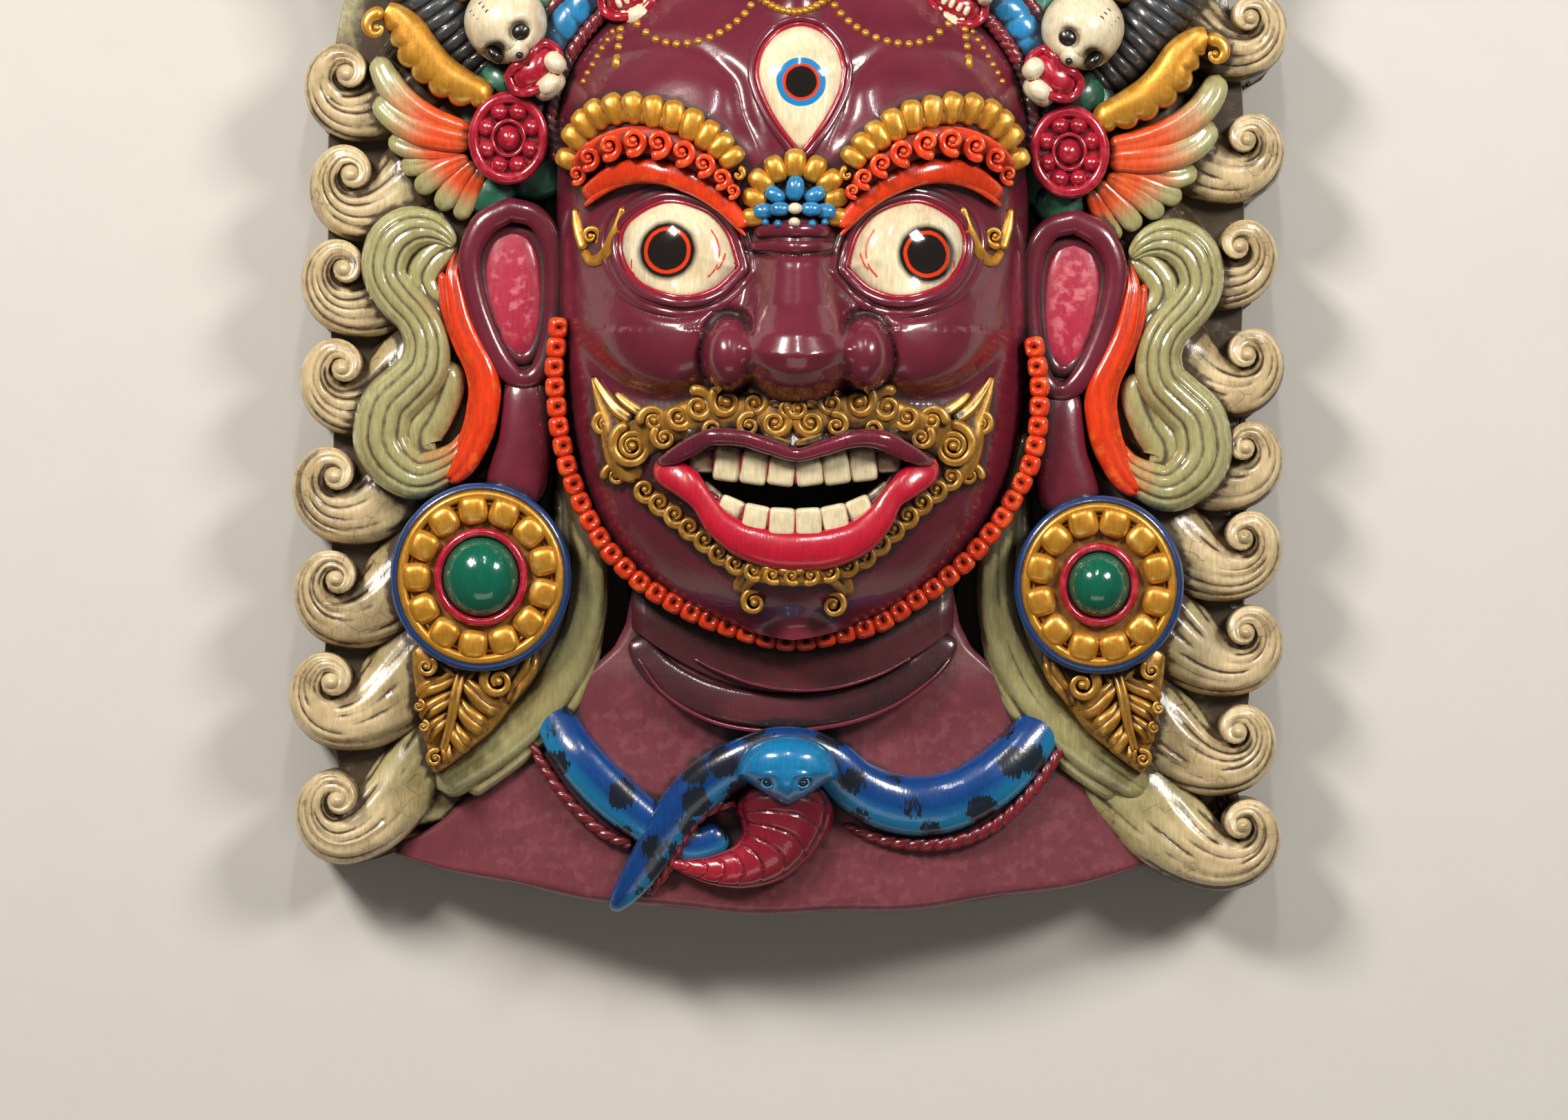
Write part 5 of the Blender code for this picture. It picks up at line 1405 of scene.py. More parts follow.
@dataclass
class Wings:
    """Rosette, gold strip, horn and fan of feathers over each ear."""

    drop: float = 8.0
    left_feathers: tuple[Rows, ...] = (((-209, 64.1, 5.1, 100), (-222.3, 67.2, 6.6, 100),
        (-238.1, 73.3, 7.4, 100), (-253.9, 84.5, 7.6, 99), (-265.6, 99.8, 7.1, 96),
        (-272.7, 115.1, 5.1, 91)), ((-209, 58, 5.1, 101), (-228.4, 61, 7.1, 102),
        (-246.2, 66.6, 7.9, 101), (-262, 76.8, 7.4, 98), (-272.7, 88.1, 5.4, 94)),
        ((-217.2, 52.9, 3.6, 97), (-236.3, 52.6, 5.4, 98), (-251.8, 55.4, 5.9, 96),
        (-264.6, 60.5, 4.6, 92)), ((-214.6, 50.3, 3.1, 97), (-231.4, 46.8, 5.1, 97),
        (-245.7, 43.2, 5.6, 95), (-256.9, 42.2, 4.3, 91)),
        ((-210.8, 47.8, 3.3, 98), (-225.8, 41.2, 5.6, 98), (-237, 33.5, 6.1, 96),
        (-245.2, 24.8, 4.6, 91)), ((-207, 44.7, 3.3, 98), (-217.2, 34.5, 5.6, 97),
        (-224.8, 23.8, 6.1, 95), (-230.4, 13.1, 4.6, 91)), ((-201.9, 41.7, 3.3, 97),
        (-208.5, 28.4, 5.1, 96), (-213.6, 17.2, 5.4, 93), (-217.7, 6.5, 4.1, 89)))
    right_feathers: tuple[Rows, ...] = (((213.8, 54.6, 5.5, 100), (236.3, 58.3, 6.9, 101),
        (256.9, 65.6, 7.8, 100), (273, 76.6, 7.8, 98), (283.1, 89.5, 7.3, 95),
        (288.1, 103.2, 5.5, 90)), ((213.8, 46.4, 5.5, 101), (236.7, 46.8, 7.8, 102),
        (256.9, 50, 8.3, 100), (273.4, 58.3, 7.8, 97), (284.5, 71.1, 6, 92)),
        ((224.8, 39.9, 3.7, 97), (244.1, 37.2, 5.5, 97), (259.7, 35.3, 6, 95),
        (273.4, 39.9, 5, 90)), ((216.6, 38.1, 3.7, 97), (231.7, 32.6, 5.5, 98),
        (247.8, 26.2, 6, 96), (263.4, 20.7, 5, 91)),
        ((212.9, 35.3, 3.7, 98), (226.6, 28, 6, 98), (239.5, 18.8, 6, 96), (249.6, 7.8, 5, 91)),
        ((207.4, 31.7, 3.7, 98), (216.6, 21.6, 5.5, 97), (226.2, 11.5, 6, 95), (234, -0.4, 5, 91)),
        ((202.8, 26.2, 3.2, 97), (207.4, 16.1, 5, 96), (213.8, 5.1, 5.5, 93),
        (221.1, -6.9, 4.1, 89)))
    left_gold: Rows = ((-194.5, 91.3, 6.4, 106), (-206.5, 91.3, 7.8, 108), (-220.2, 96.8, 9.2, 109),
        (-232.2, 105.1, 9.6, 109), (-244.1, 117.9, 10.1, 109), (-252.3, 131.7, 9.2, 108),
        (-259.7, 140.9, 6.9, 107), (-267, 145.5, 5, 106))
    right_gold: Rows = ((203.7, 73.9, 6.4, 106), (216.6, 75.7, 7.8, 108), (231.2, 82.1, 9.2, 109),
        (244.1, 90.4, 9.6, 109), (256, 102.3, 10.1, 109), (264.3, 116.1, 9.2, 108),
        (273.4, 125.3, 6.9, 107), (280.8, 128, 5, 106))
    horn: Rows = ((-196, 104, 12, 88), (-214, 122, 19, 94), (-236, 148, 22, 98),
        (-256, 180, 20, 98), (-268, 214, 16, 96), (-270, 248, 11, 93), (-262, 278, 5, 88))

    def rosette(self, x: float, y: float, turn: float) -> None:
        """Turns a rosette: a rim, eight petals, and a ringed button.

        Args:
            x: Its middle across.
            y: Its middle up.
            turn: Which side, -1 or 1.
        """
        tag = "left" if turn < 0 else "right"
        form = Form(f"rosette_{tag}", Finishes.CRIMSON)
        oval = 1.16
        dish = ((0.3, 40), (24, 40), (26, 98), (25, 106), (21, 106), (0.3, 105))
        form.lathe((x, y), dish, oval, 64)
        form.hoop((x, y), 23.2, 3.6, 107, oval)
        form.hoop((x, y), 10.6, 1.3, 108.5, 1.1)
        form.dome((x, y, 106), (8, 9, 8), rings=12, spokes=24)
        for i in range(8):
            a = 2 * math.pi * (i + 0.5) / 8
            spot = (x + 16.0 * math.cos(a), y + 16.4 * oval * math.sin(a), 106)
            form.dome(spot, (6.0, 6.5, 6.2), a, rings=9, spokes=18)

    def build(self) -> None:
        """Carves both wings."""
        fans = Form("feather_fans", Finishes.FEATHER, 46.0)
        gold = Form("gold_wing_strips", Finishes.GOLD, 46.0)
        horns = Form("horns", Finishes.HORN)
        ground = Form("temple_ground", Finishes.TEAL)
        for sign in (-1, 1):
            for rows in self.left_feathers if sign < 0 else self.right_feathers:
                feather = np.array(rows, float)
                feather[:, 2] *= 1.32
                fans.sweep(feather, 54, 20, 40.0, 0.45, band_cut(2, 1.5))
            strip = np.array(self.left_gold if sign < 0 else self.right_gold, float)
            strip[:, 2] *= 1.45
            gold.sweep(strip, 120, 28, 50.0, 0.5, ends=(True, False), lobes=(7, 4.4, sign))
            eye = (-272.5, 134.4) if sign < 0 else (285.4, 117)
            gold.curl(eye, 13.5, 1 if sign < 0 else -1, 60 if sign < 0 else 120, 109, 1.0, drop=20)
            horn = np.array(self.horn) if sign < 0 else mirrored(self.horn, self.drop)
            horns.sweep(horn, 190, 22, 40.0, 0.8, rope_cut(9.0, 2.4, 0.12))
            x, y = (-184.9, 61) if sign < 0 else (188.6, 51.9)
            self.rosette(x, y, sign)
            ground.lathe((MIDDLE + sign * 176, 70 - (sign > 0) * self.drop),
                [(0.3, 20), (46, 20), (46, 82), (42, 86), (0.3, 87)], 1.1, 64)
            for spot in ((-188.1, 98.2), (-196.8, 25.3),
                (-162, 149.1)) if sign < 0 else ((194.5, 89.5), (183.1, 17), (172.5, 144.5)):
                ground.dome((*spot, 84), (18, 18, 11), rings=10, spokes=24)


@dataclass
class Crown:
    """The serpent band over the forehead, its roped borders, five skulls and leaves."""

    skulls: Rows = ((-191.0, 68.0, 42.0, 1.0, -8.5), (-122.0, 119.0, 26.0, 1.0, -4.0), (0.0, 160.0,
        0.0, 1.08, 0.0), (122.0, 114.0, -26.0, 1.0, 4.0), (193.0, 64.0, -42.0, 1.0, 8.5))
    half_width: float = 157.0
    radius: float = 27.0
    z: float = 104.0

    def band(self, form: Form, offset: float, radius: float, z: float, cut: Optional[Cut]) -> None:
        """Bends a strip round the head at an offset from its outline.

        Args:
            form: The piece it belongs to.
            offset: Distance from the head's outline.
            radius: Half width.
            z: Height of its crest.
            cut: What is carved out of it.
        """
        rows = []
        for a in np.linspace(math.radians(-12), math.radians(192), 90):
            lift = 14.0 * math.sin(max(0.0, min(math.pi, a)))
            reach = self.half_width + offset
            rows.append((MIDDLE + reach * math.cos(a), 70 + (117 + offset) * math.sin(a), radius,
                z + lift - 16))
        form.sweep(rows, 330, 14, 40.0, 0.6, cut)

    def skull(self, dx: float, dy: float, tilt: float, size: float, gaze: float,
            number: int) -> None:
        """Carves one skull: domed head, tilted sockets, red lips and bony jaw.

        Args:
            dx: Its place across, from the head's dome.
            dy: Its place up.
            tilt: Its lean in degrees.
            size: Scale.
            gaze: How far its face is turned aside, in millimetres.
            number: Its number, from the left.
        """
        turn = math.radians(tilt)
        c, s = math.cos(turn), math.sin(turn)
        x, y = MIDDLE + dx, 70 + dy

        def at(u: float, v: float) -> tuple[float, float]:
            """A place on the skull, from its middle and along its axis."""
            return x + size * (c * u - s * v), y + size * (s * u + c * v)

        def dent(p: Array) -> Array:
            """Hollows for the sockets and the nose, and a groove under the brow.

            Args:
                p: Points about its middle.

            Returns:
                Depth in millimetres.
            """
            hollow = 0 * p[..., 0]
            up = p[..., 2] > 0
            for u in (gaze - 11.5, gaze + 11.5):
                hollow += 7 * np.exp(
                    -((((p[..., 0] - u) / 8.0) ** 2 + ((p[..., 1] + 11) / 7.0) ** 2) ** 2))
            hollow += 3 * np.exp(
                -((((p[..., 0] - gaze) / 3.5) ** 2 + ((p[..., 1] + 22) / 4.0) ** 2) ** 2))
            return hollow * up

        bone = Form(f"skull_{number}", Finishes.BONE)
        r = self.radius * size
        bone.dome((x, y, self.z), (r, r * 1.02, 31 * size), turn, 0.94, 44, 60, dent)
        jaw = 0.75 * gaze
        if abs(gaze) < 5:
            for u in (-15, 15):
                bone.dome((*at(jaw + u, -22), self.z + 10), (6 * size, 8 * size, 13), turn,
                    rings=10, spokes=18)
        bone.dome((*at(jaw, -18), self.z + 8), (10 * size, 9 * size, 18), turn, rings=12, spokes=22)
        bone.dome((*at(jaw, -50), self.z + 2), (12 * size, 9 * size, 16), turn, 0.8, 12, 22)
        if abs(gaze) > 5:
            side = 1 if gaze > 0 else -1
            bone.dome((*at(-side * 6.3, -42), self.z + 12), (7.0, 8.4, 10), turn, 0.9, 12, 24)
            bone.dome((*at(side * 6.0, -50), self.z + 10), (9.4, 7.0, 10), turn, 0.9, 12, 24)
        else:
            tooth, root = (2.6 * size, 4.6 * size, 9), (2.6 * size, 4.0 * size, 8)
            for u in (-8, -2.7, 2.7, 8):
                bone.dome((*at(jaw + u, -37), self.z + 9), tooth, turn, 0.7, 8, 12)
                bone.dome((*at(jaw + u, -44.5), self.z + 7), root, turn, 0.7, 8, 12)
        lips = Form(f"skull_lips_{number}", Finishes.CRIMSON)
        mouth = [(-17, -28), (-9, -26), (0, -29), (9, -26), (17, -28), (19, -38), (13, -45),
            (0, -49), (-13, -45), (-19, -38), (-17, -28)]
        rows = [(*at(jaw + u, v), 3.2 * size, self.z + 16 - 5 * (abs(u) > 15)) for u, v in mouth]
        lips.sweep(rows, 60, 10, 70.0, 0.6, wrap=True)
        lips.dome((*at(jaw, -36), self.z + 4), (18 * size, 12 * size, 13), turn, 0.85, 10, 26)
        dark = Form(f"skull_sockets_{number}", Finishes.BLACK)
        for u in (gaze - 11.5, gaze + 11.5):
            wide, level = (4.6, 14) if abs(u) > 15 else (8.8, 19)
            dark.dome((*at(u, -10.5), self.z + level), (wide * size, 7.6 * size, 6.2), turn,
                rings=12, spokes=26)
        dark.dome((*at(gaze * 0.9, -22), self.z + 22), (2.8 * size, 3.4 * size, 4.0), turn, rings=8,
            spokes=14)

        def top(u: float, v: float) -> float:
            """Height of the skull's dome."""
            return self.z + 31.0 * size * math.sqrt(
                max(0.05, 1 - (u * u + v * v) / self.radius**2)) + 0.5

        for k in range(3):
            wave = [(*at(gaze - 6 + 12 * t, 13 + 3.4 * k + 1.3 * math.sin(9 * t)), 0.55,
                top(gaze - 6 + 12 * t, 13 + 3.4 * k)) for t in np.linspace(0, 1, 9)]
            dark.sweep(wave, 30, 6, self.z + 10, 0.6)
        foot = Form(f"skull_seat_{number}", Finishes.TEAL)
        foot.sweep([(*at(0, 6), 25 * size, 90), (*at(0, -46), 14 * size, 92)], 24, 16, 30.0, 0.3)

    def build(self) -> None:
        """Carves the crown."""
        self.band(Form("crown_serpent", Finishes.SKY), 17.0, 12.0, 114.0, rope_cut(15.0, 1.2, 0.25))
        ropes = Form("crown_ropes", Finishes.DARK_RED)
        self.band(ropes, 3.0, 5.0, 118.0, rope_cut(6.0, 1.9))
        self.band(ropes, 31.0, 5.0, 106.0, rope_cut(6.0, 1.9))
        for number, row in enumerate(self.skulls):
            self.skull(*row, number)
        leaves = Form("crown_leaves", Finishes.OLD_GOLD, 46.0)
        for dx, dy, lean in ((-62, 200, 0.35), (0, 225, 0.0), (62, 200, -0.35)):
            for j in np.linspace(-1, 1, 7):
                spread = 28.0 * j
                rows = [(MIDDLE + dx, 70 + dy - 52, 3.0, 84),
                    (MIDDLE + dx + 0.8 * spread, 70 + dy - 20 - 6 * abs(j), 6.0, 94 - 3 * abs(j)),
                    (MIDDLE + dx - 20 * lean + 0.9 * spread, 70 + dy + 18 - 26 * abs(j), 5.0,
                    94 - 6 * abs(j)), (MIDDLE + dx - 36 * lean + 0.55 * spread,
                    70 + dy + 40 - 34 * abs(j), 2.6, 84 - 6 * abs(j))]
                leaves.sweep(rows, 40, 14, 30.0, 0.6, vein_cut())
        for sign in (-1, 1):
            rows = [(MIDDLE + sign * 222, 150, 9, 92), (MIDDLE + sign * 214, 182, 16, 98),
                (MIDDLE + sign * 206, 214, 14, 98), (MIDDLE + sign * 200, 240, 5, 90)]
            leaves.sweep(rows, 60, 22, 40.0, 0.6, rope_cut(7.0, 1.8, 0.5))


@dataclass
class Eyes:
    """Two glaring eyes and the drop-shaped third eye, each with its lids."""

    head: Head
    outline: Rows = ((-31.7, -25.2), (-39.9, -1.8), (-54.1, 12.4), (-79.8, 18.4), (-103.2, 6.4),
        (-109.7, -8.7), (-105.5, -25.2), (-93.6, -37.6), (-70.2, -44.5), (-49.1, -39.9),
        (-31.7, -25.2))
    pupil: tuple[float, float] = (-79.4, -12.8)
    third: Rows = ((38.1, 106.9), (34, 120.7), (23.9, 131.7), (9.6, 136.3), (-4.6, 131.7),
        (-14.7, 120.7), (-18.8, 106.9), (-16.5, 93.2), (-8.3, 75.7), (2.8, 60.1), (9.6, 53.2),
        (16.5, 60.1), (27.5, 75.7), (35.8, 93.2), (38.1, 106.9))
    third_pupil: tuple[float, float] = (10.1, 100.5)
    skins: dict[str, Array] = field(default_factory=dict)

    def ball(self, name: str, outline: Array, crown: float, finish: Any, rim: float) -> None:
        """Carves an eyeball bounded by its lids.

        Args:
            name: The piece's name.
            outline: Edge of the white.
            crown: How far the ball's middle stands over its edge.
            finish: Its paint.
            rim: How far the edge lies under the face around it.
        """
        form = Form(name, finish, 60.0)
        edge = smooth_path(outline, 90)[:-1, :2]
        middle = edge.mean(axis=0)
        level = float(np.mean(self.head.at(edge[:, 0], edge[:, 1])))
        tilt = np.polyfit(edge[:, 0] - middle[0], self.head.at(edge[:, 0], edge[:, 1]), 1)[0] * 0.8
        brim = self.head.at(edge[:, 0], edge[:, 1])
        rings = []
        for share in (1.0, *np.sin(np.linspace(0.5 * math.pi, 0.02, 30))):
            flat = middle + (edge - middle) * share
            lift = crown * math.sqrt(max(0.0, 1 - share**2.2))
            slope = level + tilt * (flat[:, 0] - middle[0])
            z = slope * (1 - share**3) + brim * share**3 - rim + lift
            rings.append(np.column_stack([flat, z]))
        rings[0][:, 2] -= 26.0
        form.loft(np.array(rings))
        self.skins[name] = np.vstack(rings[1:])

    def on(self, name: str, x: float, y: float) -> float:
        """Height of an eyeball at a place on it.

        Args:
            name: The eyeball's name.
            x: Place across.
            y: Place up.

        Returns:
            The height in millimetres.
        """
        skin = self.skins[name]
        away = np.hypot(skin[:, 0] - x, skin[:, 1] - y)
        near = np.argsort(away)[:5]
        share = 1 / (away[near] + 0.2)
        return float((skin[near, 2] * share).sum() / share.sum())

    def lid(self, form: Form, outline: Array, away: float, half: float, lift: float,
            drop: float = 9.0) -> None:
        """Lays a lid or a painted rim along an eye's outline.

        Args:
            form: The piece it belongs to.
            outline: Edge of the white.
            away: How far outside the edge it runs.
            half: Its half width.
            lift: How far its crest stands over the face.
            drop: How deep its foot goes.
        """
        line = smooth_path(outline, 100)[:, :2]
        middle = line[:-1].mean(axis=0)
        run = np.roll(line, -1, axis=0) - np.roll(line, 1, axis=0)
        run[0] = run[-1] = line[1] - line[-2]
        out = np.column_stack([run[:, 1], -run[:, 0]])
        out /= np.linalg.norm(out, axis=1)[:, None] + 1e-9
        sign = np.sign(((line - middle) * out).sum(axis=1).mean())
        line = line + sign * away * out
        z = self.head.at(line[:, 0], line[:, 1]) + lift
        rows = np.column_stack([line, np.full(len(line), half), z])
        form.sweep(rows, 150, 12, float(z.min()) - drop, 0.6, wrap=True)

    def build(self) -> None:
        """Carves all three eyes."""
        lids = Form("eye_lids", Finishes.FACE, 60.0)
        rims = Form("eye_rims", Finishes.CRIMSON, 60.0)
        veins = Form("eye_veins", Finishes.FLAME, 60.0)
        for sign in (-1, 1):
            outline = np.array(self.outline) if sign < 0 else mirrored(self.outline)
            px, py = self.pupil if sign < 0 else (94.1, -15.1)
            # Eye white enamel with painted rings, varnished like glass: a wet, staring eye.
            finish = IrisPaint(f"painted_eye_{'left' if sign < 0 else 'right'}", "EADFBE",
                wash_and_shade="5A3A20", wash_share=0.7, uneven=0.5, uneven_hue="BC9A70", gloss=0.12,
                coat=1.0, coat_gloss=0.03, relief=0.05, centre=(px, py, 196.0),
                rings=((17.2, BLACK), (15.0, FLAME), (12.6, BLACK)))
            self.ball(f"eye_{'left' if sign < 0 else 'right'}", outline, 17.0, finish, 2.5)
            self.lid(rims, outline, 0.4, 1.6, 2.4)
            self.lid(lids, outline, 4.2, 3.0, 3.4)
            self.lid(lids, outline, 11.5, 3.4, 1.0, 12.0)
            name = f"eye_{'left' if sign < 0 else 'right'}"
            for arc in (((-50.4, 0.5), (-45.7, -7.9), (-44.7, -16.2), (-46.8, -24.6),
                (-52.5, -31.9)), ((-102.6, -19.3), (-102.6, -25.6), (-99.4, -31.9)),
                ((-40.5, -15.2), (-42.6, -21.4), (-46.2, -26.6))):
                rows = np.array(arc) if sign < 0 else mirrored(arc)
                rows = [(x, y, 0.75, self.on(name, x, y) + 0.45) for x, y in rows]
                veins.sweep(rows, 40, 8, rows[2][3] - 8, 0.6)
            tear = outline[0]
            rims.dome((tear[0] + sign * 4.5, tear[1] + 1.5, float(self.head.at(*tear)) + 1.0),
                (4.6, 3.4, 3.5), rings=8, spokes=16)
        third = np.array(self.third)
        # The same enamel with a blue outer ring.
        finish = IrisPaint("painted_third_eye", "EADFBE", wash_and_shade="5A3A20", wash_share=0.7, uneven=0.5,
            uneven_hue="BC9A70", gloss=0.14, coat=1.0, coat_gloss=0.03, relief=0.05, centre=(
            *self.third_pupil, 192.0), rings=((15.8, "1F7FBE"), (11.8, FLAME), (9.9, BLACK)))
        self.ball("eye_third", third, 12.0, finish, 2.0)
        self.lid(rims, third, 0.6, 1.5, 2.2)
        self.lid(lids, third, 4.4, 2.6, 2.4)


@dataclass
class Brows:
    """Flaming brows with gilded scallops, the nose-root flower, scrolls and gold dots."""

    head: Head
    lobes: Rows = ((-143.1, 46.4, 6.4), (-138.6, 61, 6.9), (-132.6, 70.2, 6.9), (-124.8, 76.6, 6.9),
        (-113.3, 80.3, 6.9), (-100.5, 80.8, 6.9), (-87.6, 78.5, 6.9), (-74.8, 75.3, 6.9),
        (-62.9, 69.8, 6.9), (-52.3, 62.9, 6.4), (-43.6, 56, 6), (-36.2, 48.2, 5.5))
    curls: Rows = ((-139.5, 37.2, 6.4), (-131.7, 48.2, 7.8), (-117.9, 56, 8.7), (-101.9, 59.7, 9.2),
        (-85.3, 58.3, 9.2), (-69.3, 52.3, 8.7), (-55.1, 44.1, 7.8), (-43.6, 34.9, 6.9),
        (-35.8, 26.2, 5))
    band: Rows = ((-134.9, 23, 3.7), (-127.5, 28.9, 4.6), (-116.5, 35.8, 5.5), (-104.6, 39.9, 6),
        (-91.8, 40.9, 6), (-78.9, 39, 6), (-66.1, 34.4, 6), (-53.2, 27.5, 5.5), (-42.2, 19.3, 5),
        (-33, 10.1, 4.1), (-26.6, 3.2, 2.3))

    def seat(self, rows: Rows, lift: float) -> list[tuple[float, ...]]:
        """Adds the face's height to rows of x, y and half width."""
        return [(x, y, r, float(self.head.at(x, y)) + lift) for x, y, r in rows]

    def build(self) -> None:
        """Carves the brows and the gilding of the forehead."""
        flame = Form("brow_flames", Finishes.FLAME)
        gold = Form("brow_gilding", Finishes.GOLD)
        for sign in (-1, 1):

            def placed(rows: Rows) -> Rows:
                """Rows on this side of the face."""
                return np.array(rows, float) if sign < 0 else mirrored(rows)

            broad = placed(self.band)
            broad[:, 2] *= 1.4
            broad[:, 1] -= 1.5
            flame.sweep(self.seat(broad, 11.0), 90, 24, 120.0, 0.5)
            lace = placed(self.band)
            lace[:, 1] -= 7.6
            lace[:, 2] *= 0.42
            flame.sweep(self.seat(lace, 9.0), 80, 10, 120.0, 0.6)
            under = placed(self.curls)
            under[:, 2] *= 1.05
            flame.sweep(self.seat(under, 7.0), 80, 16, 120.0, 0.3)
            for x, y, r, z in self.seat(placed(self.curls), 0.0):
                flame.curl((x, y), r * 1.12, -sign, -90 + 30 * sign, z + 17.0, 1.35, drop=22,
                    count=48, sides=12, fill=0.92, ease=0.14)
            for x, y, r, z in self.seat(placed(self.lobes), 0.0):
                lean = math.atan2(y - 20.0, x - MIDDLE - sign * 82.0) - math.pi / 2
                gold.dome((x, y, z + 5.0), (r * 1.14, r * 1.7, 6.4), lean, 0.7, 12, 26)
            x, y = placed(((-32.1, 36.7),))[0]
            gold.curl((x, y), 6.4, sign, 90, float(self.head.at(x, y)) + 8.0, 1.0, drop=10)
            base = placed(self.lobes)
            base[:, 1] -= 4.5
            base[:, 2] *= 0.8
            gold.sweep(self.seat(base, 7.0), 90, 12, 120.0, 0.6)
            eye = placed(((-130.3, -4.1),))[0]
            stem = placed(((-108.7, 15.2, 1.8), (-113.8, -2.3, 3.7), (-121.1, -17, 4.1),
                (-129.4, -20.6, 3.7), (-134.9, -13.3, 2.8)))
            gold.sweep(self.seat(stem, 4.0), 50, 14, 110.0, 0.35)
            tail = placed(((-140.9, 14.2, 1.8), (-138.6, 2.3, 3.7), (-134.4, -13.3, 3.7)))
            gold.sweep(self.seat(tail, 4.0), 40, 14, 110.0, 0.35)
            gold.curl(eye, 8.2, -sign, -60, float(self.head.at(*eye)) + 6.0, 1.35, drop=14,
                count=40, ease=0.15)
            swag = ((-103.2, 145), (-99.1, 136.7), (-93.1, 131.2), (-86.7, 126.6), (-79.8, 124.4),
                (-72.9, 123.4), (-65.6, 123.9), (-58.3, 125.3), (-50.9, 127.6), (-44, 130.8),
                (-38.1, 134.4), (-32.6, 138.6), (-27.5, 143.6), (-23.4, 149.1))
            trail = ((-115.2, 131.7), (-118.8, 126.2), (-122.5, 120.7), (-125.7, 115.2),
                (-128.9, 109.7), (-132.1, 104.2), (-134.9, 98.7))
            drops = ((-110.1, 133.1), (-110.6, 127.6), (-111.5, 121.6), (-112.4, 114.3))
            for rows, size in ((swag, 2.9), (trail, 2.3), (drops, 2.9)):
                for x, y in placed(rows)[:, :2]:
                    z = float(self.head.at(x, y))
                    gold.dome((x, y, z - 0.2), (size, size, 2.2), rings=7, spokes=12)
            x, y = placed(((-112.9, 110.6),))[0]
            gold.dome((x, y, float(self.head.at(x, y))), (3.2, 5.4, 2.8), rings=8, spokes=14)
        for u in np.linspace(-1, 1, 13):
            x, y = MIDDLE + 1 + 22 * u, 145.0 + 9 * u * u
            gold.dome((x, y, float(self.head.at(x, y))), (3.0, 3.0, 2.4), rings=7, spokes=12)
        petals = ((-21.1, 8.7, 6), (-20.6, 20.7, 6), (-16.5, 32.1, 6.4), (-6.9, 40.4, 6.4),
            (6, 44.1, 6.9), (19.3, 40.4, 6.4), (28.9, 32.1, 6.4), (32.6, 20.7, 6), (33, 8.7, 6))
        for x, y, r, z in self.seat(petals, 0.0):
            lean = math.atan2(y - 12.0, x - MIDDLE) - math.pi / 2
            gold.dome((x, y, z + 3.5), (r * 1.12, r * 1.5, 6.4), lean, 0.72, 12, 24)
        sky = Form("brow_flower", Finishes.SKY)
        for x, y, r, z in self.seat(((-14.7, 12.4, 5.5), (-7.3, 23, 5.5), (6, 27.5, 6.4),
            (19.3, 23, 5.5), (26.2, 12.4, 5.5), (-4.1, 13.8, 5), (16.5, 13.8, 5)), 0.0):
            lean = math.atan2(y - 14.0, x - MIDDLE) - math.pi / 2
            sky.dome((x, y, z + 6.5), (r * 1.0, r * 1.4, 6.0), lean, 0.85, 10, 20)
        for x, y, r, z in self.seat(
            ((-13.8, 5.1, 2.8), (-5.5, 4.1, 2.8), (17.4, 4.1, 2.8), (25.7, 5.1, 2.8)), 0.0):
            sky.dome((x, y, z + 6.0), (r, r, 3.5), rings=8, spokes=14)
        pearl = Form("brow_pearl", Finishes.BONE)
        for x, y, r, z in self.seat(((6, 14.2, 5), (5.5, 5.1, 4.1)), 0.0):
            pearl.dome((x, y, z + 7.0), (r, r * 0.8, 5.0), rings=10, spokes=20)
        root = Form("nose_root", Finishes.FACE, 60.0)
        for rows, lift in ((((-22, -1.4, 3.7), (-10.1, -0.4, 4.6), (4.6, 0, 5), (19.3, -0.4, 4.6),
            (30.3, -1.4, 3.7)), 5.5), (((-24.8, -10.5, 3.2), (-11, -11, 3.7), (4.6, -11.5, 4.1),
            (20.2, -11, 3.7), (33, -10.5, 3.2)), 3.5)):
            root.sweep(self.seat(rows, lift), 50, 14, 150.0, 0.6)


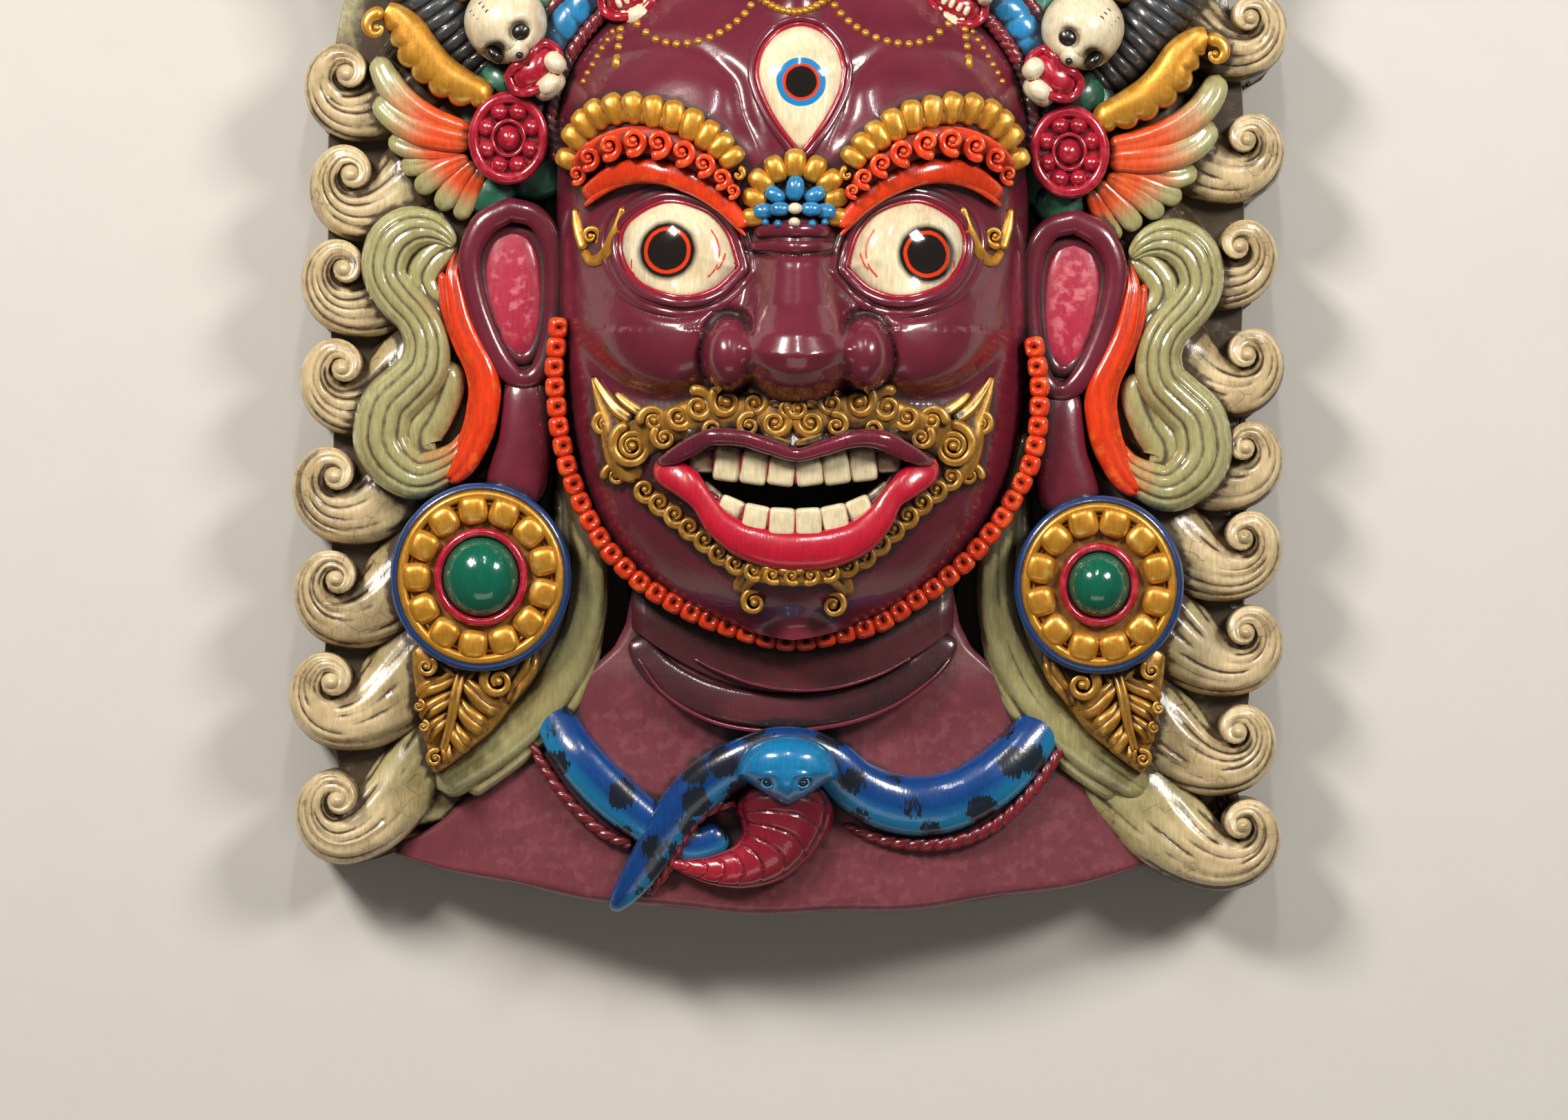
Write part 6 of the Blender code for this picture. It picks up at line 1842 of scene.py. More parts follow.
@dataclass
class Mouth:
    """Lips, two rows of teeth, gilded moustache and beard scrolls."""

    head: Head
    upper: Rows = ((-86, -155.7, 2.6, 176), (-75.5, -151.2, 5.3, 186), (-62.3, -143.8, 6.3, 193),
        (-51.7, -138.5, 5.8, 199), (-41.2, -137.7, 5.8, 201), (-28, -139.1, 5.5, 203),
        (-9.6, -144.9, 5.3, 204), (7, -149.9, 4.5, 204), (24.6, -145.4, 5.3, 204),
        (40.4, -140.4, 5.5, 203), (54.9, -138.5, 6.3, 201), (66.8, -141.2, 6.8, 199),
        (78.6, -147.2, 6.3, 193), (89.2, -152.2, 4.7, 186), (98.4, -155.7, 2.1, 176))
    lower: Rows = ((-86.8, -153.9, 3.6, 170), (-79.6, -160.3, 8.6, 180), (-66.8, -168.2, 9.3, 186),
        (-55.4, -181, 7.1, 188), (-44.7, -195.3, 8.6, 190), (-27.5, -206.7, 10.7, 192),
        (-7.9, -212.4, 11.8, 194), (8.2, -213.8, 12.1, 195), (29.6, -211.7, 11.8, 194),
        (49.6, -203.8, 10.7, 192), (62.4, -191.7, 8.6, 190), (70.2, -178.9, 7.1, 188),
        (81, -168.9, 8.9, 186), (92.4, -160.3, 8.6, 180), (99.5, -152.5, 3.6, 170))
    opening: Rows = ((-68.1, -155.7), (-59.6, -147.8), (-43.8, -143.8), (-28, -143.8),
        (-9.6, -149.1), (7, -153), (24.6, -149.1), (43.1, -145.1), (58.9, -145.9), (70.7, -150.4),
        (74.7, -155.7), (66.8, -170.1), (56.2, -183.3), (43.1, -191.2), (24.6, -197.8), (7, -199.9),
        (-12.2, -197.8), (-30.7, -191.2), (-43.8, -180.7), (-57, -170.1))
    beard: Rows = ((-93.9, -172.8), (-88.1, -178), (-80.7, -183.8), (-74.1, -189.1),
        (-67.6, -194.4), (-62.3, -199.1), (-57, -203.1), (-52.3, -207.5), (-47.5, -212),
        (-42.3, -216.2), (-35.9, -220.2), (-29.4, -223.9), (-22.2, -226.5), (-14.3, -228.3),
        (-6.4, -229.7), (1.5, -230.2), (9.4, -230.2), (17.3, -229.7), (25.2, -228.3),
        (33.1, -226.2), (40.4, -223.6), (47.3, -220.2), (53.1, -216.2), (58.3, -211.8),
        (63.1, -207), (67.8, -202.3), (73.1, -197.3), (78.4, -192.3), (84.2, -186.7),
        (89.9, -180.9), (96.3, -175.4), (103.1, -169.9), (110, -164.3))

    def teeth(self) -> None:
        """Carves eight blocks above and eight below, close to one another."""
        ivory = Form("teeth", Finishes.TOOTH)
        gums = Form("gums", Finishes.CRIMSON, 60.0)
        upper_top = ((-64.2, -153.7), (-54.1, -147.7), (-44, -145.4), (-19.3, -149.1), (6, -155.5),
            (31.2, -149.1), (56, -145.4), (66.1, -147.7), (76.2, -153.7))
        upper_base = ((-64.2, -156.4), (-54.1, -161.9), (-44, -165.6), (-19.3, -168.4), (6, -169.3),
            (31.2, -168.4), (56, -165.6), (66.1, -161.9), (76.2, -156.4))
        lower_top = ((-58.7, -166.5), (-45.9, -175.7), (-29.8, -182.1), (-11.5, -185.8),
            (6, -186.7), (23.9, -185.8), (42.2, -182.1), (57.8, -175.7), (70.7, -166.5))
        lower_base = ((-58.7, -175.7), (-45.9, -188.5), (-29.8, -195.9), (-11.5, -200), (6, -200.9),
            (23.9, -200), (42.2, -195.9), (57.8, -188.5), (70.7, -175.7))
        for top, base, tag in ((upper_top, upper_base, 1), (lower_top, lower_base, -1)):
            top_line, base_line = smooth_path(top, 81), smooth_path(base, 81)
            for i in range(8):
                a, b = 10 * i + 0.15, 10 * i + 9.85
                at = [np.array([np.interp(k, np.arange(81), line[:, j]) for j in (0, 1)])
                    for line in (top_line, base_line) for k in (a, b)]
                middle = sum(at) / 4
                wide = (np.linalg.norm(at[1] - at[0]) + np.linalg.norm(at[3] - at[2])) / 4
                tall = (np.linalg.norm(at[0] - at[2]) + np.linalg.norm(at[1] - at[3])) / 4
                lean = math.atan2(*(at[1] - at[0])[::-1]) * 0.5 + math.atan2(
                    *(at[3] - at[2])[::-1]) * 0.5
                share = (i - 3.5) / 3.5
                z = 184 - 16 * share * share
                tall += 2.6
                spot = (middle[0], middle[1] + tag, z - 4)
                ivory.dome(spot, (wide * 1.05, tall, 12), lean, 0.3, 16, 32)
                if i:
                    line = [(*spot, 0.8, z + 6.5) for spot in (at[0], (at[0] + at[2]) / 2, at[2])]
                    gums.sweep(line, 8, 8, z - 6, 0.6)
            rows = [(x, y + tag * 1.0, 7.0, 178 - 16 * ((x - MIDDLE) / 62) ** 2) for x,
                y in (top if tag > 0 else base)]
            gums.sweep(rows, 60, 12, 140.0, 0.6)

    def scrolls(self) -> None:
        """Carves the moustache and the beard from curls of many sizes."""
        gold = Form("moustache", Finishes.OLD_GOLD, 46.0)
        for sign in (-1, 1):

            def seat(rows: Rows, lift: float) -> list[tuple[float, ...]]:
                """Rows on this side, seated on the face."""
                rows = np.array(rows, float) if sign < 0 else mirrored(rows)
                return [(*row, float(self.head.at(row[0], row[1])) + lift) for row in rows]

            big = seat(((-102.5, -143.9),), 9.0)[0]
            gold.curl(big[:2], 14.6, -sign, 100, big[2] + 2.0, 2.5, drop=24, count=110, ease=0.088,
                fill=0.92)
            for row, size, heading, spin in ((((-88.2, -126.8),), 8.6, 200, 1),
                (((-81.1, -138.2),), 7.4, 120, -1), (((-71.8, -124.3),), 8.6, 20, 1),
                (((-58.6, -117.8),), 10.4, 120, 1), (((-39.7, -114.6),), 11.2, 60, -1),
                (((-21.1, -115.3),), 9.0, 120, 1), (((-24.7, -130.3),), 7.4, 60, -1),
                (((-7.5, -128.2),), 9.0, 40, 1), (((-48.9, -132.5),), 7.4, 0, 1),
                (((-113.2, -163.5),), 7.6, 200, 1), (((-121, -129.6),), 7.0, 90, -1),
                (((1, -118.9),), 7.6, 90, 1)):
                x, y, z = seat(row, 9.0)[0]
                turn = heading if sign < 0 else 180 - heading
                gold.curl((x, y), size * 1.22, spin * sign, turn, z, 1.5, drop=20, count=54,
                    sides=10, ease=0.13, fill=0.9)
            flames = (((-102.5, -126.8, 4.3), (-113.2, -118.9, 5), (-121.7, -108.2, 2.9),
                (-128.2, -97.5, 1.1)), ((-95.3, -122.5, 3.6), (-106, -115.3, 3.2),
                (-113.9, -108.2, 1.4)), ((-71.8, -136.8, 4.3), (-79.6, -133.2, 4.3),
                (-84.6, -126.8, 2.5)), ((-66.8, -129.6, 3.6), (-62.5, -135.3, 3.2),
                (-68.9, -142.5, 1.8)), ((-48.9, -122.5, 3.2), (-48.9, -110.3, 2.9),
                (-43.2, -104.6, 1.8)), ((-31.1, -124.3, 3.2), (-29, -111.8, 2.9),
                (-23.2, -107.5, 1.8)), ((-13.3, -118.9, 3.2), (-6.1, -115.3, 2.9), (4.2, -122.5,
                1.8)), ((-16.1, -136.8, 2.9), (-6.1, -140.3, 2.9), (3.2, -142.5, 1.8)))
            for rows in flames:
                gold.sweep(seat(rows, 5.0), 40, 12, 120.0, 0.6, vein_cut(0.9))
            bed = ((-116, -147.5, 10.7), (-98.9, -140.3, 14.3), (-79.3, -131.4, 12.1),
                (-59.6, -124.6, 12.8), (-39.7, -121.1, 12.8), (-20.4, -122.5, 12.8),
                (-6.1, -128.2, 12.1), (6.4, -131.8, 10.7))
            gold.sweep(seat(bed, 6.4), 60, 18, 120.0, 0.25)
            leaf = ((-128.9, -97.5, 1.1), (-123.2, -111.8, 5), (-116, -126.8, 9.3),
                (-109.6, -141, 13.6), (-103.9, -155.3, 14.3), (-98.9, -168.2, 6.4))
            gold.sweep(seat(leaf, 5.6), 60, 18, 120.0, 0.35, vein_cut(1.0))
        bed = [(x, y, 7.0, float(self.head.at(x, y)) + 4.0) for x, y in self.beard]
        gold.sweep(bed, 120, 12, 110.0, 0.5)
        for x, y in smooth_path(self.beard, 20):
            sign = -1 if x < MIDDLE else 1
            z = float(self.head.at(x, y)) + 7.5
            size = 6.6 + 2.6 * min(1.0, abs(x - MIDDLE) / 60)
            gold.curl((x, y), size, sign, -40 if sign < 0 else 220, z, 1.2, drop=14, count=36,
                sides=9, ease=0.15)
        for x, y in ((-22.8, -222.8), (-12.2, -225.4), (-1.7, -227), (8.8, -227), (19.4, -226),
            (29.9, -223.9)):
            gold.dome((x, y, float(self.head.at(x, y)) + 3), (4.4, 3.6, 4), rings=8, spokes=14)
        for sign, eye in ((-1, (-21.1, -248.2)), (1, (31.2, -250))):
            z = float(self.head.at(*eye)) + 9.0
            side = sign * 9.0
            stem = [(x, y, half, float(self.head.at(x, y)) + 6.0) for x, y,
                half in ((eye[0] - side * 1.3, eye[1] + 26, 3.0),
                (eye[0] - side * 0.4, eye[1] + 22, 5.4), (eye[0] + side * 0.7, eye[1] + 15, 6.4),
                (eye[0] + side * 1.1, eye[1] + 5, 5.4))]
            gold.sweep(stem, 30, 16, 120.0, 0.4, vein_cut(0.9))
            gold.curl(eye, 10.0, -sign, 60 if sign < 0 else 120, z, 1.35, drop=34, count=54,
                ease=0.13)

    def build(self) -> None:
        """Carves the mouth."""
        lips = Form("upper_lip", Finishes.UPPER_LIP, 60.0)
        lips.sweep(self.upper, 150, 24, 150.0, 0.62)
        low = Form("lower_lip", Finishes.LIP, 60.0)
        rows = np.array(self.lower, float)
        rows[:, 2] *= 1.14
        low.sweep(rows, 150, 28, 150.0, 0.45, span=(0, 0))
        edge = np.array(self.opening, float)
        rim = Form("lip_rims", Finishes.CRIMSON, 60.0)
        ring = np.vstack([edge, edge[:1]])
        z = 188 - 16 * ((ring[:, 0] - MIDDLE) / 66) ** 2
        rim.sweep(np.column_stack([ring, np.full(len(ring), 2.2), z]), 130, 10, 165.0, 0.6,
            wrap=True)
        self.teeth()
        self.scrolls()


@dataclass
class JawBeads:
    """Rounded beads on a cord along the jaw, each with an eye and a slit."""

    head: Head
    line: Rows = ((-151.1, -58.5), (-152.7, -75.7), (-154.2, -92.4), (-153.2, -110.6),
        (-151.6, -128.9), (-148.5, -144.5), (-144.8, -160.2), (-139.6, -173.8), (-134.4, -186.3),
        (-127.1, -199.8), (-118.7, -212.4), (-107.3, -224.9), (-95.3, -235.8), (-82.2, -244.2),
        (-69.2, -251.5), (-53.5, -258.8), (-37.9, -264.5), (-14.4, -271.3), (6.4, -273.9),
        (29.9, -270.3), (56, -264), (70.1, -257.2), (82.1, -248.9), (96.2, -240), (108.2, -230.6),
        (121.2, -219.1), (131.6, -207.1), (142.1, -194.1), (149.9, -181.1), (157.2, -168), (162.9,
        -155), (166.6, -139.3), (168.2, -123.7), (168.7, -110.6), (168.2, -97.6), (164.5, -71.5))
    count: int = 45

    @staticmethod
    def hole(p: Array) -> Array:
        """The eye of a bead and the slit that opens it towards the face.

        Args:
            p: Points about the middle of a bead.

        Returns:
            Depth in millimetres.
        """
        x, y = p[..., 0], p[..., 1] - 0.6
        slit = np.exp(-((x / 1.1) ** 4)) * np.clip(y, 0, 1) * 2.6
        eye = 5.0 * np.exp(-((np.hypot(x, y) / 2.6) ** 4))
        return (eye + slit) * np.clip(p[..., 2] / 2.0, 0, 1)

    def build(self) -> None:
        """Carves the cord and its beads."""
        form = Form("jaw_beads", Finishes.FLAME, 46.0)
        line = smooth_path(self.line, 2 * self.count + 1)
        cord = np.column_stack([line, np.full(len(line), 3.6), np.full(len(line), 112.0)])
        form.sweep(cord, 150, 10, 60.0, 0.6)
        run = np.gradient(line, axis=0)
        for k in range(1, 2 * self.count, 2):
            x, y = line[k]
            angle = math.atan2(run[k][1], run[k][0])
            form.dome((x, y, 117.0), (7.1, 6.8, 8.0), angle, 0.62, 20, 38, self.hole)


@dataclass
class Bust:
    """Neck and breast: a worn plank with two rings at the throat."""

    def build(self) -> None:
        """Carves the bust and its throat rings."""
        form = Form("bust", Finishes.BUST)
        rings = []
        for share in np.linspace(0.0, 1.0, 84):
            y = -195.0 - 260.0 * share
            spread = float(np.interp(y, (-455, -425, -309, -294, -278, -262, -240, -195),
                (266, 264, 153, 137, 119, 111, 107, 100)))
            x = spread * np.sin(np.linspace(-0.5 * math.pi, 0.5 * math.pi, 81))
            side = np.abs(x) / 270.0
            fade = max(0.0, (share - 0.746) / 0.254)
            low = y + 40 * fade**1.3 * side**2 + 1.2 * fade * np.sin(x / 17.0)
            front = 46 + 46 * np.clip(1 - side**2, 0, 1)
            front = front + 5 * math.exp(-(((share - 0.408) / 0.085) ** 2)) * (1 - side)
            front = front - 3 * max(0.0, 1 - share / 0.3)
            edge = np.clip((spread - np.abs(x)) / 5.0, 0, 1) * np.clip((1 - share) / 0.02, 0, 1)
            front = front - 4 * (1 - np.sqrt(np.clip(edge, 0, 1)))
            top = np.column_stack([x + MIDDLE, low, front])
            foot = np.column_stack([x[::-1] + MIDDLE, low[::-1], np.full(81, 6.0)])
            rings.append(np.vstack([top, foot]))
        form.loft(np.array(rings))
        collar = Form("throat_band", Finishes.COLLAR)
        band = ((-98.4, -268.4, 9.4, 90), (-91.8, -285.4, 10.5, 93), (-78, -299.2, 11.3, 96),
            (-53.2, -311.9, 11.8, 99), (-25.7, -318.2, 12.1, 101), (1.8, -319.9, 12.1, 101.5),
            (29.4, -318.2, 12.1, 101), (59.6, -310.8, 11.8, 99), (85.8, -295.9, 11.3, 96),
            (100.9, -281.6, 10.5, 93), (107, -266.7, 9.4, 90))
        collar.sweep(band, 120, 24, 50.0, 0.18)
        # The neck is painted dark all over: painted shade under the chin.
        neck = Form("neck", Finishes.NECK)
        rows = []
        for share in np.linspace(0.0, 1.0, 40):
            x = 107.0 * np.sin(np.linspace(-0.5 * math.pi, 0.5 * math.pi, 81))
            y = -192.0 - share * (116.0 - 24.0 * (x / 80.0) ** 2)
            front = 50 + 50 * np.clip(1 - (x / 270.0) ** 2, 0, 1) - 12 * max(0.0, 1 - share / 0.8)
            front = front - 5 * (1 - np.sqrt(np.clip((107.0 - np.abs(x)) / 8.0, 0, 1)))
            top = np.column_stack([x + MIDDLE, y, front + 2.0])
            rows.append(
                np.vstack([top, np.column_stack([x[::-1] + MIDDLE, y[::-1], np.full(81, 8.0)])]))
        neck.loft(np.array(rows))
        rings = Form("throat_rings", Finishes.FACE)
        for rows in (((-98.4, -285.4, 0.8, 100), (-82.1, -308, 1.1, 105), (-56, -324.5, 1.4, 108),
            (-28.4, -332.2, 1.5, 110), (4.6, -333.3, 1.5, 110), (40.4, -328.4, 1.5, 110),
            (72, -316.8, 1.4, 108), (98.2, -298.1, 1.1, 105), (109.7, -284.3, 0.8, 100)),
            ((-61.5, -285.4, 0.8, 103), (-45, -293.7, 1.1, 107), (-20.2, -302.5, 1.2, 110),
            (7.3, -306.4, 1.2, 110), (34.9, -304.2, 1.2, 110), (62.4, -295.9, 1.1, 107),
            (83, -284.9, 0.8, 103))):
            rings.sweep(rows, 120, 12, 60.0, 0.6)


@dataclass
class Serpent:
    """A spotted serpent knotted on the breast, its red hood spread in front."""

    z: float = 112.0

    def build(self) -> None:
        """Carves the body, the hood and the head."""
        body = Form("serpent_body", Finishes.BLUE)
        right = ((-116.5, -452.8, 3.9, 86), (-108.3, -442.9, 8.3, 96), (-98.4, -429.7, 11.6, 102),
            (-87.9, -414.3, 13.8, 108), (-78, -397.8, 14.9, 114), (-66.4, -381.2, 16, 119),
            (-52.1, -367.5, 16.5, 123), (-36.7, -357.6, 16, 126), (-21.6, -349.9, 14.9, 127),
            (-5.9, -344.4, 13.8, 126), (12.8, -346.6, 14.9, 124), (30.7, -355.4, 16, 121),
            (45.9, -369.1, 17.6, 118), (62.9, -378.5, 19.3, 115), (81.7, -382.9, 20.1, 112),
            (100.9, -382.1, 20.4, 110), (120.2, -375.7, 19.8, 108), (137.3, -365.3, 19.3, 106),
            (152.7, -351.5, 18.2, 101), (165.3, -336.1, 16.5, 94), (175.8, -320.7, 14.3, 84),
            (183.5, -306.9, 12.1, 72))
        left = ((-170.5, -298.7, 9.9, 70), (-163.3, -310.8, 12.1, 80), (-151.2, -330.6, 14.3, 94),
            (-141.3, -347.1, 15.4, 103), (-127.5, -363.6, 16, 106), (-112.7, -377.9, 16, 107),
            (-97.3, -390.6, 14.9, 107), (-82.1, -400.5, 13.8, 106), (-67, -408.8, 12.7, 105),
            (-53.2, -407.7, 12.1, 104), (-39.5, -400, 11, 103))
        body.sweep(left, 140, 30, 40.0, 0.6)
        body.sweep(right, 300, 34, 40.0, 0.6)
        belly = Form("serpent_belly", Finishes.DARK_RED)
        for rows, seed in ((((36.5, -394.5, 2.5, 92), (56.3, -403.3, 4.1, 95),
            (78.4, -408.2, 4.7, 96), (100.9, -408.8, 4.7, 96), (123.5, -403.8, 4.7, 95),
            (145, -391.7, 4.7, 94), (163.7, -373, 4.4, 92), (177.5, -353.7, 4.1, 88),
            (184.6, -340.5, 2.8, 84)), 170), (((-169.4, -341.6, 2.5, 84), (-161.1, -357, 3.9, 88),
            (-149, -374.6, 4.1, 91), (-134.7, -390, 4.1, 93), (-119.3, -402.2, 4.1, 94),
            (-102.2, -409.9, 3.3, 94)), 110), (((-32.9, -381.8, 2.5, 110), (-45.5, -384, 3.6, 112),
            (-57.6, -390.6, 3.9, 112), (-66.4, -401.6, 3.9, 110), (-73, -414.3, 3.6, 106),
            (-80.8, -428.6, 3.3, 100), (-92.3, -442.4, 2.5, 90)), 110)):
            belly.sweep(rows, seed, 16, 40.0, 0.55, rope_cut(9.5, 1.6, 0.35))
        # The hood's red darkens towards the head: painted shadow under the head.
        hood = Form("serpent_hood", Finishes.HOOD)
        rows = ((-76.3, -421.4, 2.8, 104), (-63.1, -424.5, 6.1, 107), (-47.2, -426.1, 10.5, 111),
            (-29.5, -423.6, 15.4, 115), (-14.7, -415.4, 21.5, 119), (-5.9, -403.3, 28.1, 122),
            (-2, -390.6, 33.6, 125), (-0.9, -378.5, 36.3, 127), (-0.4, -369.1, 35.8, 128),
            (0.7, -360.9, 31.9, 128))

        def ribs(walked: Array, side: Array, half: Array) -> Array:
            """Bowed cross ribs between two flat rims.

            Args:
                walked: Distance along.
                side: Place across from -1 to 1.
                half: Half width.

            Returns:
                Depth in millimetres.
            """
            phase = (walked + 9.0 * side**2) / 12.0
            inner = np.clip((0.87 - np.abs(side)) / 0.05, 0, 1)
            notch = np.clip(1 - np.abs(phase - np.round(phase)) / 0.12, 0, 1)
            rim = np.exp(-(((np.abs(side) - 0.84) / 0.04) ** 2))
            return 1.5 * notch * inner + 1.6 * rim + 0 * half

        hood.sweep(rows, 150, 60, 60.0, 0.75, ribs)
        head = Form("serpent_head", Finishes.HEAD_BLUE)
        x, y = 0.7, -355.9
        outline = smooth_path(((-33.1, -363.1), (-31.5, -353.7), (-24.6, -344.4), (-13, -338.6),
            (0.7, -336.6), (15, -338.6), (26.6, -344.4), (32.9, -353.7), (34.6, -363.1),
            (28.3, -367.5), (18.3, -373.5), (8.4, -379.6), (0.7, -382.3), (-7, -379.6),
            (-16.3, -373.5), (-26.2, -367.5), (-33.1, -363.1)), 90)[:-1]
        middle = np.array([x, y + 1.0])
        rings = []
        for share in (1.0, *np.sin(np.linspace(0.5 * math.pi, 0.02, 26))):
            flat = middle + (outline - middle) * share
            lift = 24.0 * math.sqrt(max(0.0, 1 - share**2.4))
            dx, dy = flat[:, 0] - x, flat[:, 1] - y
            z = 124.0 + lift + 2.0 * bump(dx, dy, 0, -16, 9, 14)
            for u in (-13.0, 10.5):
                z = z - 2.8 * bump(dx, dy, u, -12.5, 5.4, 3.6, 1.6)
                z = z + 1.8 * bump(dx, dy, u, -6.5, 6.5, 1.8)
            for u in (-6.0, 5.0):
                z = z - 2.0 * bump(dx, dy, u, -22.5, 1.5, 1.5)
            rings.append(np.column_stack([flat, z]))
        rings[0][:, 2] -= 40.0
        head.loft(np.array(rings))
        skin = np.vstack(rings[1:])
        eyes = Form("serpent_eyes", Finishes.BLACK)
        lids = Form("serpent_eye_rims", Finishes.SKY)
        for u in (-13.0, 10.5):
            spot = np.array([x + u, y - 12.2])
            level = float(skin[np.argmin(np.hypot(*(skin[:, :2] - spot).T)), 2])
            eyes.dome((*spot, level + 0.2), (3.1, 2.4, 2.0), rings=10, spokes=18)
            lids.hoop(spot, 3.9, 0.8, level + 1.0, 0.78)
            for side in (-1, 1):
                near = (spot[0] + side * 3.6, spot[1], 0.7, level + 1.3)
                far = (spot[0] + side * 6.6, spot[1] + 1.4, 0.35, level + 2.2)
                eyes.sweep((near, far), 10, 6, level - 4, 0.6)


@dataclass
class WoodBack:
    """The bare wood of the block, seen from behind and inside the hollow."""

    longest_edge: float = 0.011
    front_z: float = 0.02
    flat_z: float = 0.0005
    pull_in: float = 0.004
    under_paint: float = 0.006
    lowest_z: float = 0.0003
    rounds: int = 3

    def build(self, roof: Callable[[Array, Array], Array]) -> bpy.types.Object:
        """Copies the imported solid, merges it and draws its front in under the paint.

        Args:
            roof: Lowest carving near a place, in millimetres.

        Returns:
            The object.
        """
        body = bpy.data.objects.new("wood_back", bpy.data.objects[NODE].data.copy())
        bpy.context.scene.collection.objects.link(body)
        work = bmesh.new()
        work.from_mesh(body.data)
        bmesh.ops.remove_doubles(work, verts=work.verts, dist=1e-6)
        bmesh.ops.recalc_face_normals(work, faces=work.faces)
        work.normal_update()
        for _ in range(self.rounds):
            long = [edge for edge in work.edges if edge.calc_length() > self.longest_edge
                and max(vert.co.z for vert in edge.verts) > self.front_z]
            bmesh.ops.subdivide_edges(work, edges=long, cuts=1)
            bmesh.ops.triangulate(work, faces=[face for face in work.faces if len(face.verts) > 4])
        work.normal_update()
        for vert in work.verts:
            if vert.co.z < self.flat_z:
                continue
            push = vert.normal * -self.pull_in
            vert.co += Vector((push.x, push.y, min(push.z, 0.0)))
            x, y = vert.co.x / MM, vert.co.y / MM
            low = float(roof(np.array([x]), np.array([y]))[0]) * MM
            vert.co.z = max(min(vert.co.z, low - self.under_paint), self.lowest_z)
        work.to_mesh(body.data)
        work.free()
        for name in ("along", "across", "cut", "wash_and_shade", "proud"):
            body.data.attributes.new(name, "FLOAT", "POINT")
        return body


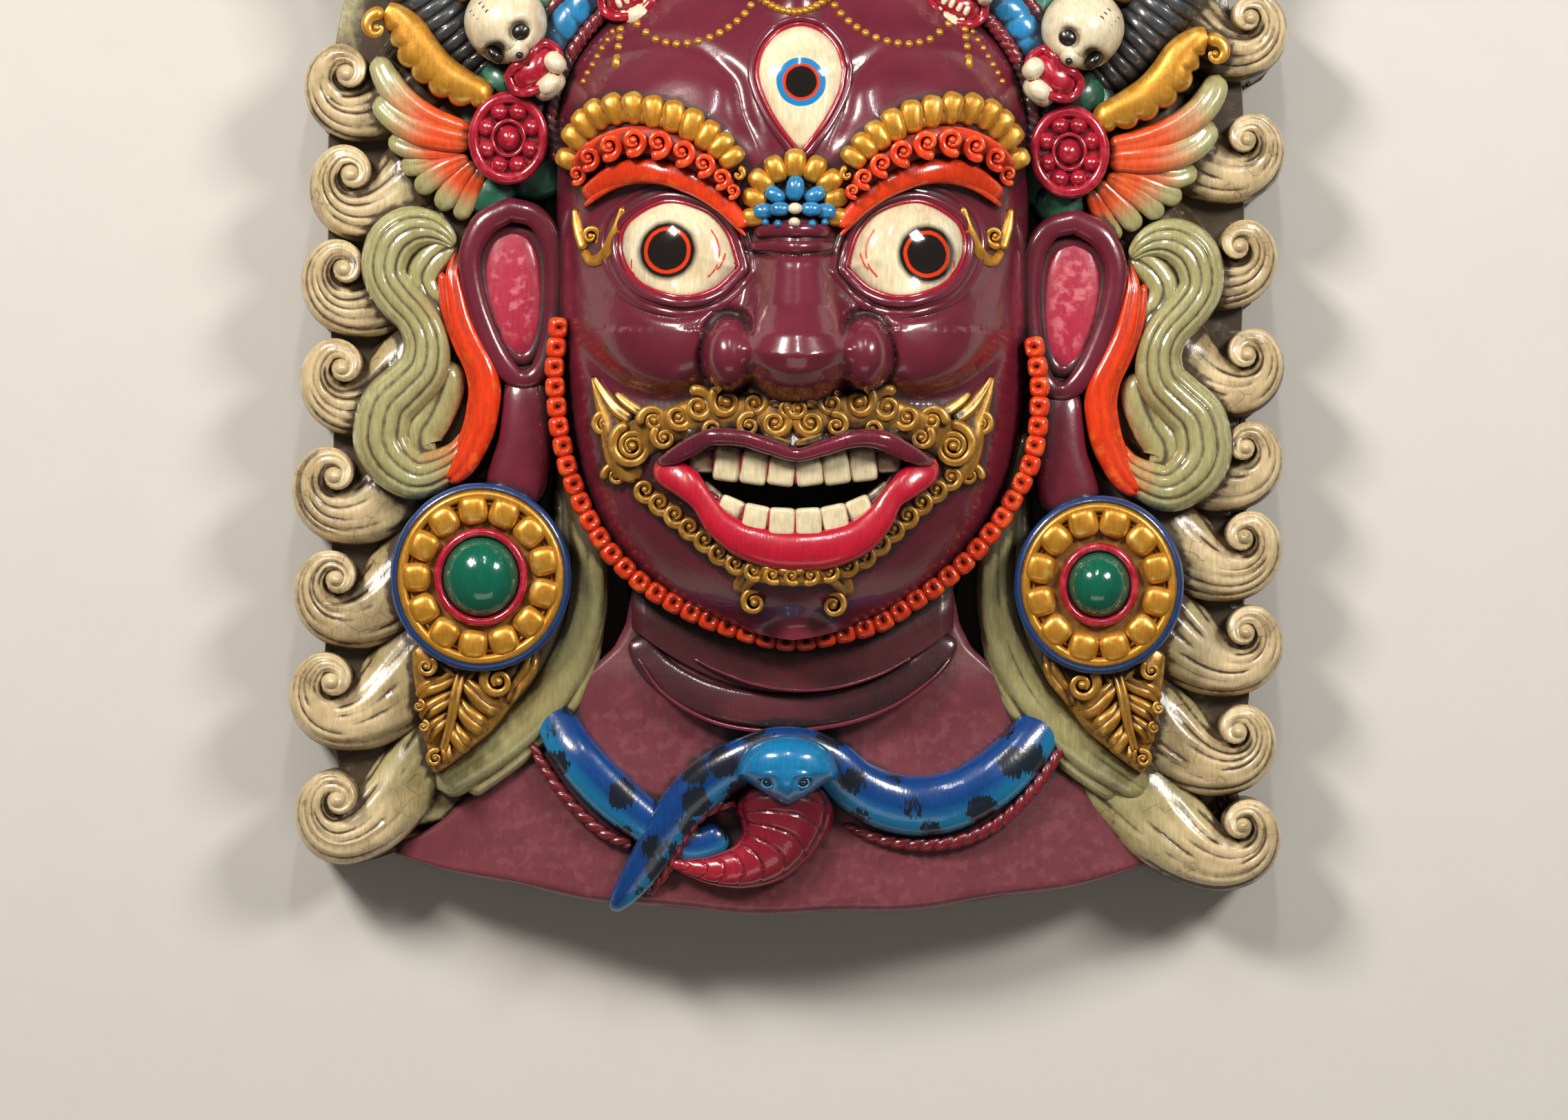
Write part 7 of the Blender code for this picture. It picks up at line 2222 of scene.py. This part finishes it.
@dataclass
class PatinaAndShade:
    """Where the antique wash settles, with painted shade in the recesses and between pieces, and
    where hands have rubbed it off.
    """

    cell: float = 1.0
    half: tuple[int, int] = (352, 476)
    fine_mm: int = 3
    broad_mm: int = 10
    fine_depth: float = 3.0
    fine_share: float = 0.7
    broad_from: float = 2.0
    broad_depth: float = 16.0
    broad_share: float = 0.45
    cut_share: float = 0.75
    wiped: float = 0.04
    proud_from: float = 0.6
    proud_depth: float = 2.0

    def surface(self, bodies: Sequence[bpy.types.Object]) -> Array:
        """The highest carving over each cell of a grid.

        Args:
            bodies: All visible pieces.

        Returns:
            Heights in millimetres, 0 where there is nothing.
        """
        wide, tall = 2 * self.half[0], 2 * self.half[1]
        flat, level = [], []
        weights = [(a / 4, b / 4, (4 - a - b) / 4) for a in range(5) for b in range(5 - a)]
        for body in bodies:
            mesh = body.data
            mesh.calc_loop_triangles()
            co = np.empty(len(mesh.vertices) * 3)
            mesh.vertices.foreach_get("co", co)
            tri = np.empty(len(mesh.loop_triangles) * 3, dtype=np.int32)
            mesh.loop_triangles.foreach_get("vertices", tri)
            corners = co.reshape(-1, 3)[tri.reshape(-1, 3)] / MM
            for a, b, c in weights:
                spot = corners[:, 0] * a + corners[:, 1] * b + corners[:, 2] * c
                u = np.clip((spot[:, 0] / self.cell + self.half[0]).astype(int), 0, wide - 1)
                v = np.clip((spot[:, 1] / self.cell + self.half[1]).astype(int), 0, tall - 1)
                flat.append(v * wide + u)
                level.append(spot[:, 2].astype(np.float32))
        place, height = np.concatenate(flat), np.concatenate(level)
        order = np.argsort(height, kind="stable")
        grid = np.zeros(wide * tall, dtype=np.float32)
        grid[place[order]] = height[order]
        return grid.reshape(tall, wide)

    def roof(self, grid: Array, radius: int = 14) -> Callable[[Array, Array], Array]:
        """The lowest carving around each place.

        Args:
            grid: The highest carving over each cell.
            radius: How far around, in cells.

        Returns:
            What gives that height under places in millimetres.
        """
        low = np.where(grid > 1, grid, 999.0)
        for axis in (0, 1):
            low = np.min([np.roll(low, k, axis=axis) for k in range(-radius, radius + 1)], axis=0)

        def at(x: Array, y: Array) -> Array:
            """Looks up the lowest carving near places.

            Args:
                x: Places across.
                y: Places up.

            Returns:
                Heights in millimetres.
            """
            u = np.clip((x / self.cell + self.half[0]).astype(int), 0, low.shape[1] - 1)
            v = np.clip((y / self.cell + self.half[1]).astype(int), 0, low.shape[0] - 1)
            return low[v, u]

        return at

    @staticmethod
    def blur(grid: Array, radius: int) -> Array:
        """Box blur, three times over.

        Args:
            grid: Values on the grid.
            radius: Reach of the box, in cells.

        Returns:
            The smoothed values.
        """
        out = grid.astype(float)
        for _ in range(3):
            for axis in (0, 1):
                pad = [(0, 0), (0, 0)]
                pad[axis] = (radius + 1, radius)
                total = np.cumsum(np.pad(out, pad, mode="edge"), axis=axis)
                size = 2 * radius + 1
                high = np.take(total, range(size, total.shape[axis]), axis=axis)
                low = np.take(total, range(0, total.shape[axis] - size), axis=axis)
                out = (high - low) / size
        return out

    def settle(self, bodies: Sequence[bpy.types.Object], grid: Array) -> None:
        """Writes the wash, which also paints shade in the recesses, and the rubbing to each vertex.

        Args:
            bodies: All visible pieces.
            grid: The highest carving over each cell.
        """
        there = (grid > 1).astype(float)
        levels = []
        for radius in (self.fine_mm, self.broad_mm):
            share = np.maximum(self.blur(there, radius), 0.05)
            levels.append(self.blur(grid * there, radius) / share)
        for body in bodies:
            mesh = body.data
            co = np.empty(len(mesh.vertices) * 3)
            mesh.vertices.foreach_get("co", co)
            spot = co.reshape(-1, 3) / MM
            u = np.clip((spot[:, 0] / self.cell + self.half[0]).astype(int), 0, grid.shape[1] - 1)
            v = np.clip((spot[:, 1] / self.cell + self.half[1]).astype(int), 0, grid.shape[0] - 1)
            fine = levels[0][v, u] - spot[:, 2]
            broad = levels[1][v, u] - spot[:, 2]
            cut = np.zeros(len(spot))
            if "cut" in mesh.attributes:
                mesh.attributes["cut"].data.foreach_get("value", cut)
            # Darker where a point lies below the carving around it and in its cuts: antique wash
            # and painted shade.
            hollow = np.clip(fine / self.fine_depth, 0, 1) * self.fine_share
            valley = np.clip((broad - self.broad_from) / self.broad_depth, 0, 1) * self.broad_share
            wash_and_shade = np.clip(hollow + valley + cut * self.cut_share - self.wiped, 0, 1)
            ridge = np.clip((-fine - self.proud_from) / self.proud_depth, 0, 1)
            proud = ridge * (1 - np.clip(cut * 2, 0, 1))
            for key, value in (("wash_and_shade", wash_and_shade), ("proud", proud)):
                layer = mesh.attributes.get(key) or mesh.attributes.new(key, "FLOAT", "POINT")
                layer.data.foreach_set("value", value.astype(np.float32))


@dataclass
class Studio:
    """A pale floor under soft light, and the eye straight over the mask."""

    eye: tuple[float, float, float] = (-3.1, -223.1, 3100.0)
    lens: float = 103.5
    sensor: float = 36.0
    far: float = 30.0
    paper: float = 12.0
    paper_rough: float = 0.9
    aim: tuple[float, float, float] = (0.0, -0.05, 0.1)
    room: float = 0.17

    def floor(self) -> None:
        """Lays a plain pale floor."""
        bpy.ops.mesh.primitive_plane_add(size=self.paper, location=(0, 0, 0))
        floor = bpy.context.object
        floor.name = "studio_floor"
        # Matt cotton paper: a faint tooth breaks up the even grey, and it has no sheen.
        paint = bpy.data.materials.new("pale_backdrop_paper")
        paint.use_nodes = True
        shader = paint.node_tree.nodes["Principled BSDF"]
        grain = add(paint.node_tree, "TexNoise", {"Scale": 1000 / PAPER_GRAIN_MM, "Detail": 3.0})
        tone = add(paint.node_tree, "MapRange", {0: grain.outputs[0], 3: 0.86, 4: 0.9})
        tint = add(paint.node_tree, "Mix", {0: 1.0, 6: linear("D9D6D0"), 7: tone.outputs[0]},
            data_type="RGBA", blend_type="MULTIPLY")
        paint.node_tree.links.new(tint.outputs[2], shader.inputs["Base Color"])
        shader.inputs["Roughness"].default_value = self.paper_rough
        floor.data.materials.append(paint)

    def lamp(self, name: str, place: Sequence[float], size: Sequence[float], power: float,
            tone: str) -> None:
        """Hangs a soft box that looks at the mask.

        Args:
            name: Its name.
            place: Where it hangs, in metres.
            size: Width and height in metres.
            power: Watts.
            tone: Its colour.
        """
        light = bpy.data.lights.new(name, "AREA")
        light.shape = "RECTANGLE"
        light.size, light.size_y = size
        light.energy = power
        light.color = linear(tone)[:3]
        lamp = bpy.data.objects.new(name, light)
        lamp.location = place
        lamp.rotation_euler = (Vector(self.aim) - Vector(place)).to_track_quat("-Z", "Y").to_euler()
        bpy.context.scene.collection.objects.link(lamp)

    def build(self) -> None:
        """Sets floor, light and eye."""
        self.floor()
        self.lamp("key_box", (-1.5, 1.5, 2.3), (0.55, 0.8), 86.0, "FFF8EE")
        self.lamp("fill_box", (1.7, 1.1, 2.2), (0.55, 0.8), 56.0, "FFFBF4")
        self.lamp("top_strip", (0.1, 1.9, 2.5), (0.16, 0.9), 16.0, "FFFFFF")
        self.lamp("low_fill", (0.0, -2.4, 2.2), (2.4, 0.8), 7.0, "FFF6EA")
        world = bpy.data.worlds.new("soft_room")
        world.use_nodes = True
        back = world.node_tree.nodes["Background"]
        back.inputs[0].default_value = linear("D0CAC4")
        back.inputs[1].default_value = self.room
        bpy.context.scene.world = world
        sight = bpy.data.cameras.new("eye")
        sight.lens, sight.sensor_width = self.lens, self.sensor
        sight.clip_end = self.far
        eye = bpy.data.objects.new("eye", sight)
        eye.location = Vector(self.eye) * MM
        bpy.context.scene.collection.objects.link(eye)
        bpy.context.scene.camera = eye
        view = bpy.context.scene.view_settings
        view.view_transform = "Standard"
        view.look = "None"


def pierce(face: bpy.types.Object, outline: Rows) -> None:
    """Cuts the mouth through the face.

    Args:
        face: The face.
        outline: Edge of the opening.
    """
    edge = smooth_path(np.vstack([np.array(outline, float), np.array(outline[0])]), 70)[:-1, :2]
    tool = Form("mouth_cutter", Finishes.BLACK)
    Form.made.remove(tool)
    rings = [np.column_stack([edge, np.full(len(edge), z)]) for z in (10.0, 260.0)]
    tool.loft(np.array(rings))
    cutter = tool.carve()
    select_only(face)
    cut = face.modifiers.new("mouth", "BOOLEAN")
    cut.operation, cut.object, cut.solver = "DIFFERENCE", cutter, "EXACT"
    bpy.ops.object.modifier_apply(modifier=cut.name)
    bpy.data.objects.remove(cutter)


def dress(body: bpy.types.Object, paint: bpy.types.Material, crease: float) -> None:
    """Smooths a piece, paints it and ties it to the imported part.

    Args:
        body: The piece.
        paint: Its finish.
        crease: Edges sharper than this many degrees stay sharp.
    """
    select_only(body)
    bpy.ops.object.shade_smooth_by_angle(angle=math.radians(crease))
    body.data.materials.clear()
    body.data.materials.append(paint)
    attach(body, "root")
    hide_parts(NODE)


def main() -> None:
    """Builds the mask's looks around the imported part, and the studio."""
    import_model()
    bpy.ops.object.select_all(action="DESELECT")
    head = Head()
    mouth = Mouth(head)
    face = head.build()
    left_disc = EarDisc(side=-1, x=-203.2, y=-231.2, radius=60.0, oval=1.045, count=13, stone=26.0)
    right_disc = EarDisc(side=1, x=208.3, y=-236.3, radius=56.3, oval=1.055, count=12, stone=21.2)
    for part in (Hair(), Sides(), left_disc, right_disc, Wings(), Crown(), Eyes(head),
            Brows(head), mouth, JawBeads(head), Bust(), Serpent()):
        part.build()
        LOG.info("carved %s", type(part).__name__)
    paints: dict[Any, bpy.types.Material] = {}
    bodies = []
    for form in Form.made:
        body = form.carve()
        if form is face:
            pierce(body, mouth.opening)
        bodies.append(body)
    patina_and_shade = PatinaAndShade()
    grid = patina_and_shade.surface(bodies)
    patina_and_shade.settle(bodies, grid)
    back = WoodBack().build(patina_and_shade.roof(grid))
    for form, body in zip(Form.made, bodies):
        finish = form.finish.value if isinstance(form.finish, Finishes) else form.finish
        if finish not in paints:
            paints[finish] = finish.material()
        dress(body, paints[finish], form.crease)
        LOG.info("%s: %d faces", body.name, len(body.data.polygons))
    dress(back, Finishes.WOOD.value.material(), 50.0)
    Studio().build()


if __name__ == "__main__":
    logging.basicConfig(level=logging.INFO, format="%(message)s")
    main()
